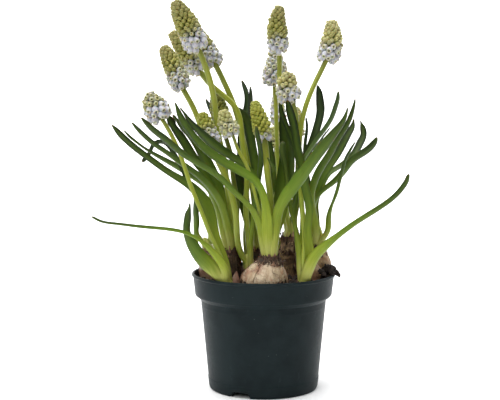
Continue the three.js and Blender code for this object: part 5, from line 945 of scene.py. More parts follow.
# ------------------------------------------------------------------ numbers
POT_HEIGHT, RIM_RADIUS = 72.75, 45.0
BAND_TOP_RADIUS, BAND_BOTTOM_RADIUS, BAND_BOTTOM_Z = 44.1, 42.86, 59.4
STEP_RADIUS, STEP_Z = 39.3, 56.2
WALL_FOOT_RADIUS, FOOT_BAND_Z, FOOT_BAND_PROUD = 34.75, 7.6, 0.25
WALL, FLOOR_Z, BASE_RING_Z, HUB_RADIUS, FOOT_RING_INNER = 0.9, 3.6, 2.6, 12.0, 30.4
SOIL_LEVEL, HEAP_ANGLE, HEAP_RADIUS, HEAP_HEIGHT = 68.0, math.radians(-6), 40.0, 6.0


def wall_radius(z):
    return WALL_FOOT_RADIUS + (STEP_RADIUS - WALL_FOOT_RADIUS) * (z - FOOT_BAND_Z) / (STEP_Z - FOOT_BAND_Z)


# ------------------------------------------------------------------ helpers
class Skin:
    """Collects points and faces, in millimetres, with a few numbers per point."""

    def __init__(self, *names):
        self.v, self.q, self.t, self.n = [], [], [], 0
        self.a = {k: [] for k in names}

    def add(self, v, quads=(), tris=(), **a):
        v = np.asarray(v, float).reshape(-1, 3)
        self.v.append(v)
        if len(quads):
            self.q.append(np.asarray(quads, int).reshape(-1, 4) + self.n)
        if len(tris):
            self.t.append(np.asarray(tris, int).reshape(-1, 3) + self.n)
        for k in self.a:
            x = a.get(k, 0.0)
            self.a[k].append(np.broadcast_to(np.asarray(x, float), (len(v),)))
        self.n += len(v)

    def build(self, name, *mats, smooth=True):
        v = np.concatenate(self.v) * MM
        q = np.concatenate(self.q) if self.q else np.zeros((0, 4), int)
        t = np.concatenate(self.t) if self.t else np.zeros((0, 3), int)
        me = bpy.data.meshes.new(name)
        me.vertices.add(len(v))
        me.vertices.foreach_set("co", v.astype(np.float32).ravel())
        loops = np.concatenate([q.ravel(), t.ravel()]).astype(np.int32)
        me.loops.add(len(loops))
        me.loops.foreach_set("vertex_index", loops)
        me.polygons.add(len(q) + len(t))
        start = np.concatenate([np.arange(len(q)) * 4, len(q) * 4 + np.arange(len(t)) * 3]).astype(np.int32)
        me.polygons.foreach_set("loop_start", start)
        me.update(calc_edges=True)
        me.validate()
        me.polygons.foreach_set("use_smooth", np.full(len(me.polygons), smooth))
        for k, parts in self.a.items():
            at = me.attributes.new(k, "FLOAT", "POINT")
            at.data.foreach_set("value", np.concatenate(parts).astype(np.float32))
        ob = bpy.data.objects.new(name, me)
        bpy.context.scene.collection.objects.link(ob)
        for m in mats:
            me.materials.append(m)
        return ob


def outward(ob):
    """Faces of a closed mesh point out."""
    import bmesh
    bm = bmesh.new()
    bm.from_mesh(ob.data)
    bmesh.ops.recalc_face_normals(bm, faces=bm.faces)
    bm.to_mesh(ob.data)
    bm.free()
    return ob


def tube_quads(rings, n, wrap=True):
    k = np.arange(rings - 1)[:, None]
    i = np.arange(n if wrap else n - 1)[None, :]
    a = k * n + i
    b = k * n + (i + 1) % n
    return np.stack([a, b, b + n, a + n], -1).reshape(-1, 4)


def cap_tris(start, n, flip=False):
    i = np.arange(1, n - 1)
    t = np.stack([np.zeros_like(i), i, i + 1], 1) + start
    return t[:, ::-1] if flip else t


def spline(P, m=None, at=None):
    """A natural cubic through the rows of P, by the length of its first three
    columns. Returns m rows, or rows at the shares `at` of the length."""
    P = np.asarray(P, float)
    d = np.r_[0, np.cumsum(np.linalg.norm(np.diff(P[:, :3], axis=0), axis=1))]
    n = len(P)
    h = np.diff(d)
    A = np.zeros((n, n))
    B = np.zeros((n, P.shape[1]))
    A[0, 0] = A[-1, -1] = 1
    for i in range(1, n - 1):
        A[i, i - 1], A[i, i], A[i, i + 1] = h[i - 1], 2 * (h[i - 1] + h[i]), h[i]
        B[i] = 6 * ((P[i + 1] - P[i]) / h[i] - (P[i] - P[i - 1]) / h[i - 1])
    m2 = np.linalg.solve(A, B)
    x = (np.linspace(0, 1, m) if at is None else np.asarray(at, float)) * d[-1]
    j = np.clip(np.searchsorted(d, x, "right") - 1, 0, n - 2)
    hj = h[j][:, None]
    a = (d[j + 1] - x)[:, None] / hj
    b = 1 - a
    return a * P[j] + b * P[j + 1] + ((a**3 - a) * m2[j] + (b**3 - b) * m2[j + 1]) * hj * hj / 6


def unit(v):
    return v / np.maximum(np.linalg.norm(v, axis=-1, keepdims=True), 1e-12)


def smooth(x):
    x = np.clip(x, 0, 1)
    return x * x * (3 - 2 * x)


def fractal(p, scale, octaves=4, seed=0.0):
    """Smooth noise, about -1 to 1, at points in millimetres."""
    out = np.empty(len(p))
    for i, (x, y, z) in enumerate(p):
        out[i] = mnoise.fractal((x * scale + seed, y * scale - seed, z * scale + 2 * seed), 1.0, 2.0, octaves)
    return out


def noise_at(p, scale, seed=0.0):
    return np.array([mnoise.noise((x * scale + seed, y * scale - seed, z * scale + 2 * seed)) for x, y, z in p])


# ---------------------------------------------------------------- materials
class Nodes:
    def __init__(self, name):
        self.mat = bpy.data.materials.new(name)
        self.mat.use_nodes = True
        self.t = self.mat.node_tree
        self.bsdf = next(n for n in self.t.nodes if n.type == "BSDF_PRINCIPLED")

    def new(self, kind, **kw):
        n = self.t.nodes.new(kind)
        for k, v in kw.items():
            setattr(n, k, v)
        return n

    def put(self, socket, value):
        if isinstance(value, bpy.types.NodeSocket):
            self.t.links.new(value, socket)
        elif isinstance(value, (tuple, list)) and len(value) == 3 and socket.type == "RGBA":
            socket.default_value = (*value, 1)
        else:
            socket.default_value = value

    def attr(self, name):
        return self.new("ShaderNodeAttribute", attribute_name=name).outputs["Fac"]

    def coords(self, scale=(1000, 1000, 1000), offset=(0, 0, 0)):
        c = self.new("ShaderNodeTexCoord").outputs["Object"]
        m = self.new("ShaderNodeMapping")
        self.put(m.inputs["Vector"], c)
        m.inputs["Scale"].default_value = scale
        m.inputs["Location"].default_value = offset
        return m.outputs["Vector"]

    def vec(self, x, y, z):
        n = self.new("ShaderNodeCombineXYZ")
        for s, v in zip(n.inputs, (x, y, z)):
            self.put(s, v)
        return n.outputs[0]

    def noise(self, vector, scale, detail=3.0, rough=0.55, distort=0.0):
        n = self.new("ShaderNodeTexNoise")
        self.put(n.inputs["Vector"], vector)
        for k, v in (("Scale", scale), ("Detail", detail), ("Roughness", rough), ("Distortion", distort)):
            n.inputs[k].default_value = v
        return n.outputs["Fac"]

    def voronoi(self, vector, scale, feature="F1", rand=1.0, out="Distance"):
        n = self.new("ShaderNodeTexVoronoi", feature=feature)
        self.put(n.inputs["Vector"], vector)
        n.inputs["Scale"].default_value = scale
        n.inputs["Randomness"].default_value = rand
        return n.outputs[out]

    def math(self, op, a, b=0.0, c=0.0, clamp=False):
        n = self.new("ShaderNodeMath", operation=op, use_clamp=clamp)
        for s, v in zip(n.inputs, (a, b, c)):
            self.put(s, v)
        return n.outputs[0]

    def fit(self, x, lo, hi, a=0.0, b=1.0, kind="SMOOTHSTEP"):
        n = self.new("ShaderNodeMapRange", interpolation_type=kind, clamp=True) if kind == "LINEAR" else self.new("ShaderNodeMapRange", interpolation_type=kind)
        for s, v in zip(n.inputs, (x, lo, hi, a, b)):
            self.put(s, v)
        return n.outputs[0]

    def mix(self, f, a, b, blend="MIX"):
        n = self.new("ShaderNodeMix", data_type="RGBA", blend_type=blend)
        ins = [s for s in n.inputs if s.enabled or True]
        self.put(n.inputs[0], f)
        self.put(n.inputs[6], a)
        self.put(n.inputs[7], b)
        return n.outputs[2]

    def ramp(self, f, *stops, kind="LINEAR"):
        n = self.new("ShaderNodeValToRGB")
        e = n.color_ramp.elements
        n.color_ramp.interpolation = kind
        while len(e) < len(stops):
            e.new(0.5)
        for el, (p, c) in zip(e, stops):
            el.position = p
            el.color = (*c, 1)
        self.put(n.inputs[0], f)
        return n.outputs["Color"]

    def bump(self, height, distance, strength=1.0, normal=None):
        n = self.new("ShaderNodeBump")
        n.inputs["Strength"].default_value = strength
        n.inputs["Distance"].default_value = distance * MM
        self.put(n.inputs["Height"], height)
        if normal is not None:
            self.put(n.inputs["Normal"], normal)
        return n.outputs[0]

    def shade(self, color, rough=0.5, normal=None, **kw):
        b = self.bsdf
        self.put(b.inputs["Base Color"], color)
        self.put(b.inputs["Roughness"], rough)
        if normal is not None:
            self.put(b.inputs["Normal"], normal)
        for k, v in kw.items():
            b.inputs[k.replace("_", " ")].default_value = v
        return self.mat


def srgb(r, g, b):
    return tuple((c / 255 / 12.92) if c <= 10 else ((c / 255 + 0.055) / 1.055) ** 2.4 for c in (r, g, b))


def leaf_material(slot, base, mid, tip, streak, gloss=0.36, reach=(0.05, 0.3, 0.62)):
    """Colour runs from the pale foot to the dark tip. Fine parallel veins run
    the length of the blade. A soft light streak down the channel is a painted
    highlight, and the darker edges are painted shade."""
    m = Nodes("mat_" + slot)
    s, a, side, rnd, dist = (m.attr(k) for k in ("s", "a", "side", "rnd", "dist"))
    wob = m.noise(m.vec(m.math("MULTIPLY", a, 1.2), m.math("MULTIPLY", dist, 0.05), rnd), 1.6, 3)
    s2 = m.math("ADD", s, m.math("MULTIPLY", m.math("SUBTRACT", wob, 0.5), 0.2))
    col = m.ramp(s2, (0.0, base), (0.1, base), (0.3, tuple((x * 0.5 + y * 0.5) for x, y in zip(base, mid))), (0.46, mid), (0.68, tuple(x * 0.45 + y * 0.55 for x, y in zip(mid, tip))), (0.86, tip), (1.0, tuple(x * 0.8 for x in tip)))
    # blanched just above the bulb
    col = m.mix(m.fit(m.math("ADD", dist, m.math("MULTIPLY", m.math("SUBTRACT", wob, 0.5), 14.0)), 19.0, 5.0, 0.0, 0.75), col, srgb(196, 192, 128))
    # painted highlight down the middle of the blade, painted shade to the edges
    mid_highlight_mask = m.fit(m.math("ABSOLUTE", m.math("ADD", a, m.math("MULTIPLY", m.math("SUBTRACT", wob, 0.5), 0.7))), 0.75, 0.05)
    along = m.fit(s, 0.12, 0.4)
    col = m.mix(m.math("MULTIPLY", m.math("MULTIPLY", mid_highlight_mask, along), 0.42), col, streak)
    col = m.mix(m.math("MULTIPLY", m.fit(m.math("ABSOLUTE", a), 0.72, 1.0), 0.35), col, tuple(x * 0.45 for x in mid))
    # the outer face is a little paler
    col = m.mix(m.math("MULTIPLY", m.fit(side, 0.2, -0.2), 0.16), col, tuple(min(1, x * 1.5) for x in mid))
    # long fine veins and blotches
    veins = m.noise(m.vec(m.math("MULTIPLY", a, 9.0), m.math("MULTIPLY", dist, 0.02), rnd), 1.0, 2, 0.5)
    col = m.mix(m.fit(veins, 0.35, 0.75, 0.0, 0.22), col, tuple(x * 0.55 for x in mid))
    blot = m.noise(m.vec(m.math("MULTIPLY", a, 1.0), m.math("MULTIPLY", dist, 0.09), m.math("ADD", rnd, 5.0)), 1.4, 4, 0.6)
    col = m.mix(m.fit(blot, 0.5, 0.8, 0.0, 0.25), col, tuple(min(1, x * 1.35 + 0.01) for x in mid))
    # deeper towards the point
    deep = m.ramp(s2, (0.0, (0.86, 0.86, 0.62)), (0.2, (0.96, 0.96, 0.72)), (0.4, (0.84, 0.86, 0.62)), (0.6, (0.76, 0.79, 0.6)), (0.8, (0.56, 0.62, 0.5)), (1.0, (0.46, 0.5, 0.46)))
    col = m.mix(1.0, col, deep, "MULTIPLY")
    # dry brown point
    col = m.mix(m.fit(s, 0.985, 1.0, 0.0, 0.7), col, srgb(92, 78, 44))
    fine = m.noise(m.vec(m.math("MULTIPLY", a, 26.0), m.math("MULTIPLY", dist, 0.12), rnd), 1.0, 3, 0.6)
    pores = m.noise(m.coords(), 2.6, 3, 0.6)
    height = m.math("ADD", m.math("MULTIPLY", fine, 1.0), m.math("MULTIPLY", pores, 0.35))
    rough = m.fit(m.noise(m.coords(), 0.35, 3), 0.3, 0.7, gloss, gloss + 0.14, "LINEAR")
    return m.shade(col, rough, m.bump(height, 0.10, 0.55), Subsurface_Weight=0.06, Subsurface_Scale=0.0012, Specular_IOR_Level=0.16)


# the last colour of each look is the painted highlight streak down the blade
LEAF_LOOK = {
    "g": ("leaf_green", srgb(150, 162, 58), srgb(84, 108, 36), srgb(44, 58, 30), srgb(112, 134, 48)),
    "l": ("leaf_light", srgb(158, 168, 60), srgb(98, 124, 38), srgb(48, 64, 34), srgb(126, 148, 52)),
    # d is a darker copy of the leaf greens: painted shade for leaves that stand in shadow
    "d": ("leaf_dark", srgb(138, 152, 56), srgb(58, 74, 31), srgb(34, 48, 26), srgb(72, 94, 38)),
    "o": ("leaf_olive", srgb(134, 145, 56), srgb(96, 112, 41), srgb(68, 88, 38), srgb(124, 136, 56)),
    "p": ("leaf_pale", srgb(156, 168, 66), srgb(126, 142, 54), srgb(84, 106, 40), srgb(150, 162, 70)),
    "gr": ("leaf_grey", srgb(142, 154, 66), srgb(98, 120, 58), srgb(72, 92, 62), srgb(128, 150, 94)),
}
LEAF_MAT = {k: leaf_material(*v) for k, v in LEAF_LOOK.items()}


def stalk_material(name="mat_stalk", k=1.0):
    m = Nodes(name)
    dist, ang, rnd = m.attr("dist"), m.attr("ang"), m.attr("rnd")
    n = m.noise(m.vec(m.math("MULTIPLY", ang, 1.5), m.math("MULTIPLY", dist, 0.03), rnd), 1.3, 3)
    s = m.attr("s")
    col = m.ramp(s, (0.0, srgb(176, 184, 92)), (0.12, srgb(158, 170, 66)), (0.5, srgb(146, 156, 48)), (0.85, srgb(150, 155, 50)), (1.0, srgb(128, 132, 50)))
    col = m.mix(m.fit(n, 0.35, 0.7, 0.0, 0.45), col, srgb(112, 130, 38))
    # k below 1 mixes the stalk toward near-black green: painted shade for a stalk that stands in shadow
    col = m.mix(1.0 - k, col, srgb(20, 34, 16))
    fleck = m.noise(m.coords(), 1.7, 4, 0.7)
    col = m.mix(m.fit(fleck, 0.62, 0.8, 0.0, 0.3 * k), col, srgb(150, 126, 70))
    fine = m.noise(m.vec(m.math("MULTIPLY", ang, 9.0), m.math("MULTIPLY", dist, 0.1), rnd), 1.0, 3, 0.6)
    return m.shade(col, m.fit(fleck, 0.3, 0.7, 0.34, 0.46, "LINEAR"), m.bump(fine, 0.08, 0.5), Subsurface_Weight=0.12, Subsurface_Scale=0.0012, Specular_IOR_Level=0.4)


STALK_MAT = stalk_material()
# a darker stalk, painted shade, for the spike that stands in shadow behind the others
STALK_PAINTED_SHADE = stalk_material("mat_stalk_painted_shade", 0.4)


def floret_material(slot, bud_lo, bud_hi, top, cream, white, shade):
    """white: 0 is a green bud, 1 an open white bell. part: 0 outside, 0.5 the
    rim, 1 inside the mouth. fz runs from the foot to the mouth."""
    m = Nodes("mat_" + slot)
    w, part, fz, rnd = (m.attr(k) for k in ("white", "part", "fz", "rnd"))
    grain = m.noise(m.coords(), 0.9, 3, 0.6)
    bud = m.mix(m.fit(rnd, 0.0, 1.0), bud_lo, bud_hi)
    bud = m.mix(m.fit(m.attr("up"), 0.45, 0.95, 0.0, 0.6), bud, top)
    # darker towards each bud's foot, where the buds crowd together: painted shade
    bud = m.mix(m.fit(fz, 0.45, 0.0, 0.0, 0.6), bud, tuple(x * 0.5 for x in bud_lo))
    # the white bells mix toward the grey shade colour by fine noise and at random per bell: painted shade
    bell = m.mix(m.fit(grain, 0.35, 0.7, 0.0, 0.75), white, shade)
    bell = m.mix(m.fit(rnd, 0.4, 1.0, 0.0, 0.35), bell, shade)
    bell = m.mix(m.fit(fz, 0.35, 0.0, 0.0, 0.5), bell, srgb(144, 150, 112))
    bell = m.mix(m.fit(fz, 0.72, 1.0, 0.0, 0.3), bell, cream)
    col = m.mix(m.fit(w, 0.05, 0.95, kind="LINEAR"), bud, bell)
    rim = m.mix(m.fit(w, 0.05, 0.95, kind="LINEAR"), tuple(min(1, x * 1.3) for x in bud_hi), cream)
    col = m.mix(m.fit(part, 0.2, 0.5), col, rim)
    deep = m.mix(m.fit(w, 0.2, 0.9), srgb(120, 116, 54), srgb(156, 156, 122))
    col = m.mix(m.fit(part, 0.62, 0.95), col, deep)
    ribs = m.noise(m.vec(m.math("MULTIPLY", m.attr("ang"), 4.0), m.math("MULTIPLY", fz, 0.4), rnd), 1.0, 2)
    h = m.math("ADD", m.math("MULTIPLY", ribs, 0.6), m.math("MULTIPLY", grain, 0.5))
    return m.shade(col, m.fit(grain, 0.3, 0.7, 0.42, 0.6, "LINEAR"), m.bump(h, 0.12, 0.5), Subsurface_Weight=0.12, Subsurface_Scale=0.001, Specular_IOR_Level=0.3)


# the third colour is the lavender grey of painted shade on the white bells
WHITE, BELL_PAINTED_SHADE, CREAM = srgb(194, 194, 199), srgb(168, 168, 180), srgb(190, 188, 162)
FLORET_LOOK = {
    "n": ("flower_pale", srgb(124, 124, 52), srgb(148, 145, 76), srgb(148, 141, 96), CREAM, WHITE, BELL_PAINTED_SHADE),
    # b is a darker copy of the flower colours: painted shade for the spike that stands in shadow behind the others
    "b": ("flower_brown", srgb(102, 106, 42), srgb(128, 130, 54), srgb(118, 114, 56), srgb(136, 132, 82), srgb(160, 156, 126), srgb(126, 122, 92)),
    "w": ("flower_white", srgb(140, 139, 88), srgb(170, 168, 126), srgb(166, 162, 128), CREAM, WHITE, BELL_PAINTED_SHADE),
    "y": ("flower_bud", srgb(148, 147, 80), srgb(174, 172, 108), srgb(178, 175, 122), CREAM, WHITE, BELL_PAINTED_SHADE),
}
FLORET_MAT = {k: floret_material(*v) for k, v in FLORET_LOOK.items()}
FLORET_MAT["c"] = floret_material("flower_cream", srgb(146, 142, 74), srgb(174, 169, 112), srgb(176, 171, 126), *FLORET_LOOK["n"][4:])
FLORET_MAT["lime"] = floret_material("flower_lime", srgb(138, 141, 50), srgb(161, 162, 68), srgb(144, 148, 63), *FLORET_LOOK["n"][4:])
HEAD_LOOK = {
    "flower_front_1": "lime", "flower_left_offset_1": "lime", "flower_front_2": "y",
    "flower_right_1": "c", "flower_buried_right_1": "c", "flower_back_right_1": "c",
}


def tunic_material(name, light, mid, dark, patch, patch_amount, veins, gloss=0.42):
    """Dry bulb skin: upright veins, stained patches, cracks and a darker neck."""
    m = Nodes("mat_" + name)
    p = m.coords()
    up, ang = m.attr("up"), m.attr("ang")
    streak = m.noise(m.vec(m.math("MULTIPLY", ang, 5.0), m.math("MULTIPLY", up, 1.1), 0.0), 1.2, 5, 0.6, 0.4)
    big = m.noise(p, 0.11, 4, 0.6, 0.6)
    col = m.mix(m.fit(streak, 0.3, 0.72), light, mid)
    col = m.mix(m.fit(big, 0.5 - patch_amount * 0.16, 0.66 - patch_amount * 0.1, 0.0, 0.85), col, patch)
    spots = m.noise(p, 0.55, 5, 0.7, 0.3)
    col = m.mix(m.fit(spots, 0.56, 0.72, 0.0, 0.7), col, dark)
    fine = m.noise(m.vec(m.math("MULTIPLY", ang, 34.0), m.math("MULTIPLY", up, 2.6), 1.0), 1.0, 4, 0.65, 0.5)
    col = m.mix(m.fit(fine, 0.52, 0.68, 0.0, veins), col, dark)
    warp = m.math("MULTIPLY", m.noise(p, 0.2, 3), 5.0)
    crack = m.voronoi(m.vec(m.math("ADD", m.math("MULTIPLY", ang, 1.6), warp), m.math("MULTIPLY", up, 2.2), 0.0), 0.42, "DISTANCE_TO_EDGE")
    line = m.fit(crack, 0.022, 0.0)
    col = m.mix(m.math("MULTIPLY", line, 0.75), col, tuple(x * 0.4 for x in dark))
    neck = m.attr("neck")
    col = m.mix(m.fit(m.math("ADD", neck, m.math("MULTIPLY", m.math("SUBTRACT", spots, 0.5), 0.7)), 0.35, 0.8, 0.0, 0.9), col, srgb(78, 50, 38))
    h = m.math("ADD", m.math("MULTIPLY", fine, 0.5), m.math("ADD", m.math("MULTIPLY", streak, 0.5), m.math("MULTIPLY", line, -0.9)))
    h = m.math("ADD", h, m.math("MULTIPLY", spots, 0.5))
    return m.shade(col, m.fit(spots, 0.3, 0.7, gloss, gloss + 0.22, "LINEAR"), m.bump(h, 0.35, 0.7), Subsurface_Weight=0.04, Subsurface_Scale=0.001, Specular_IOR_Level=0.4)


TUNIC = {
    "front": tunic_material("tunic_front", srgb(206, 188, 158), srgb(172, 148, 118), srgb(120, 88, 64), srgb(150, 108, 84), 0.42, 0.4, 0.3),
    "pink": tunic_material("tunic_pink", srgb(164, 138, 112), srgb(128, 100, 80), srgb(82, 58, 44), srgb(136, 96, 78), 0.7, 0.5),
    "tan": tunic_material("tunic_tan", srgb(186, 162, 126), srgb(158, 132, 98), srgb(112, 84, 60), srgb(138, 96, 62), 0.4, 0.5),
    "brown": tunic_material("tunic_brown", srgb(98, 76, 54), srgb(66, 50, 36), srgb(34, 25, 20), srgb(48, 36, 27), 0.9, 0.6, 0.55),
    "olive": tunic_material("tunic_olive", srgb(158, 132, 98), srgb(112, 86, 62), srgb(46, 33, 25), srgb(76, 55, 40), 0.7, 0.6, 0.55),
}


def scrap_material():
    m = Nodes("mat_dry_skin")
    p, k = m.coords(), m.attr("rnd")
    n = m.noise(p, 0.8, 5, 0.7, 0.4)
    dark = m.ramp(n, (0.25, srgb(34, 22, 18)), (0.45, srgb(60, 42, 32)), (0.6, srgb(84, 60, 44)), (0.8, srgb(116, 86, 62)))
    light = m.ramp(n, (0.25, srgb(92, 62, 46)), (0.45, srgb(138, 104, 80)), (0.6, srgb(168, 134, 106)), (0.8, srgb(196, 166, 134)))
    col = m.mix(m.fit(k, 0.45, 1.0), dark, light)
    return m.shade(col, m.fit(n, 0.3, 0.7, 0.5, 0.75, "LINEAR"), m.bump(m.noise(p, 2.4, 4, 0.7), 0.3, 0.7), Specular_IOR_Level=0.35)


SCRAP_MAT = scrap_material()


def pot_material():
    m = Nodes("mat_pot")
    p = m.coords()
    n = m.noise(p, 0.06, 4, 0.6)
    col = m.mix(m.fit(n, 0.3, 0.7), srgb(27, 36, 38), srgb(33, 43, 45))
    scuff = m.noise(m.coords((1000, 1000, 320)), 0.35, 6, 0.75, 0.8)
    col = m.mix(m.fit(scuff, 0.6, 0.78, 0.0, 0.28), col, srgb(78, 90, 94))
    specks = m.voronoi(p, 0.28, "F1")
    pick = m.noise(p, 0.9, 2)
    dot = m.math("MULTIPLY", m.fit(specks, 0.10, 0.04), m.fit(pick, 0.56, 0.62))
    col = m.mix(m.math("MULTIPLY", dot, 0.55), col, srgb(96, 100, 98))
    dots2 = m.math("MULTIPLY", m.fit(m.voronoi(m.coords(offset=(3.1, 7.7, 1.3)), 0.2, "F1"), 0.09, 0.04), m.fit(pick, 0.42, 0.36))
    col = m.mix(m.math("MULTIPLY", dots2, 0.8), col, srgb(18, 20, 20))
    dust = m.noise(p, 0.5, 5, 0.7)
    rough = m.fit(dust, 0.3, 0.75, 0.36, 0.52, "LINEAR")
    h = m.math("ADD", m.math("MULTIPLY", m.noise(p, 1.8, 4, 0.6), 0.5), m.math("MULTIPLY", m.noise(p, 0.12, 2), 0.6))
    col = m.mix(0.14, col, (0.0, 0.0, 0.0))
    return m.shade(col, rough, m.bump(h, 0.10, 0.5), Specular_IOR_Level=0.06)


POT_MAT = pot_material()


def soil_material():
    m = Nodes("mat_compost")
    p, k = m.coords(), m.attr("rnd")
    n = m.noise(p, 0.9, 6, 0.7)
    col = m.ramp(n, (0.25, srgb(20, 15, 12)), (0.5, srgb(40, 30, 24)), (0.7, srgb(62, 47, 36)), (0.85, srgb(96, 76, 56)))
    col = m.mix(m.fit(k, 0.72, 0.95, 0.0, 0.75), col, srgb(112, 84, 60))
    col = m.mix(m.fit(k, 0.3, 0.0, 0.0, 0.6), col, srgb(18, 13, 11))
    return m.shade(col, m.fit(n, 0.3, 0.7, 0.7, 0.92, "LINEAR"), m.bump(m.noise(p, 2.6, 5, 0.75), 0.5, 0.8), Specular_IOR_Level=0.3)


SOIL_MAT = soil_material()

# ---------------------------------------------------------------------- pot


def fillet(points, seg=4):
    """points: (r, z, corner radius). Each corner becomes a short arc."""
    out = []
    P = [np.array(p[:2], float) for p in points]
    for i, (r, z, c) in enumerate(points):
        if c <= 0 or i in (0, len(points) - 1):
            out.append(P[i])
            continue
        u, w = P[i - 1] - P[i], P[i + 1] - P[i]
        lu, lw = np.linalg.norm(u), np.linalg.norm(w)
        cut = min(c, lu * 0.45, lw * 0.45)
        a, b = P[i] + u / lu * cut, P[i] + w / lw * cut
        for k in range(seg + 1):
            t = k / seg
            out.append((1 - t) ** 2 * a + 2 * t * (1 - t) * P[i] + t * t * b)
    return np.array(out)


def notch_height(theta, top):
    """How high the foot is cut away: a long slope on one side, steep on the other."""
    out = np.zeros_like(theta)
    for k in range(3):
        centre = math.radians(-114.5 + 120 * k)
        x = (theta - centre + math.pi) % TAU - math.pi
        x = x * 34.3
        rise = smooth((x + 8.6) / 3.2)
        fall = 1 - smooth((x - 4.3) / 2.1)
        crown = 1 - 0.10 * np.clip((x + 2) / 6, 0, 1)
        out = np.maximum(out, np.where(np.abs(x) < 9, top * rise * fall * crown, 0))
    return out


def make_pot():
    foot = wall_radius(0) + FOOT_BAND_PROUD
    w = wall_radius(FOOT_BAND_Z)
    ridge_z = STEP_Z - 4.3
    pts = [
        (0, 0, 0), (HUB_RADIUS, 0, 0.5), (HUB_RADIUS + 1.2, BASE_RING_Z, 0.5),
        (FOOT_RING_INNER - 0.8, BASE_RING_Z, 0.5), (FOOT_RING_INNER, 0, 0.35),
        (foot - 0.7, 0, 0.9), (foot + 0.02, 1.5, 0.8),
        (w + FOOT_BAND_PROUD, FOOT_BAND_Z - 0.35, 0.12), (w, FOOT_BAND_Z, 0.12),
        (wall_radius(ridge_z) + 0.0, ridge_z, 0.1), (wall_radius(ridge_z) + 0.13, ridge_z + 0.35, 0.1),
        (wall_radius(ridge_z + 1) + 0.1, ridge_z + 1.3, 0.2), (wall_radius(ridge_z + 1.8), ridge_z + 1.8, 0.2),
        (STEP_RADIUS, STEP_Z, 0.5), (BAND_BOTTOM_RADIUS - 0.15, BAND_BOTTOM_Z - 0.35, 0.55),
        (BAND_BOTTOM_RADIUS + 0.08, BAND_BOTTOM_Z + 0.7, 0.5), (BAND_TOP_RADIUS, 70.75, 0.35),
        (RIM_RADIUS - 0.12, 71.15, 0.3), (RIM_RADIUS, 72.1, 0.45), (RIM_RADIUS - 0.45, POT_HEIGHT, 0.45),
        (RIM_RADIUS - 1.55, POT_HEIGHT, 0.5), (BAND_TOP_RADIUS - WALL, 71.3, 0.5),
        (BAND_BOTTOM_RADIUS - WALL, BAND_BOTTOM_Z + 0.6, 0.5), (STEP_RADIUS - WALL, STEP_Z + 0.6, 0.5),
        (wall_radius(FLOOR_Z) - WALL, FLOOR_Z, 1.2), (HUB_RADIUS + 0.4, FLOOR_Z, 0.6),
        (HUB_RADIUS - 0.8, 1.2, 0.5), (0, 1.2, 0),
    ]
    prof = fillet(pts)
    # long straight stretches get extra rows
    rows = [prof[0]]
    for a, b in zip(prof[:-1], prof[1:]):
        n = max(1, int(np.linalg.norm(b - a) / 3.0))
        rows += [a + (b - a) * (k + 1) / n for k in range(n)]
    prof = np.array(rows)
    prof = prof[np.r_[True, np.linalg.norm(np.diff(prof, axis=0), axis=1) > 1e-5]]
    sides = 256
    th = np.arange(sides) / sides * TAU
    r, z = prof[1:-1, 0][:, None], prof[1:-1, 1][:, None]
    rr = np.repeat(r, sides, 1)
    zz = np.repeat(z, sides, 1)
    cut = notch_height(th, 3.3)[None, :]
    reach = 4.4
    on_foot = (rr > FOOT_RING_INNER - 0.85) & (zz < reach) & (zz < FLOOR_Z - 0.05) | ((rr > foot - 2.2) & (zz < reach))
    inner = rr < foot - 1.6
    c = np.where(inner, np.minimum(cut, 2.45), cut)
    lifted = c + zz * (reach - c) / reach
    lifted = np.where(inner, np.maximum(zz, np.minimum(c, BASE_RING_Z)), lifted)
    first_inside = np.argmax(prof[1:-1, 1] >= POT_HEIGHT - 1e-6)
    outside = np.arange(len(r))[:, None] < first_inside
    zz = np.where(on_foot & outside & (rr > FOOT_RING_INNER - 0.85), lifted, zz)
    V = np.stack([rr * np.cos(th), rr * np.sin(th), zz], -1).reshape(-1, 3)
    # a thin moulded pot is never quite round
    ang = np.arctan2(V[:, 1], V[:, 0])
    k = np.clip((V[:, 2] - 20) / 52, 0, 1)
    V[:, :2] *= (1 + 0.0011 * k * np.cos(2 * ang + 0.7) + 0.0006 * k * np.cos(5 * ang))[:, None]
    sk = Skin()
    n = len(V)
    V = np.vstack([V, [[0, 0, prof[0, 1]], [0, 0, prof[-1, 1]]]])
    q = tube_quads(len(r), sides)
    i = np.arange(sides)
    t1 = np.stack([np.full(sides, n), (i + 1) % sides, i], 1)
    last = (len(r) - 1) * sides
    t2 = np.stack([np.full(sides, n + 1), last + i, last + (i + 1) % sides], 1)
    sk.add(V, q, np.vstack([t1, t2]))
    ob = outward(sk.build("nursery_pot", POT_MAT))
    cutter = Skin()
    for k in range(6):
        a = (k + 0.5) * TAU / 6
        c = np.array([22 * math.cos(a), 22 * math.sin(a)])
        ph = np.arange(28) / 28 * TAU
        ring = np.stack([c[0] + 3.4 * np.cos(ph), c[1] + 3.4 * np.sin(ph)], 1)
        v = np.vstack([np.c_[ring, np.full(28, 0.4)], np.c_[ring, np.full(28, 6.0)]])
        cutter.add(v, tube_quads(2, 28), np.vstack([cap_tris(0, 28, True), cap_tris(28, 28)]))
    cut_ob = outward(cutter.build("drain_cutter"))
    md = ob.modifiers.new("holes", "BOOLEAN")
    md.operation, md.solver, md.object = "DIFFERENCE", "EXACT", cut_ob
    dg = bpy.context.evaluated_depsgraph_get()
    me = bpy.data.meshes.new_from_object(ob.evaluated_get(dg))
    ob.modifiers.clear()
    old = ob.data
    ob.data = me
    me.name = "nursery_pot"
    bpy.data.meshes.remove(old)
    bpy.data.objects.remove(cut_ob)
    me.polygons.foreach_set("use_smooth", np.full(len(me.polygons), True))
    if not len(me.materials):
        me.materials.append(POT_MAT)
    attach(ob, "root")
    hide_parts("pot")


make_pot()

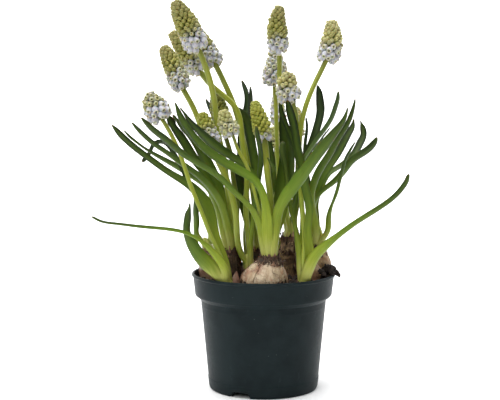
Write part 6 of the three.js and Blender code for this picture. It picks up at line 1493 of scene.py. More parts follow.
# --------------------------------------------------------------------- soil
rng = np.random.default_rng(7)


def soil_height(x, y):
    hx, hy = x - HEAP_RADIUS * math.cos(HEAP_ANGLE), y - HEAP_RADIUS * math.sin(HEAP_ANGLE)
    heap = HEAP_HEIGHT * np.exp(-(hx * hx + hy * hy * 0.6) / 40)
    lumps = 0.7 * np.sin(x * 0.45 + 1.3) * np.cos(y * 0.38) + 0.5 * np.sin(x * 0.21 - y * 0.33 + 0.4)
    return SOIL_LEVEL + lumps + heap + 0.03 * y


def ico(sub):
    t = (1 + 5**0.5) / 2
    v = [(-1, t, 0), (1, t, 0), (-1, -t, 0), (1, -t, 0), (0, -1, t), (0, 1, t), (0, -1, -t), (0, 1, -t), (t, 0, -1), (t, 0, 1), (-t, 0, -1), (-t, 0, 1)]
    f = [(0, 11, 5), (0, 5, 1), (0, 1, 7), (0, 7, 10), (0, 10, 11), (1, 5, 9), (5, 11, 4), (11, 10, 2), (10, 7, 6), (7, 1, 8), (3, 9, 4), (3, 4, 2), (3, 2, 6), (3, 6, 8), (3, 8, 9), (4, 9, 5), (2, 4, 11), (6, 2, 10), (8, 6, 7), (9, 8, 1)]
    v = [np.array(x, float) / np.linalg.norm(x) for x in v]
    for _ in range(sub):
        cache, g = {}, []

        def mid(a, b):
            k = (min(a, b), max(a, b))
            if k not in cache:
                m = v[a] + v[b]
                v.append(m / np.linalg.norm(m))
                cache[k] = len(v) - 1
            return cache[k]

        for a, b, c in f:
            x, y, z = mid(a, b), mid(b, c), mid(c, a)
            g += [(a, x, z), (b, y, x), (c, z, y), (x, y, z)]
        f = g
    return np.array(v), np.array(f)


ICO1, ICO2 = ico(1), ico(2)


def rotation(r):
    q = r.normal(size=4)
    q /= np.linalg.norm(q)
    w, x, y, z = q
    return np.array([[1 - 2 * (y * y + z * z), 2 * (x * y - z * w), 2 * (x * z + y * w)], [2 * (x * y + z * w), 1 - 2 * (x * x + z * z), 2 * (y * z - x * w)], [2 * (x * z - y * w), 2 * (y * z + x * w), 1 - 2 * (x * x + y * y)]])


def crumb(sk, r, pos, size, shape=(1, 1, 1), rough=0.35, base=ICO1, tone=None, turn=None):
    v, f = base
    ph = r.uniform(0, 50)
    k = 1 + rough * noise_at(v, 1.6, ph) * 1.6
    p = (v * k[:, None]) * np.array(shape) * size
    p = p @ (rotation(r) if turn is None else turn).T + pos
    sk.add(p, tris=f, rnd=r.uniform() if tone is None else tone)


def bulb_holes():
    return [(b["rings"], max(x[3] for x in b["rings"])) for b in BULBS.values()]


def inside_bulb(x, y, z, grow=0.0):
    for b in BULBS.values():
        r = np.array(b["rings"])
        if z < r[0, 2] or z > r[-1, 2]:
            continue
        cx, cy, rr = (np.interp(z, r[:, 2], r[:, c]) for c in (0, 1, 3))
        if (x - cx) ** 2 + (y - cy) ** 2 < (rr + grow) ** 2:
            return True
    return False


def make_soil():
    sk = Skin("rnd")
    spokes = 180
    th = np.arange(spokes) / spokes * TAU
    radii = np.r_[np.linspace(0.6, 38, 56), 39.2, 40.2, 41.0, 41.6]
    rings = []

    def flat(rad, z):
        return np.stack([rad * np.cos(th), rad * np.sin(th), np.full(spokes, z)], 1)

    rings.append(flat(wall_radius(4) - WALL - 1.1, FLOOR_Z + 0.35))
    rings.append(flat(STEP_RADIUS - WALL - 0.6, STEP_Z + 0.2))
    rings.append(flat(BAND_BOTTOM_RADIUS - WALL - 0.8, BAND_BOTTOM_Z + 2))
    rings.append(flat(42.1, SOIL_LEVEL - 2.8))
    for rad in radii[::-1]:
        x, y = rad * np.cos(th), rad * np.sin(th)
        z = soil_height(x, y)
        p = np.stack([x, y, np.zeros(spokes)], 1)
        n = fractal(p, 0.16, 3, 3.0) * 1.1 + fractal(p, 0.55, 4, 9.0) * 0.75
        edge = np.clip((42.2 - rad) / 3, 0.25, 1)
        rings.append(np.stack([x, y, z - 0.5 + n * edge], 1))
    V = np.concatenate(rings)
    m = len(rings)
    sk.add(V, tube_quads(m, spokes), np.vstack([cap_tris(0, spokes, True), cap_tris((m - 1) * spokes, spokes)]), rnd=0.5)
    ob = outward(sk.build("compost", SOIL_MAT))
    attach(ob, "root")
    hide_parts("soil")

    r = np.random.default_rng(11)
    cr = Skin("rnd")
    made = 0
    while made < 760:
        rad, a = 42.2 * math.sqrt(r.uniform()), r.uniform(0, TAU)
        x, y = rad * math.cos(a), rad * math.sin(a)
        size = 0.5 + 1.3 * r.uniform() ** 2.6
        if rad + size > 42.6:
            continue
        z = float(soil_height(np.array(x), np.array(y))) + 0.1 * size
        if inside_bulb(x, y, z + 0.3, -0.2):
            continue
        crumb(cr, r, (x, y, z), size, r.uniform(0.6, 1.35, 3) * np.array([1, 1, 0.75]))
        made += 1
    # the heap against the rim, with bark and clods, and a little over the lip
    for i in range(150):
        a = HEAP_ANGLE + r.normal(0, 0.30)
        rad = min(38.5 + r.normal(0, 2.6), 42.3)
        x, y = rad * math.cos(a), rad * math.sin(a)
        if inside_bulb(x, y, 74, 0.2):
            continue
        z = float(soil_height(np.array(x), np.array(y))) + r.uniform(-0.4, 1.4)
        crumb(cr, r, (x, y, z), 0.7 + 1.5 * r.uniform() ** 1.6, r.uniform(0.5, 1.4, 3), 0.5, tone=r.uniform(0, 0.6))
    for (x, y, z, s, sh) in (
        (41.0, -10.5, 76.2, 2.5, (1.3, 1, 0.75)), (43.2, -8.0, 75.4, 1.9, (1.2, 1, 0.7)), (44.6, -10.0, 74.3, 1.5, (1.2, 1, 0.8)),
        (46.2, -9.2, 72.6, 1.35, (1.2, 0.9, 0.9)), (47.0, -8.4, 71.4, 0.9, (1.3, 0.9, 0.8)), (45.9, -10.6, 73.9, 0.8, (1, 1, 1)),
        (38.2, -12.0, 76.6, 2.2, (1.4, 1, 0.6)), (35.6, -14.2, 75.2, 1.8, (1.2, 1, 0.7)), (40.4, -6.0, 77.0, 2.0, (1.2, 1.1, 0.7)),
        (36.8, -17.4, 73.8, 1.6, (1.3, 0.9, 0.7)), (42.3, -4.2, 75.6, 1.6, (1, 1.2, 0.8)), (41.5, -13.2, 74.6, 1.7, (1.2, 1, 0.8)),
    ):
        crumb(cr, r, (x, y, z), s, sh, 0.55, ICO2, tone=r.uniform(0, 0.5))
    ob = cr.build("compost_crumbs", SOIL_MAT)
    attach(ob, "root")


make_soil()

# -------------------------------------------------------------------- bulbs
BULB_LOOK = {
    "A": "pink", "A2": "pink", "B": "brown", "K": "olive", "C": "front", "D": "olive", "E": "tan", "E2": "front", "F": "pink", "G": "tan", "H": "brown",
}
BULB_NODE = {
    "bulb_front": ("C",), "bulb_left": ("B", "K"), "bulb_far_left": ("F",), "bulb_middle": ("H",), "bulb_back_right": ("D",),
    "bulb_right": ("E", "E2"), "bulb_buried_left": ("A", "A2"), "bulb_buried_right": ("G",),
}


def bulb_line(key, m):
    r = np.array(BULBS[key]["rings"], float)
    z = np.linspace(0, 1, m)
    # centre and radius by height, eased, so that the shoulder is round
    zz = r[0, 2] + (r[-1, 2] - r[0, 2]) * z
    out = np.stack([np.interp(zz, r[:, 2], r[:, c]) for c in (0, 1, 3)], 1)
    for _ in range(6):
        out[1:-1] = (out[:-2] + 2 * out[1:-1] + out[2:]) / 4
    return zz, out[:, 0], out[:, 1], out[:, 2]


def bulb_surface(key, th, t, lift=0.0, seed=0.0):
    """Points at turns th and heights t (0 base, 1 collar), lifted off the skin."""
    zz, cx, cy, rr = bulb_line(key, 61)
    k = np.clip(np.asarray(t) * 60, 0, 60)
    z, x, y, r = (np.interp(k, np.arange(61), c) for c in (zz, cx, cy, rr))
    wob = np.array([mnoise.noise((math.cos(a) * 1.1 + seed, math.sin(a) * 1.1, q * 2.0 + seed)) for a, q in zip(th, t)])
    rib = np.array([mnoise.noise((math.cos(a) * 7 + seed, math.sin(a) * 7, q * 1.2)) for a, q in zip(th, t)])
    rad = r * (1 + 0.045 * wob) + 0.10 * rib * np.minimum(1, r / 6) + lift
    return np.stack([x + rad * np.cos(th), y + rad * np.sin(th), z], 1)


def make_bulb(name, keys):
    mats, obs = [], []
    for j, key in enumerate(keys):
        sk = Skin("up", "ang", "neck")
        sides, m = 76, 54
        t = np.repeat(np.linspace(0, 1, m), sides)
        th = np.tile(np.arange(sides) / sides * TAU, m)
        seed = 3.7 * (1 + list(BULBS).index(key))
        V = bulb_surface(key, th, t, 0.0, seed)
        cup = BULBS[key]["cup"]
        tr = cap_tris(0, sides, True)
        rings = m
        if cup:
            x, y, z, r = cup
            top = V[-sides:, 2].mean()
            ph = np.arange(sides) / sides * TAU
            extra = [np.stack([x + (r + 0.15) * np.cos(ph), y + (r + 0.15) * np.sin(ph), np.full(sides, top)], 1), np.stack([x + r * np.cos(ph), y + r * np.sin(ph), np.full(sides, z)], 1)]
            V = np.vstack([V] + extra)
            t = np.r_[t, np.ones(2 * sides)]
            th = np.r_[th, ph, ph]
            rings += 2
        tr = np.vstack([tr, cap_tris((rings - 1) * sides, sides)])
        H = V[:, 2]
        neck = smooth((t - 0.80) / 0.2) if cup else smooth((t - 0.75) / 0.25) * 0.5
        sk.add(V, tube_quads(rings, sides), tr, up=(H - H.min()) * 0.1, ang=th * 1.0, neck=neck)
        # the seam of the turn is at the back: th runs 0 to 2 pi from +X
        ob = outward(sk.build(f"{name}_{'skin' if j == 0 else 'offset'}", TUNIC[BULB_LOOK[key]]))
        obs.append(ob)
    return obs


def flake(sk, r, key, th0, th1, t0, t1, lift, curl, seed, rag=0.12, tone=0.3):
    """A torn papery outer scale, lying on the bulb and lifting at its edges."""
    nu, nv = 22, 15
    u, v = np.meshgrid(np.linspace(0, 1, nu), np.linspace(0, 1, nv))
    u, v = u.ravel(), v.ravel()
    du = np.array([mnoise.noise((b * 5, seed, 1.0 if a > 0.5 else 7.0)) for a, b in zip(u, v)]) * rag
    dv = np.array([mnoise.noise((a * 6, seed + 3, 2.0 if b > 0.5 else 9.0)) for a, b in zip(u, v)]) * rag
    w = np.abs(2 * u - 1) ** 3
    h = np.abs(2 * v - 1) ** 3
    th = th0 + (th1 - th0) * (u + du * w)
    t = t0 + (t1 - t0) * (v + dv * h)
    edge = np.maximum(np.abs(2 * u - 1), np.maximum(2 * v - 1, 0))
    crinkle = np.array([mnoise.noise((a * 6 + seed, b * 5, seed)) for a, b in zip(u, v)])
    off = lift + curl * np.clip((edge - 0.55) / 0.45, 0, 1) ** 2 * (0.7 + 0.5 * crinkle) + 0.12 * crinkle
    top = bulb_surface(key, th, np.clip(t, 0, 1), off, 3.7 * (1 + list(BULBS).index(key)))
    low = bulb_surface(key, th, np.clip(t, 0, 1), off - 0.16, 3.7 * (1 + list(BULBS).index(key)))
    n = len(top)
    q = tube_quads(nv, nu, wrap=False)
    back = q[:, ::-1] + n
    rim = []
    order = list(range(nu)) + [k * nu + nu - 1 for k in range(1, nv)] + [(nv - 1) * nu + k for k in range(nu - 2, -1, -1)] + [k * nu for k in range(nv - 2, 0, -1)]
    for a, b in zip(order, order[1:] + order[:1]):
        rim.append((a, a + n, b + n, b))
    H = np.r_[top[:, 2], low[:, 2]]
    sk.add(np.vstack([top, low]), np.vstack([q, back, rim]), up=(H - 50) * 0.1, ang=np.r_[th, th] + seed, neck=0.15 + 0.3 * np.r_[t, t] ** 4, rnd=tone)


def collar(sk, r, key, count, height, lean, radius=None, z0=None, wide=1.0):
    """Ragged dry shreds standing round the neck."""
    x, y, z, rr = BULBS[key]["rings"][-1]
    if radius is None:
        radius = rr
    for i in range(count):
        a = TAU * (i + r.uniform(-0.3, 0.3)) / count
        w = wide * r.uniform(0.9, 2.4)
        h = height * r.uniform(0.35, 1.0)
        n, m = 7, 5
        s = np.linspace(0, 1, n)
        out = lean * r.normal(0.25, 0.6)
        base_z = (z if z0 is None else z0) - 1.7
        bend = r.uniform(-0.5, 0.9)
        for sgn in (1,):
            rad = radius + 0.12 + out * s**1.6 * h * 0.55
            zz = base_z + 1.7 * s + h * (s - 0.18 * bend * s * s)
            width = w * (1 - s**1.7 * 0.85)
            tw = a + r.normal(0, 0.08) + r.normal(0, 0.15) * s
            cc = np.stack([x + rad * np.cos(tw), y + rad * np.sin(tw), zz], 1)
            tangent = np.stack([-np.sin(tw), np.cos(tw), np.zeros(n)], 1)
            radial = np.stack([np.cos(tw), np.sin(tw), np.zeros(n)], 1)
            across = np.linspace(-0.5, 0.5, m)
            P = []
            for lay in (0.09, -0.09):
                for k in range(n):
                    curl = (across**2) * -0.9 * width[k] * 0.5
                    P.append(cc[k] + tangent[k] * (across * width[k])[:, None] + radial[k] * (curl + lay)[:, None])
            P = np.concatenate(P)
            ph = r.uniform(0, 40)
            P += np.stack([noise_at(P, 0.9, ph), noise_at(P, 0.9, ph + 9), noise_at(P, 0.9, ph + 17)], 1) * 0.22
            q = tube_quads(n, m, wrap=False)
            N = n * m
            order = list(range(m)) + [k * m + m - 1 for k in range(1, n)] + [(n - 1) * m + k for k in range(m - 2, -1, -1)] + [k * m for k in range(n - 2, 0, -1)]
            rim = [(p0, p0 + N, p1 + N, p1) for p0, p1 in zip(order, order[1:] + order[:1])]
            sk.add(P, np.vstack([q, q[:, ::-1] + N, rim]), rnd=r.uniform())


def make_bulbs():
    r = np.random.default_rng(23)
    for name, keys in BULB_NODE.items():
        obs = make_bulb(name, keys)
        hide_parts(name)
        for ob in obs:
            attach(ob, "root")
    # torn scales
    A = math.radians
    sk = Skin("up", "ang", "neck", "rnd")
    flake(sk, r, "C", A(-150), A(-118), 0.42, 0.86, 0.25, 0.6, 2.0, 0.2)
    flake(sk, r, "C", A(-70), A(-28), 0.3, 0.78, 0.25, 0.45, 5.0, 0.18)
    flake(sk, r, "C", A(10), A(80), 0.35, 0.84, 0.25, 0.6, 8.0, 0.15)
    flake(sk, r, "C", A(110), A(175), 0.3, 0.8, 0.25, 0.6, 11.0, 0.15)
    ob = sk.build("torn_scales_front", TUNIC["front"])
    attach(ob, "root")
    sk = Skin("up", "ang", "neck", "rnd")
    flake(sk, r, "C", A(-146), A(-104), 0.12, 0.46, 0.25, 0.4, 7.0, 0.3)
    flake(sk, r, "F", A(-140), A(-70), 0.5, 0.92, 0.22, 0.5, 4.0, 0.2)
    flake(sk, r, "F", A(60), A(150), 0.4, 0.88, 0.22, 0.5, 6.0, 0.2)
    ob = sk.build("torn_scales_pale", TUNIC["pink"])
    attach(ob, "root")
    sk = Skin("up", "ang", "neck", "rnd")
    for a0, a1, t0, t1, c in ((-158, -122, 0.84, 1.0, 0.9), (-112, -88, 0.87, 1.01, 0.7), (-80, -52, 0.83, 1.0, 0.8), (-40, -6, 0.82, 1.0, 0.9), (10, 50, 0.84, 1.0, 0.8), (130, 170, 0.84, 1.0, 0.8), (60, 120, 0.85, 1.0, 0.7)):
        flake(sk, r, "C", A(a0), A(a1), t0, t1, 0.3, c, 1.0 + a0, 0.5)
    for a0, a1, t0, t1, c in ((-60, -25, 0.1, 0.5, 0.9), (-170, -140, 0.15, 0.5, 0.8)):
        flake(sk, r, "C", A(a0), A(a1), t0, t1, 0.3, c, 1.0 + a0, 0.4)
    for a0, a1, t0, t1, c in ((-150, -105, 0.78, 1.0, 1.2), (-60, -10, 0.8, 1.0, 1.0)):
        flake(sk, r, "D", A(a0), A(a1), t0, t1, 0.3, c, 2.0 + a0, 0.4)
    for a0, a1, t0, t1, c in ((-150, -105, 0.5, 0.94, 1.1), (-95, -50, 0.42, 0.9, 1.0), (-40, 10, 0.5, 0.95, 1.3)):
        flake(sk, r, "B", A(a0), A(a1), t0, t1, 0.3, c, 5.0 + a0, 0.3)
    for key, n in (("B", 6), ("D", 2), ("H", 3), ("K", 2)):
        for i in range(n):
            a = r.uniform(0, TAU)
            t0 = r.uniform(0.3, 0.6)
            flake(sk, r, key, a, a + r.uniform(0.5, 1.1), t0, t0 + r.uniform(0.2, 0.42), 0.25, 0.9, r.uniform(0, 30), 0.25)
    ob = sk.build("torn_scales_dark", TUNIC["brown"])
    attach(ob, "root")
    sk = Skin("up", "ang", "neck", "rnd")
    for a0, a1, t0, t1, c in ((-165, -110, 0.55, 0.97, 1.6), (-120, -75, 0.62, 1.0, 1.2), (-70, -20, 0.5, 0.93, 1.5), (-30, 25, 0.45, 0.9, 1.8), (150, 200, 0.5, 0.92, 1.7), (40, 95, 0.5, 0.95, 1.3)):
        flake(sk, r, "D", A(a0), A(a1), t0, t1, 0.3, c, 3.0 + a0, 0.34)
    ob = sk.build("torn_scales_middle", TUNIC["olive"])
    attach(ob, "root")
    sk = Skin("rnd")
    collar(sk, r, "C", 26, 2.6, 1.0)
    collar(sk, r, "C", 18, 1.6, 1.4, z0=85.6, radius=6.3)
    collar(sk, r, "C", 20, 2.4, 1.8, z0=83.2, radius=8.2, wide=1.3)
    collar(sk, r, "D", 22, 3.2, 1.6, z0=83.5, radius=9.6, wide=1.6)
    collar(sk, r, "F", 12, 2.4, 1.4, z0=81.5, radius=6.9, wide=1.3)
    collar(sk, r, "E", 14, 2.6, 1.3, z0=84.2, radius=7.0, wide=1.2)
    collar(sk, r, "B", 22, 3.4, 0.9)
    collar(sk, r, "B", 14, 3.0, 1.0, z0=83, radius=6.3)
    collar(sk, r, "K", 12, 2.2, 0.8)
    collar(sk, r, "D", 24, 4.0, 0.9)
    collar(sk, r, "D", 16, 3.5, 1.2, z0=87, radius=7.4)
    collar(sk, r, "E", 20, 2.6, 1.2)
    collar(sk, r, "F", 16, 2.4, 1.0)
    collar(sk, r, "H", 16, 2.6, 1.0)
    collar(sk, r, "A", 10, 1.2, 0.5)
    collar(sk, r, "G", 10, 1.2, 0.5)
    ob = sk.build("neck_shreds", SCRAP_MAT)
    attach(ob, "root")


make_bulbs()

# ------------------------------------------------------------------- leaves
CHANNEL, BLADE_FOOT, BLADE_MIDDLE, BLADE_TIP = 0.16, 1.0, 1.1, 0.5


def make_leaf(name, tone, rows, index, own=True):
    rows = np.array(rows, float)
    st = 1 - (1 - np.linspace(0, 1, 78)) ** 1.45
    R = spline(rows, at=st)
    C = R[:, :3]
    T = unit(np.gradient(C, axis=0))
    N = R[:, 3:6]
    N = unit(N - (N * T).sum(1)[:, None] * T)
    W = np.cross(T, N)
    seg = np.r_[0, np.cumsum(np.linalg.norm(np.diff(C, axis=0), axis=1))]
    s = seg / seg[-1]
    d0 = np.r_[0, np.cumsum(np.linalg.norm(np.diff(rows[:, :3], axis=0), axis=1))]
    width = np.interp(s, d0 / d0[-1], rows[:, 6])
    foot = FOOT.get(name, rows[0, 6])
    k = 1 - smooth((seg - 20) / 22)
    width = np.maximum(width, width * (1 - k) + foot * (0.94 + 0.06 * seg / 20) * k)
    for _ in range(4):
        width[1:-1] = (width[:-2] + 2 * width[1:-1] + width[2:]) / 4
    # blunt hooded tip
    tipd = seg[-1] - seg
    end = float(np.interp(1 - 6 / seg[-1], s, width))
    width = np.minimum(width, np.maximum(0.3, end * 1.06 * np.sqrt(np.clip(1 - (1 - np.clip(tipd / (end * 1.15), 0, 1)) ** 2, 0, 1)) + 0.4 * np.maximum(tipd - end * 1.15, 0)))
    r = np.random.default_rng(100 + index)
    ph = r.uniform(0, 40)
    wav = np.array([mnoise.noise((ph, x * 0.06, 0)) for x in seg])
    width = width * (1 + 0.05 * wav * np.clip(s * 4, 0, 1))
    thick = np.where(s < 0.4, BLADE_FOOT + (BLADE_MIDDLE - BLADE_FOOT) * s / 0.4, BLADE_MIDDLE + (BLADE_TIP - BLADE_MIDDLE) * (s - 0.4) / 0.6)
    thick = np.minimum(thick, width * 0.8) * np.clip(0.35 + tipd / 3.0, 0, 1)
    m = 13
    a = np.sin(np.linspace(-math.pi / 2, math.pi / 2, m))
    half = (1 - np.abs(a) ** 2.4) ** 0.75
    ring_a = np.r_[a, a[-2:0:-1]]
    ring_s = np.r_[half, -half[-2:0:-1]]
    n = len(ring_a)
    rip = np.array([[mnoise.noise((ph + 9, x * 0.045, 3.0 if q > 0 else 8.0)) for q in ring_a] for x in seg])
    wrap = CHANNEL + 0.17 * (1 - smooth(seg / 30)) + 0.10 * smooth(1 - tipd / 9)
    lift = width[:, None] * wrap[:, None] * (ring_a[None, :] ** 2 - 0.35)
    lift = lift * (1 + 0.35 * rip * np.abs(ring_a)[None, :])
    # a fine keel along the back and a groove along the inner face
    keel = 0.10 * np.exp(-((ring_a / 0.16) ** 2))[None, :] * np.clip(s * 5, 0, 1)[:, None] * np.clip((1 - s) * 4, 0, 1)[:, None]
    body = ring_s[None, :] * thick[:, None] / 2
    P = C[:, None, :] + W[:, None, :] * (ring_a[None, :] * width[:, None] / 2)[..., None] + N[:, None, :] * (lift + body - keel)[..., None]
    V = P.reshape(-1, 3)
    k = len(C)
    V = np.vstack([V, C[0], C[-1] + T[-1] * 0.25])
    q = tube_quads(k, n)
    i = np.arange(n)
    t1 = np.stack([np.full(n, k * n), (i + 1) % n, i], 1)
    last = (k - 1) * n
    t2 = np.stack([np.full(n, k * n + 1), last + i, last + (i + 1) % n], 1)
    sk = Skin("s", "a", "side", "rnd", "dist")
    S = np.r_[np.repeat(s, n), 0, 1]
    Aa = np.r_[np.tile(ring_a, k), 0, 0]
    side = np.r_[np.tile(np.sign(ring_s + 1e-9), k), 0, 0]
    sk.add(V, q, np.vstack([t1, t2]), s=S, a=Aa, side=side, rnd=r.uniform(0, 20), dist=np.r_[np.repeat(seg, n), 0, seg[-1]])
    ob = outward(sk.build(name + "_blade", LEAF_MAT[tone]))
    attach(ob, "root")
    if own:
        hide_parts(name)


for index, (name, tone, rows) in enumerate(LEAVES):
    make_leaf(name, tone, rows, index)
for index, (name, tone, rows) in enumerate(EXTRAS):
    make_leaf(name, tone, rows, 60 + index, own=False)


def make_sheaths():
    """The leaf feet close round each other in a short pale neck."""
    sk = Skin("s", "a", "side", "rnd", "dist")
    groups = {"A": "buried_left", "B": "left", "K": "left_offset", "C": "front", "H": "middle", "D": "back_right", "E": "right", "F": "far_left", "G": "buried_right"}
    height = {"A": 7, "B": 15, "K": 9, "C": 17, "H": 12, "D": 12, "E": 14, "F": 8, "G": 8}
    for key, stem in groups.items():
        lines = [np.array([q[:3] for q in rows]) for n, _, rows in LEAVES if n.rsplit("_", 1)[0] == "leaf_" + stem]
        lines += [np.array([q[:3] for q in rows]) for n, _, _, _, rows in FLOWERS if n.rsplit("_", 1)[0] == "flower_" + stem]
        x0, y0, z0, r0 = BULBS[key]["cup"]
        top = BULBS[key]["rings"][-1][2]
        n, m = 40, 16
        th = np.arange(n) / n * TAU
        rings = []
        for i in range(m):
            t = i / (m - 1)
            z = z0 + 0.3 + (top + height[key] - z0) * t
            at = np.array([[np.interp(z, L[:, 2], L[:, 0]), np.interp(z, L[:, 2], L[:, 1])] for L in lines])
            c = at.mean(0) * smooth((z - top + 2) / 8) + np.array([x0, y0]) * (1 - smooth((z - top + 2) / 8))
            r = r0 * (0.93 - 0.22 * t) * math.sqrt(max(1 - t**5, 0.004))
            flute = 1 + 0.05 * np.cos(5 * th + 1.7 * t + x0) + 0.03 * np.cos(9 * th + y0)
            rings.append(np.stack([c[0] + r * flute * np.cos(th), c[1] + r * flute * np.sin(th), np.full(n, z)], 1))
        V = np.concatenate(rings)
        sk.add(V, tube_quads(m, n), np.vstack([cap_tris(0, n, True), cap_tris((m - 1) * n, n)]), s=0.02, a=np.tile(np.sin(th * 3), m), side=1.0, rnd=x0, dist=np.repeat(np.maximum(0, V[:, 2].reshape(m, n).mean(1) - top), n))
    ob = outward(sk.build("leaf_sheaths", LEAF_MAT["l"]))
    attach(ob, "root")


make_sheaths()

# ------------------------------------------------------------------ flowers
HEAD = np.array([[-0.15, 0.42], [0.0, 0.66], [0.06, 0.88], [0.2, 1.0], [0.42, 0.97], [0.62, 0.84], [0.8, 0.65], [0.93, 0.43], [1.0, 0.17]])
# share of the head, from its foot, that is open white bells
# up to which share of the head the bells hang open, up to which they are
# round and still half shut, how white those are, and how far the bells droop
SPIKES = {
    "flower_buried_left_1": (0.5, 1.2, 0.35, 0.8), "flower_left_1": (0.25, 0.34, 0.8, 1.0), "flower_left_2": (0.0, 0.2, 0.4, 1.0),
    "flower_left_offset_1": (0.36, 0.48, 0.75, 0.8), "flower_left_offset_2": (0.16, 0.30, 0.7, 1.0), "flower_front_1": (0.07, 0.12, 0.6, 1.0),
    "flower_middle_1": (0.16, 0.3, 0.7, 1.1), "flower_front_2": (0.14, 0.5, 0.35, 0.7), "flower_middle_2": (0.30, 0.48, 0.8, 0.9),
    "flower_back_right_1": (0.35, 0.85, 0.75, 0.5), "flower_back_right_2": (0.5, 1.1, 0.9, 0.8), "flower_back_right_3": (0.0, 0.3, 0.3, 1.0),
    "flower_right_1": (0.28, 0.5, 0.6, 0.75), "flower_right_2": (0.0, 0.1, 0.3, 1.0), "flower_far_left_1": (0.17, 0.36, 0.65, 1.0),
    "flower_buried_right_1": (0.24, 0.36, 0.7, 0.8),
}
BUD = np.array([[0, 0.16], [0.05, 0.5], [0.2, 0.86], [0.45, 1.0], [0.68, 0.98], [0.86, 0.84], [0.96, 0.62], [1.01, 0.40], [0.99, 0.26], [0.88, 0.17], [0.7, 0.12]])
BUD_PART = np.array([0, 0, 0, 0, 0, 0.1, 0.35, 0.5, 0.62, 1, 1])
ROUND = np.array([[0, 0.16], [0.04, 0.46], [0.16, 0.82], [0.38, 1.0], [0.6, 1.0], [0.78, 0.88], [0.88, 0.74], [0.94, 0.70], [1.0, 0.64], [1.02, 0.5], [0.98, 0.36], [0.86, 0.30], [0.6, 0.22]])
ROUND_PART = np.array([0, 0, 0, 0, 0, 0, 0.15, 0.4, 0.5, 0.5, 0.66, 1, 1])
BELL = np.array([[0, 0.14], [0.03, 0.40], [0.10, 0.68], [0.24, 0.92], [0.44, 1.0], [0.66, 0.98], [0.80, 0.86], [0.88, 0.76], [0.93, 0.74], [0.98, 0.78], [1.01, 0.72], [1.01, 0.58], [0.97, 0.42], [0.88, 0.34], [0.6, 0.3]])
BELL_PART = np.array([0, 0, 0, 0, 0, 0, 0, 0.1, 0.3, 0.5, 0.5, 0.5, 0.66, 1, 1])
CLOSED = np.array([[0, 0.16], [0.05, 0.5], [0.2, 0.86], [0.45, 1.0], [0.68, 0.97], [0.84, 0.82], [0.95, 0.55], [1.0, 0.28], [1.02, 0.06]])
SHAPES = ((BUD, BUD_PART), (ROUND, ROUND_PART), (BELL, BELL_PART), (CLOSED, np.zeros(9)))


def floret(sk, r, base, direction, length, radius, kind, white, sides=12, up=0.0):
    d = direction / np.linalg.norm(direction)
    ref = np.array([0, 0, 1.0]) if abs(d[2]) < 0.9 else np.array([1.0, 0, 0])
    x = np.cross(ref, d)
    x /= np.linalg.norm(x)
    y = np.cross(d, x)
    prof, part = SHAPES[kind]
    th = (np.arange(sides) + r.uniform()) / sides * TAU
    lobes = 1 + (0.03, 0.04, 0.05, 0.04)[kind] * np.cos(6 * (th - th[0]))[None, :] * np.clip((prof[:, 0] - 0.7) / 0.3, 0, 1)[:, None]
    rad = prof[:, 1][:, None] * radius * lobes
    zz = prof[:, 0][:, None] * length * (1 + 0.03 * np.cos(3 * th + r.uniform(0, 6)))[None, :]
    squash = 1 + r.normal(0, 0.03)
    bend = r.normal(0, 0.05, 2)
    P = base + x * (rad * np.cos(th) * squash)[..., None] + y * (rad * np.sin(th) / squash)[..., None] + d * zz[..., None]
    P = P + (x * bend[0] + y * bend[1]) * ((zz / length) ** 2 * length)[..., None]
    n = len(prof)
    q = tube_quads(n, sides)
    tr = np.vstack([cap_tris(0, sides, True), cap_tris((n - 1) * sides, sides)])
    sk.add(P.reshape(-1, 3), q, tr, white=white, part=np.repeat(part, sides), fz=np.repeat(prof[:, 0], sides), rnd=r.uniform(), ang=np.tile(th, n) + r.uniform(0, 9), up=up)


def thin(sk, p0, p1, r0, r1, sides=6, **a):
    d = p1 - p0
    d = d / max(np.linalg.norm(d), 1e-6)
    ref = np.array([0, 0, 1.0]) if abs(d[2]) < 0.9 else np.array([1.0, 0, 0])
    x = np.cross(ref, d)
    x /= np.linalg.norm(x)
    y = np.cross(d, x)
    th = np.arange(sides) / sides * TAU
    c = np.cos(th)[:, None] * x + np.sin(th)[:, None] * y
    V = np.vstack([p0 + c * r0, p1 + c * r1])
    sk.add(V, tube_quads(2, sides), np.vstack([cap_tris(0, sides, True), cap_tris(sides, sides)]), **a)


THICKER = {"flower_middle_1": 1.3, "flower_left_offset_2": 0.88}


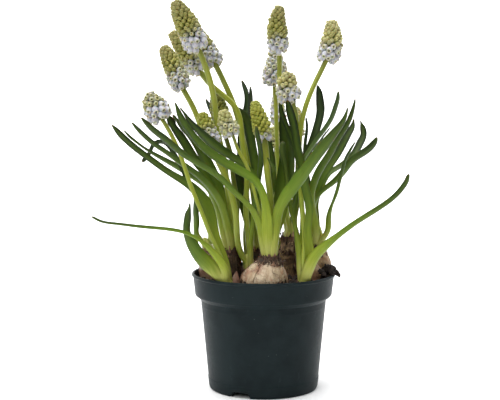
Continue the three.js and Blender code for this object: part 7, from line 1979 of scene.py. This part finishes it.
def make_flower(name, tone, stalk_r, head_r, points, index):
    r = np.random.default_rng(500 + index)
    P = np.array(points, float)
    base, middle, tip = P[-3], P[-2], P[-1]
    line = spline(P, 96)
    C = line[:, :3]
    T = unit(np.gradient(C, axis=0))
    seg = np.r_[0, np.cumsum(np.linalg.norm(np.diff(C, axis=0), axis=1))]
    # where the head begins, along the line
    j0 = int(np.argmin(np.linalg.norm(C - base, axis=1)))
    ls = seg[j0]
    lh = seg[-1] - ls
    t = np.clip(seg / 16, 0, 1)
    rad = 1.1 + (stalk_r * THICKER.get(name, 1.0) - 1.1) * t * t * (3 - 2 * t)
    u = np.clip((seg - ls) / lh, 0, 1)
    rad = rad * (1 - 0.72 * u)
    rad = rad * (1 + 0.02 * np.sin(seg * 0.13 + index))
    sides = 14
    x = np.array([1.0, 0, 0])
    rings = []
    for c, tt, q in zip(C, T, rad):
        x = x - x @ tt * tt
        x = x / np.linalg.norm(x)
        y = np.cross(tt, x)
        th = np.arange(sides) / sides * TAU
        k = q * (1 + 0.03 * np.cos(5 * th + index))
        rings.append(c + (np.cos(th) * k)[:, None] * x + (np.sin(th) * k)[:, None] * y)
    V = np.concatenate(rings)
    m = len(C)
    sk = Skin("s", "ang", "dist", "rnd")
    sk.add(V, tube_quads(m, sides), np.vstack([cap_tris(0, sides, True), cap_tris((m - 1) * sides, sides)]),
           s=np.repeat(np.clip(seg / ls, 0, 1), sides), ang=np.tile(np.abs(np.arange(sides) / sides * 2 - 1) * 3.14, m), dist=np.repeat(seg, sides), rnd=r.uniform(0, 20))
    stalk = outward(sk.build(name + "_scape", STALK_PAINTED_SHADE if tone == "b" else STALK_MAT))
    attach(stalk, "root")
    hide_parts(name)

    # florets in a close spiral
    fl = Skin("white", "part", "fz", "rnd", "ang", "up")
    pd = Skin("s", "ang", "dist", "rnd")
    hang, half, half_white, droop = SPIKES[name]
    small = 0.86 if tone in "wy" else (0.93 if head_r < 6.3 else 1.0)
    u, i = 0.02, 0
    while u < 0.985:
        R = head_r * np.interp(u, HEAD[:, 0], HEAD[:, 1])
        v = u + r.normal(0, 0.022)
        kind = 2 if v < hang else (1 if v < half else (0 if v < half + 0.25 and r.uniform() < 0.5 else 3))
        grown = float(smooth(np.array((half + 0.22 - u) / 0.22)))
        fill = min(1.0, R / (0.8 * head_r))
        space = (1.15 + 1.6 * fill, 1.5 + 1.95 * fill, 3.9, 1.15 + 1.6 * fill)[kind] * small
        area = space * space * (0.84 if kind == 2 else 0.88)
        s_at = ls + u * lh
        c = np.array([np.interp(s_at, seg, C[:, q]) for q in range(3)])
        tt = unit(np.array([np.interp(s_at, seg, T[:, q]) for q in range(3)]))
        e1 = np.cross(tt, [0, 1.0, 0.2])
        e1 /= np.linalg.norm(e1)
        e2 = np.cross(tt, e1)
        a = i * 2.399963 + index * 1.3 + r.normal(0, 0.06)
        e = e1 * math.cos(a) + e2 * math.sin(a)
        if kind == 2:
            phi = np.interp(u / hang, [0, 0.3, 0.6, 1.0], [-60, -50, -38, -22]) * droop + r.normal(0, 8)
        elif kind == 1:
            phi = -9 * droop + r.normal(0, 6)
        else:
            phi = np.interp(u, [0, 0.2, 0.45, 0.7, 0.85, 0.95, 1.0], [-6, 4, 18, 34, 50, 68, 84]) + r.normal(0, 5)
        phi = math.radians(phi)
        d = e * math.cos(phi) + tt * math.sin(phi)
        # every bell droops a little, whichever way its spike leans
        if kind == 2:
            d = unit(d + np.array([0, 0, -0.25 * droop]))
        b_r = space * (0.51, 0.53, 0.49, 0.51)[kind] * r.uniform(0.92, 1.08)
        if kind == 2:
            length = r.uniform(4.1, 4.8) * small
        elif kind == 1:
            length = 3.5 * small * (0.7 + 0.3 * fill)
        else:
            length = min(space * 1.45, R * 0.9)
        out_c = max(abs(float(d @ e)), 0.2)
        rho = max(R * (1.03 if kind == 2 else 1.0) * r.uniform(0.95, 1.03) - length * out_c - b_r * (1 - out_c) * 0.8, 0.35)
        foot = c + e * rho
        if kind == 2:
            foot = foot + tt * length * (0.34 if u < 0.12 else 0.22)
        floret(fl, r, foot, d, length, b_r, kind, (min(0.4, grown * 0.4) * r.uniform(0.5, 1), half_white + 0.15 * r.uniform(-1, 1), 1.0, min(0.25, grown * 0.25) * r.uniform(0.3, 1))[kind], sides=12, up=u)
        if rho > 1.5:
            thin(pd, c + tt * 0.8, foot + d * 0.2, 0.45, 0.4, s=0.9, ang=1.0, dist=10.0, rnd=3.0)
        u += area / (TAU * max(R * 0.86, 0.7) * lh)
        i += 1
    ob = fl.build(name + "_bells", FLORET_MAT[HEAD_LOOK.get(name, tone)])
    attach(ob, "root")
    if pd.n:
        ob = pd.build(name + "_pedicels", STALK_MAT)
        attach(ob, "root")
    return i


COUNT = 0
for index, (name, tone, stalk_r, head_r, points) in enumerate(FLOWERS):
    COUNT += make_flower(name, tone, stalk_r, head_r, points, index)

# ------------------------------------------------------- floor, light, view


def make_stage():
    m = Nodes("mat_floor")
    n = m.noise(m.coords((1, 1, 1)), 6.0, 3)
    col = m.mix(m.fit(n, 0.3, 0.7), (0.86, 0.86, 0.86), (0.88, 0.88, 0.88))
    m.shade(col, 0.85, Specular_IOR_Level=0.1)
    prof = [(-1500, 0)]
    prof += [(1100, 0)]
    prof += [(1100 + 700 * math.sin(a), 700 - 700 * math.cos(a)) for a in np.linspace(0, math.pi / 2, 24)[1:]]
    prof += [(1800, 2600)]
    V = [(x, y, z) for (y, z) in prof for x in (-2600, 2600)]
    sk = Skin()
    k = np.arange(len(prof) - 1)
    sk.add(V, np.stack([2 * k, 2 * k + 1, 2 * k + 3, 2 * k + 2], 1))
    ob = sk.build("studio_floor", m.mat)


def area(name, loc, target, size, power, color=(1, 1, 1)):
    d = bpy.data.lights.new(name, "AREA")
    d.shape = "RECTANGLE"
    d.size, d.size_y = size
    d.energy = power
    d.color = color
    o = bpy.data.objects.new(name, d)
    o.location = loc
    o.rotation_euler = (Vector(target) - Vector(loc)).to_track_quat("-Z", "Y").to_euler()
    bpy.context.scene.collection.objects.link(o)


make_stage()
world = bpy.data.worlds.new("studio")
bpy.context.scene.world = world
world.use_nodes = True
bg = world.node_tree.nodes["Background"]
bg.inputs["Color"].default_value = (1, 1, 1, 1)
bg.inputs["Strength"].default_value = 0.12
area("top", (-0.15, -0.1, 1.5), (0, 0, 0.1), (1.3, 1.3), 30)
area("key", (-0.8, -1.15, 0.95), (0, 0, 0.13), (0.8, 0.8), 9)
area("left", (-1.15, 0.55, 0.35), (0, 0, 0.1), (0.35, 1.1), 3.0, (0.9, 0.95, 1.0))
area("right", (1.15, 0.55, 0.35), (0, 0, 0.1), (0.35, 1.1), 3.8, (0.9, 0.95, 1.0))
area("back", (0.0, 0.75, 1.5), (0, 1.7, 0.5), (2.6, 0.9), 60)

cam = bpy.data.cameras.new("view")
cam.lens = 85.86
cam.sensor_width = 36.0
cam.clip_start, cam.clip_end = 0.01, 20
co = bpy.data.objects.new("view", cam)
co.location = (-8.441 * MM, -739.72 * MM, 190.83 * MM)
co.rotation_euler = (math.pi / 2 - 0.098, 0, 0)
bpy.context.scene.collection.objects.link(co)
bpy.context.scene.camera = co
bpy.context.scene.view_settings.view_transform = "Standard"
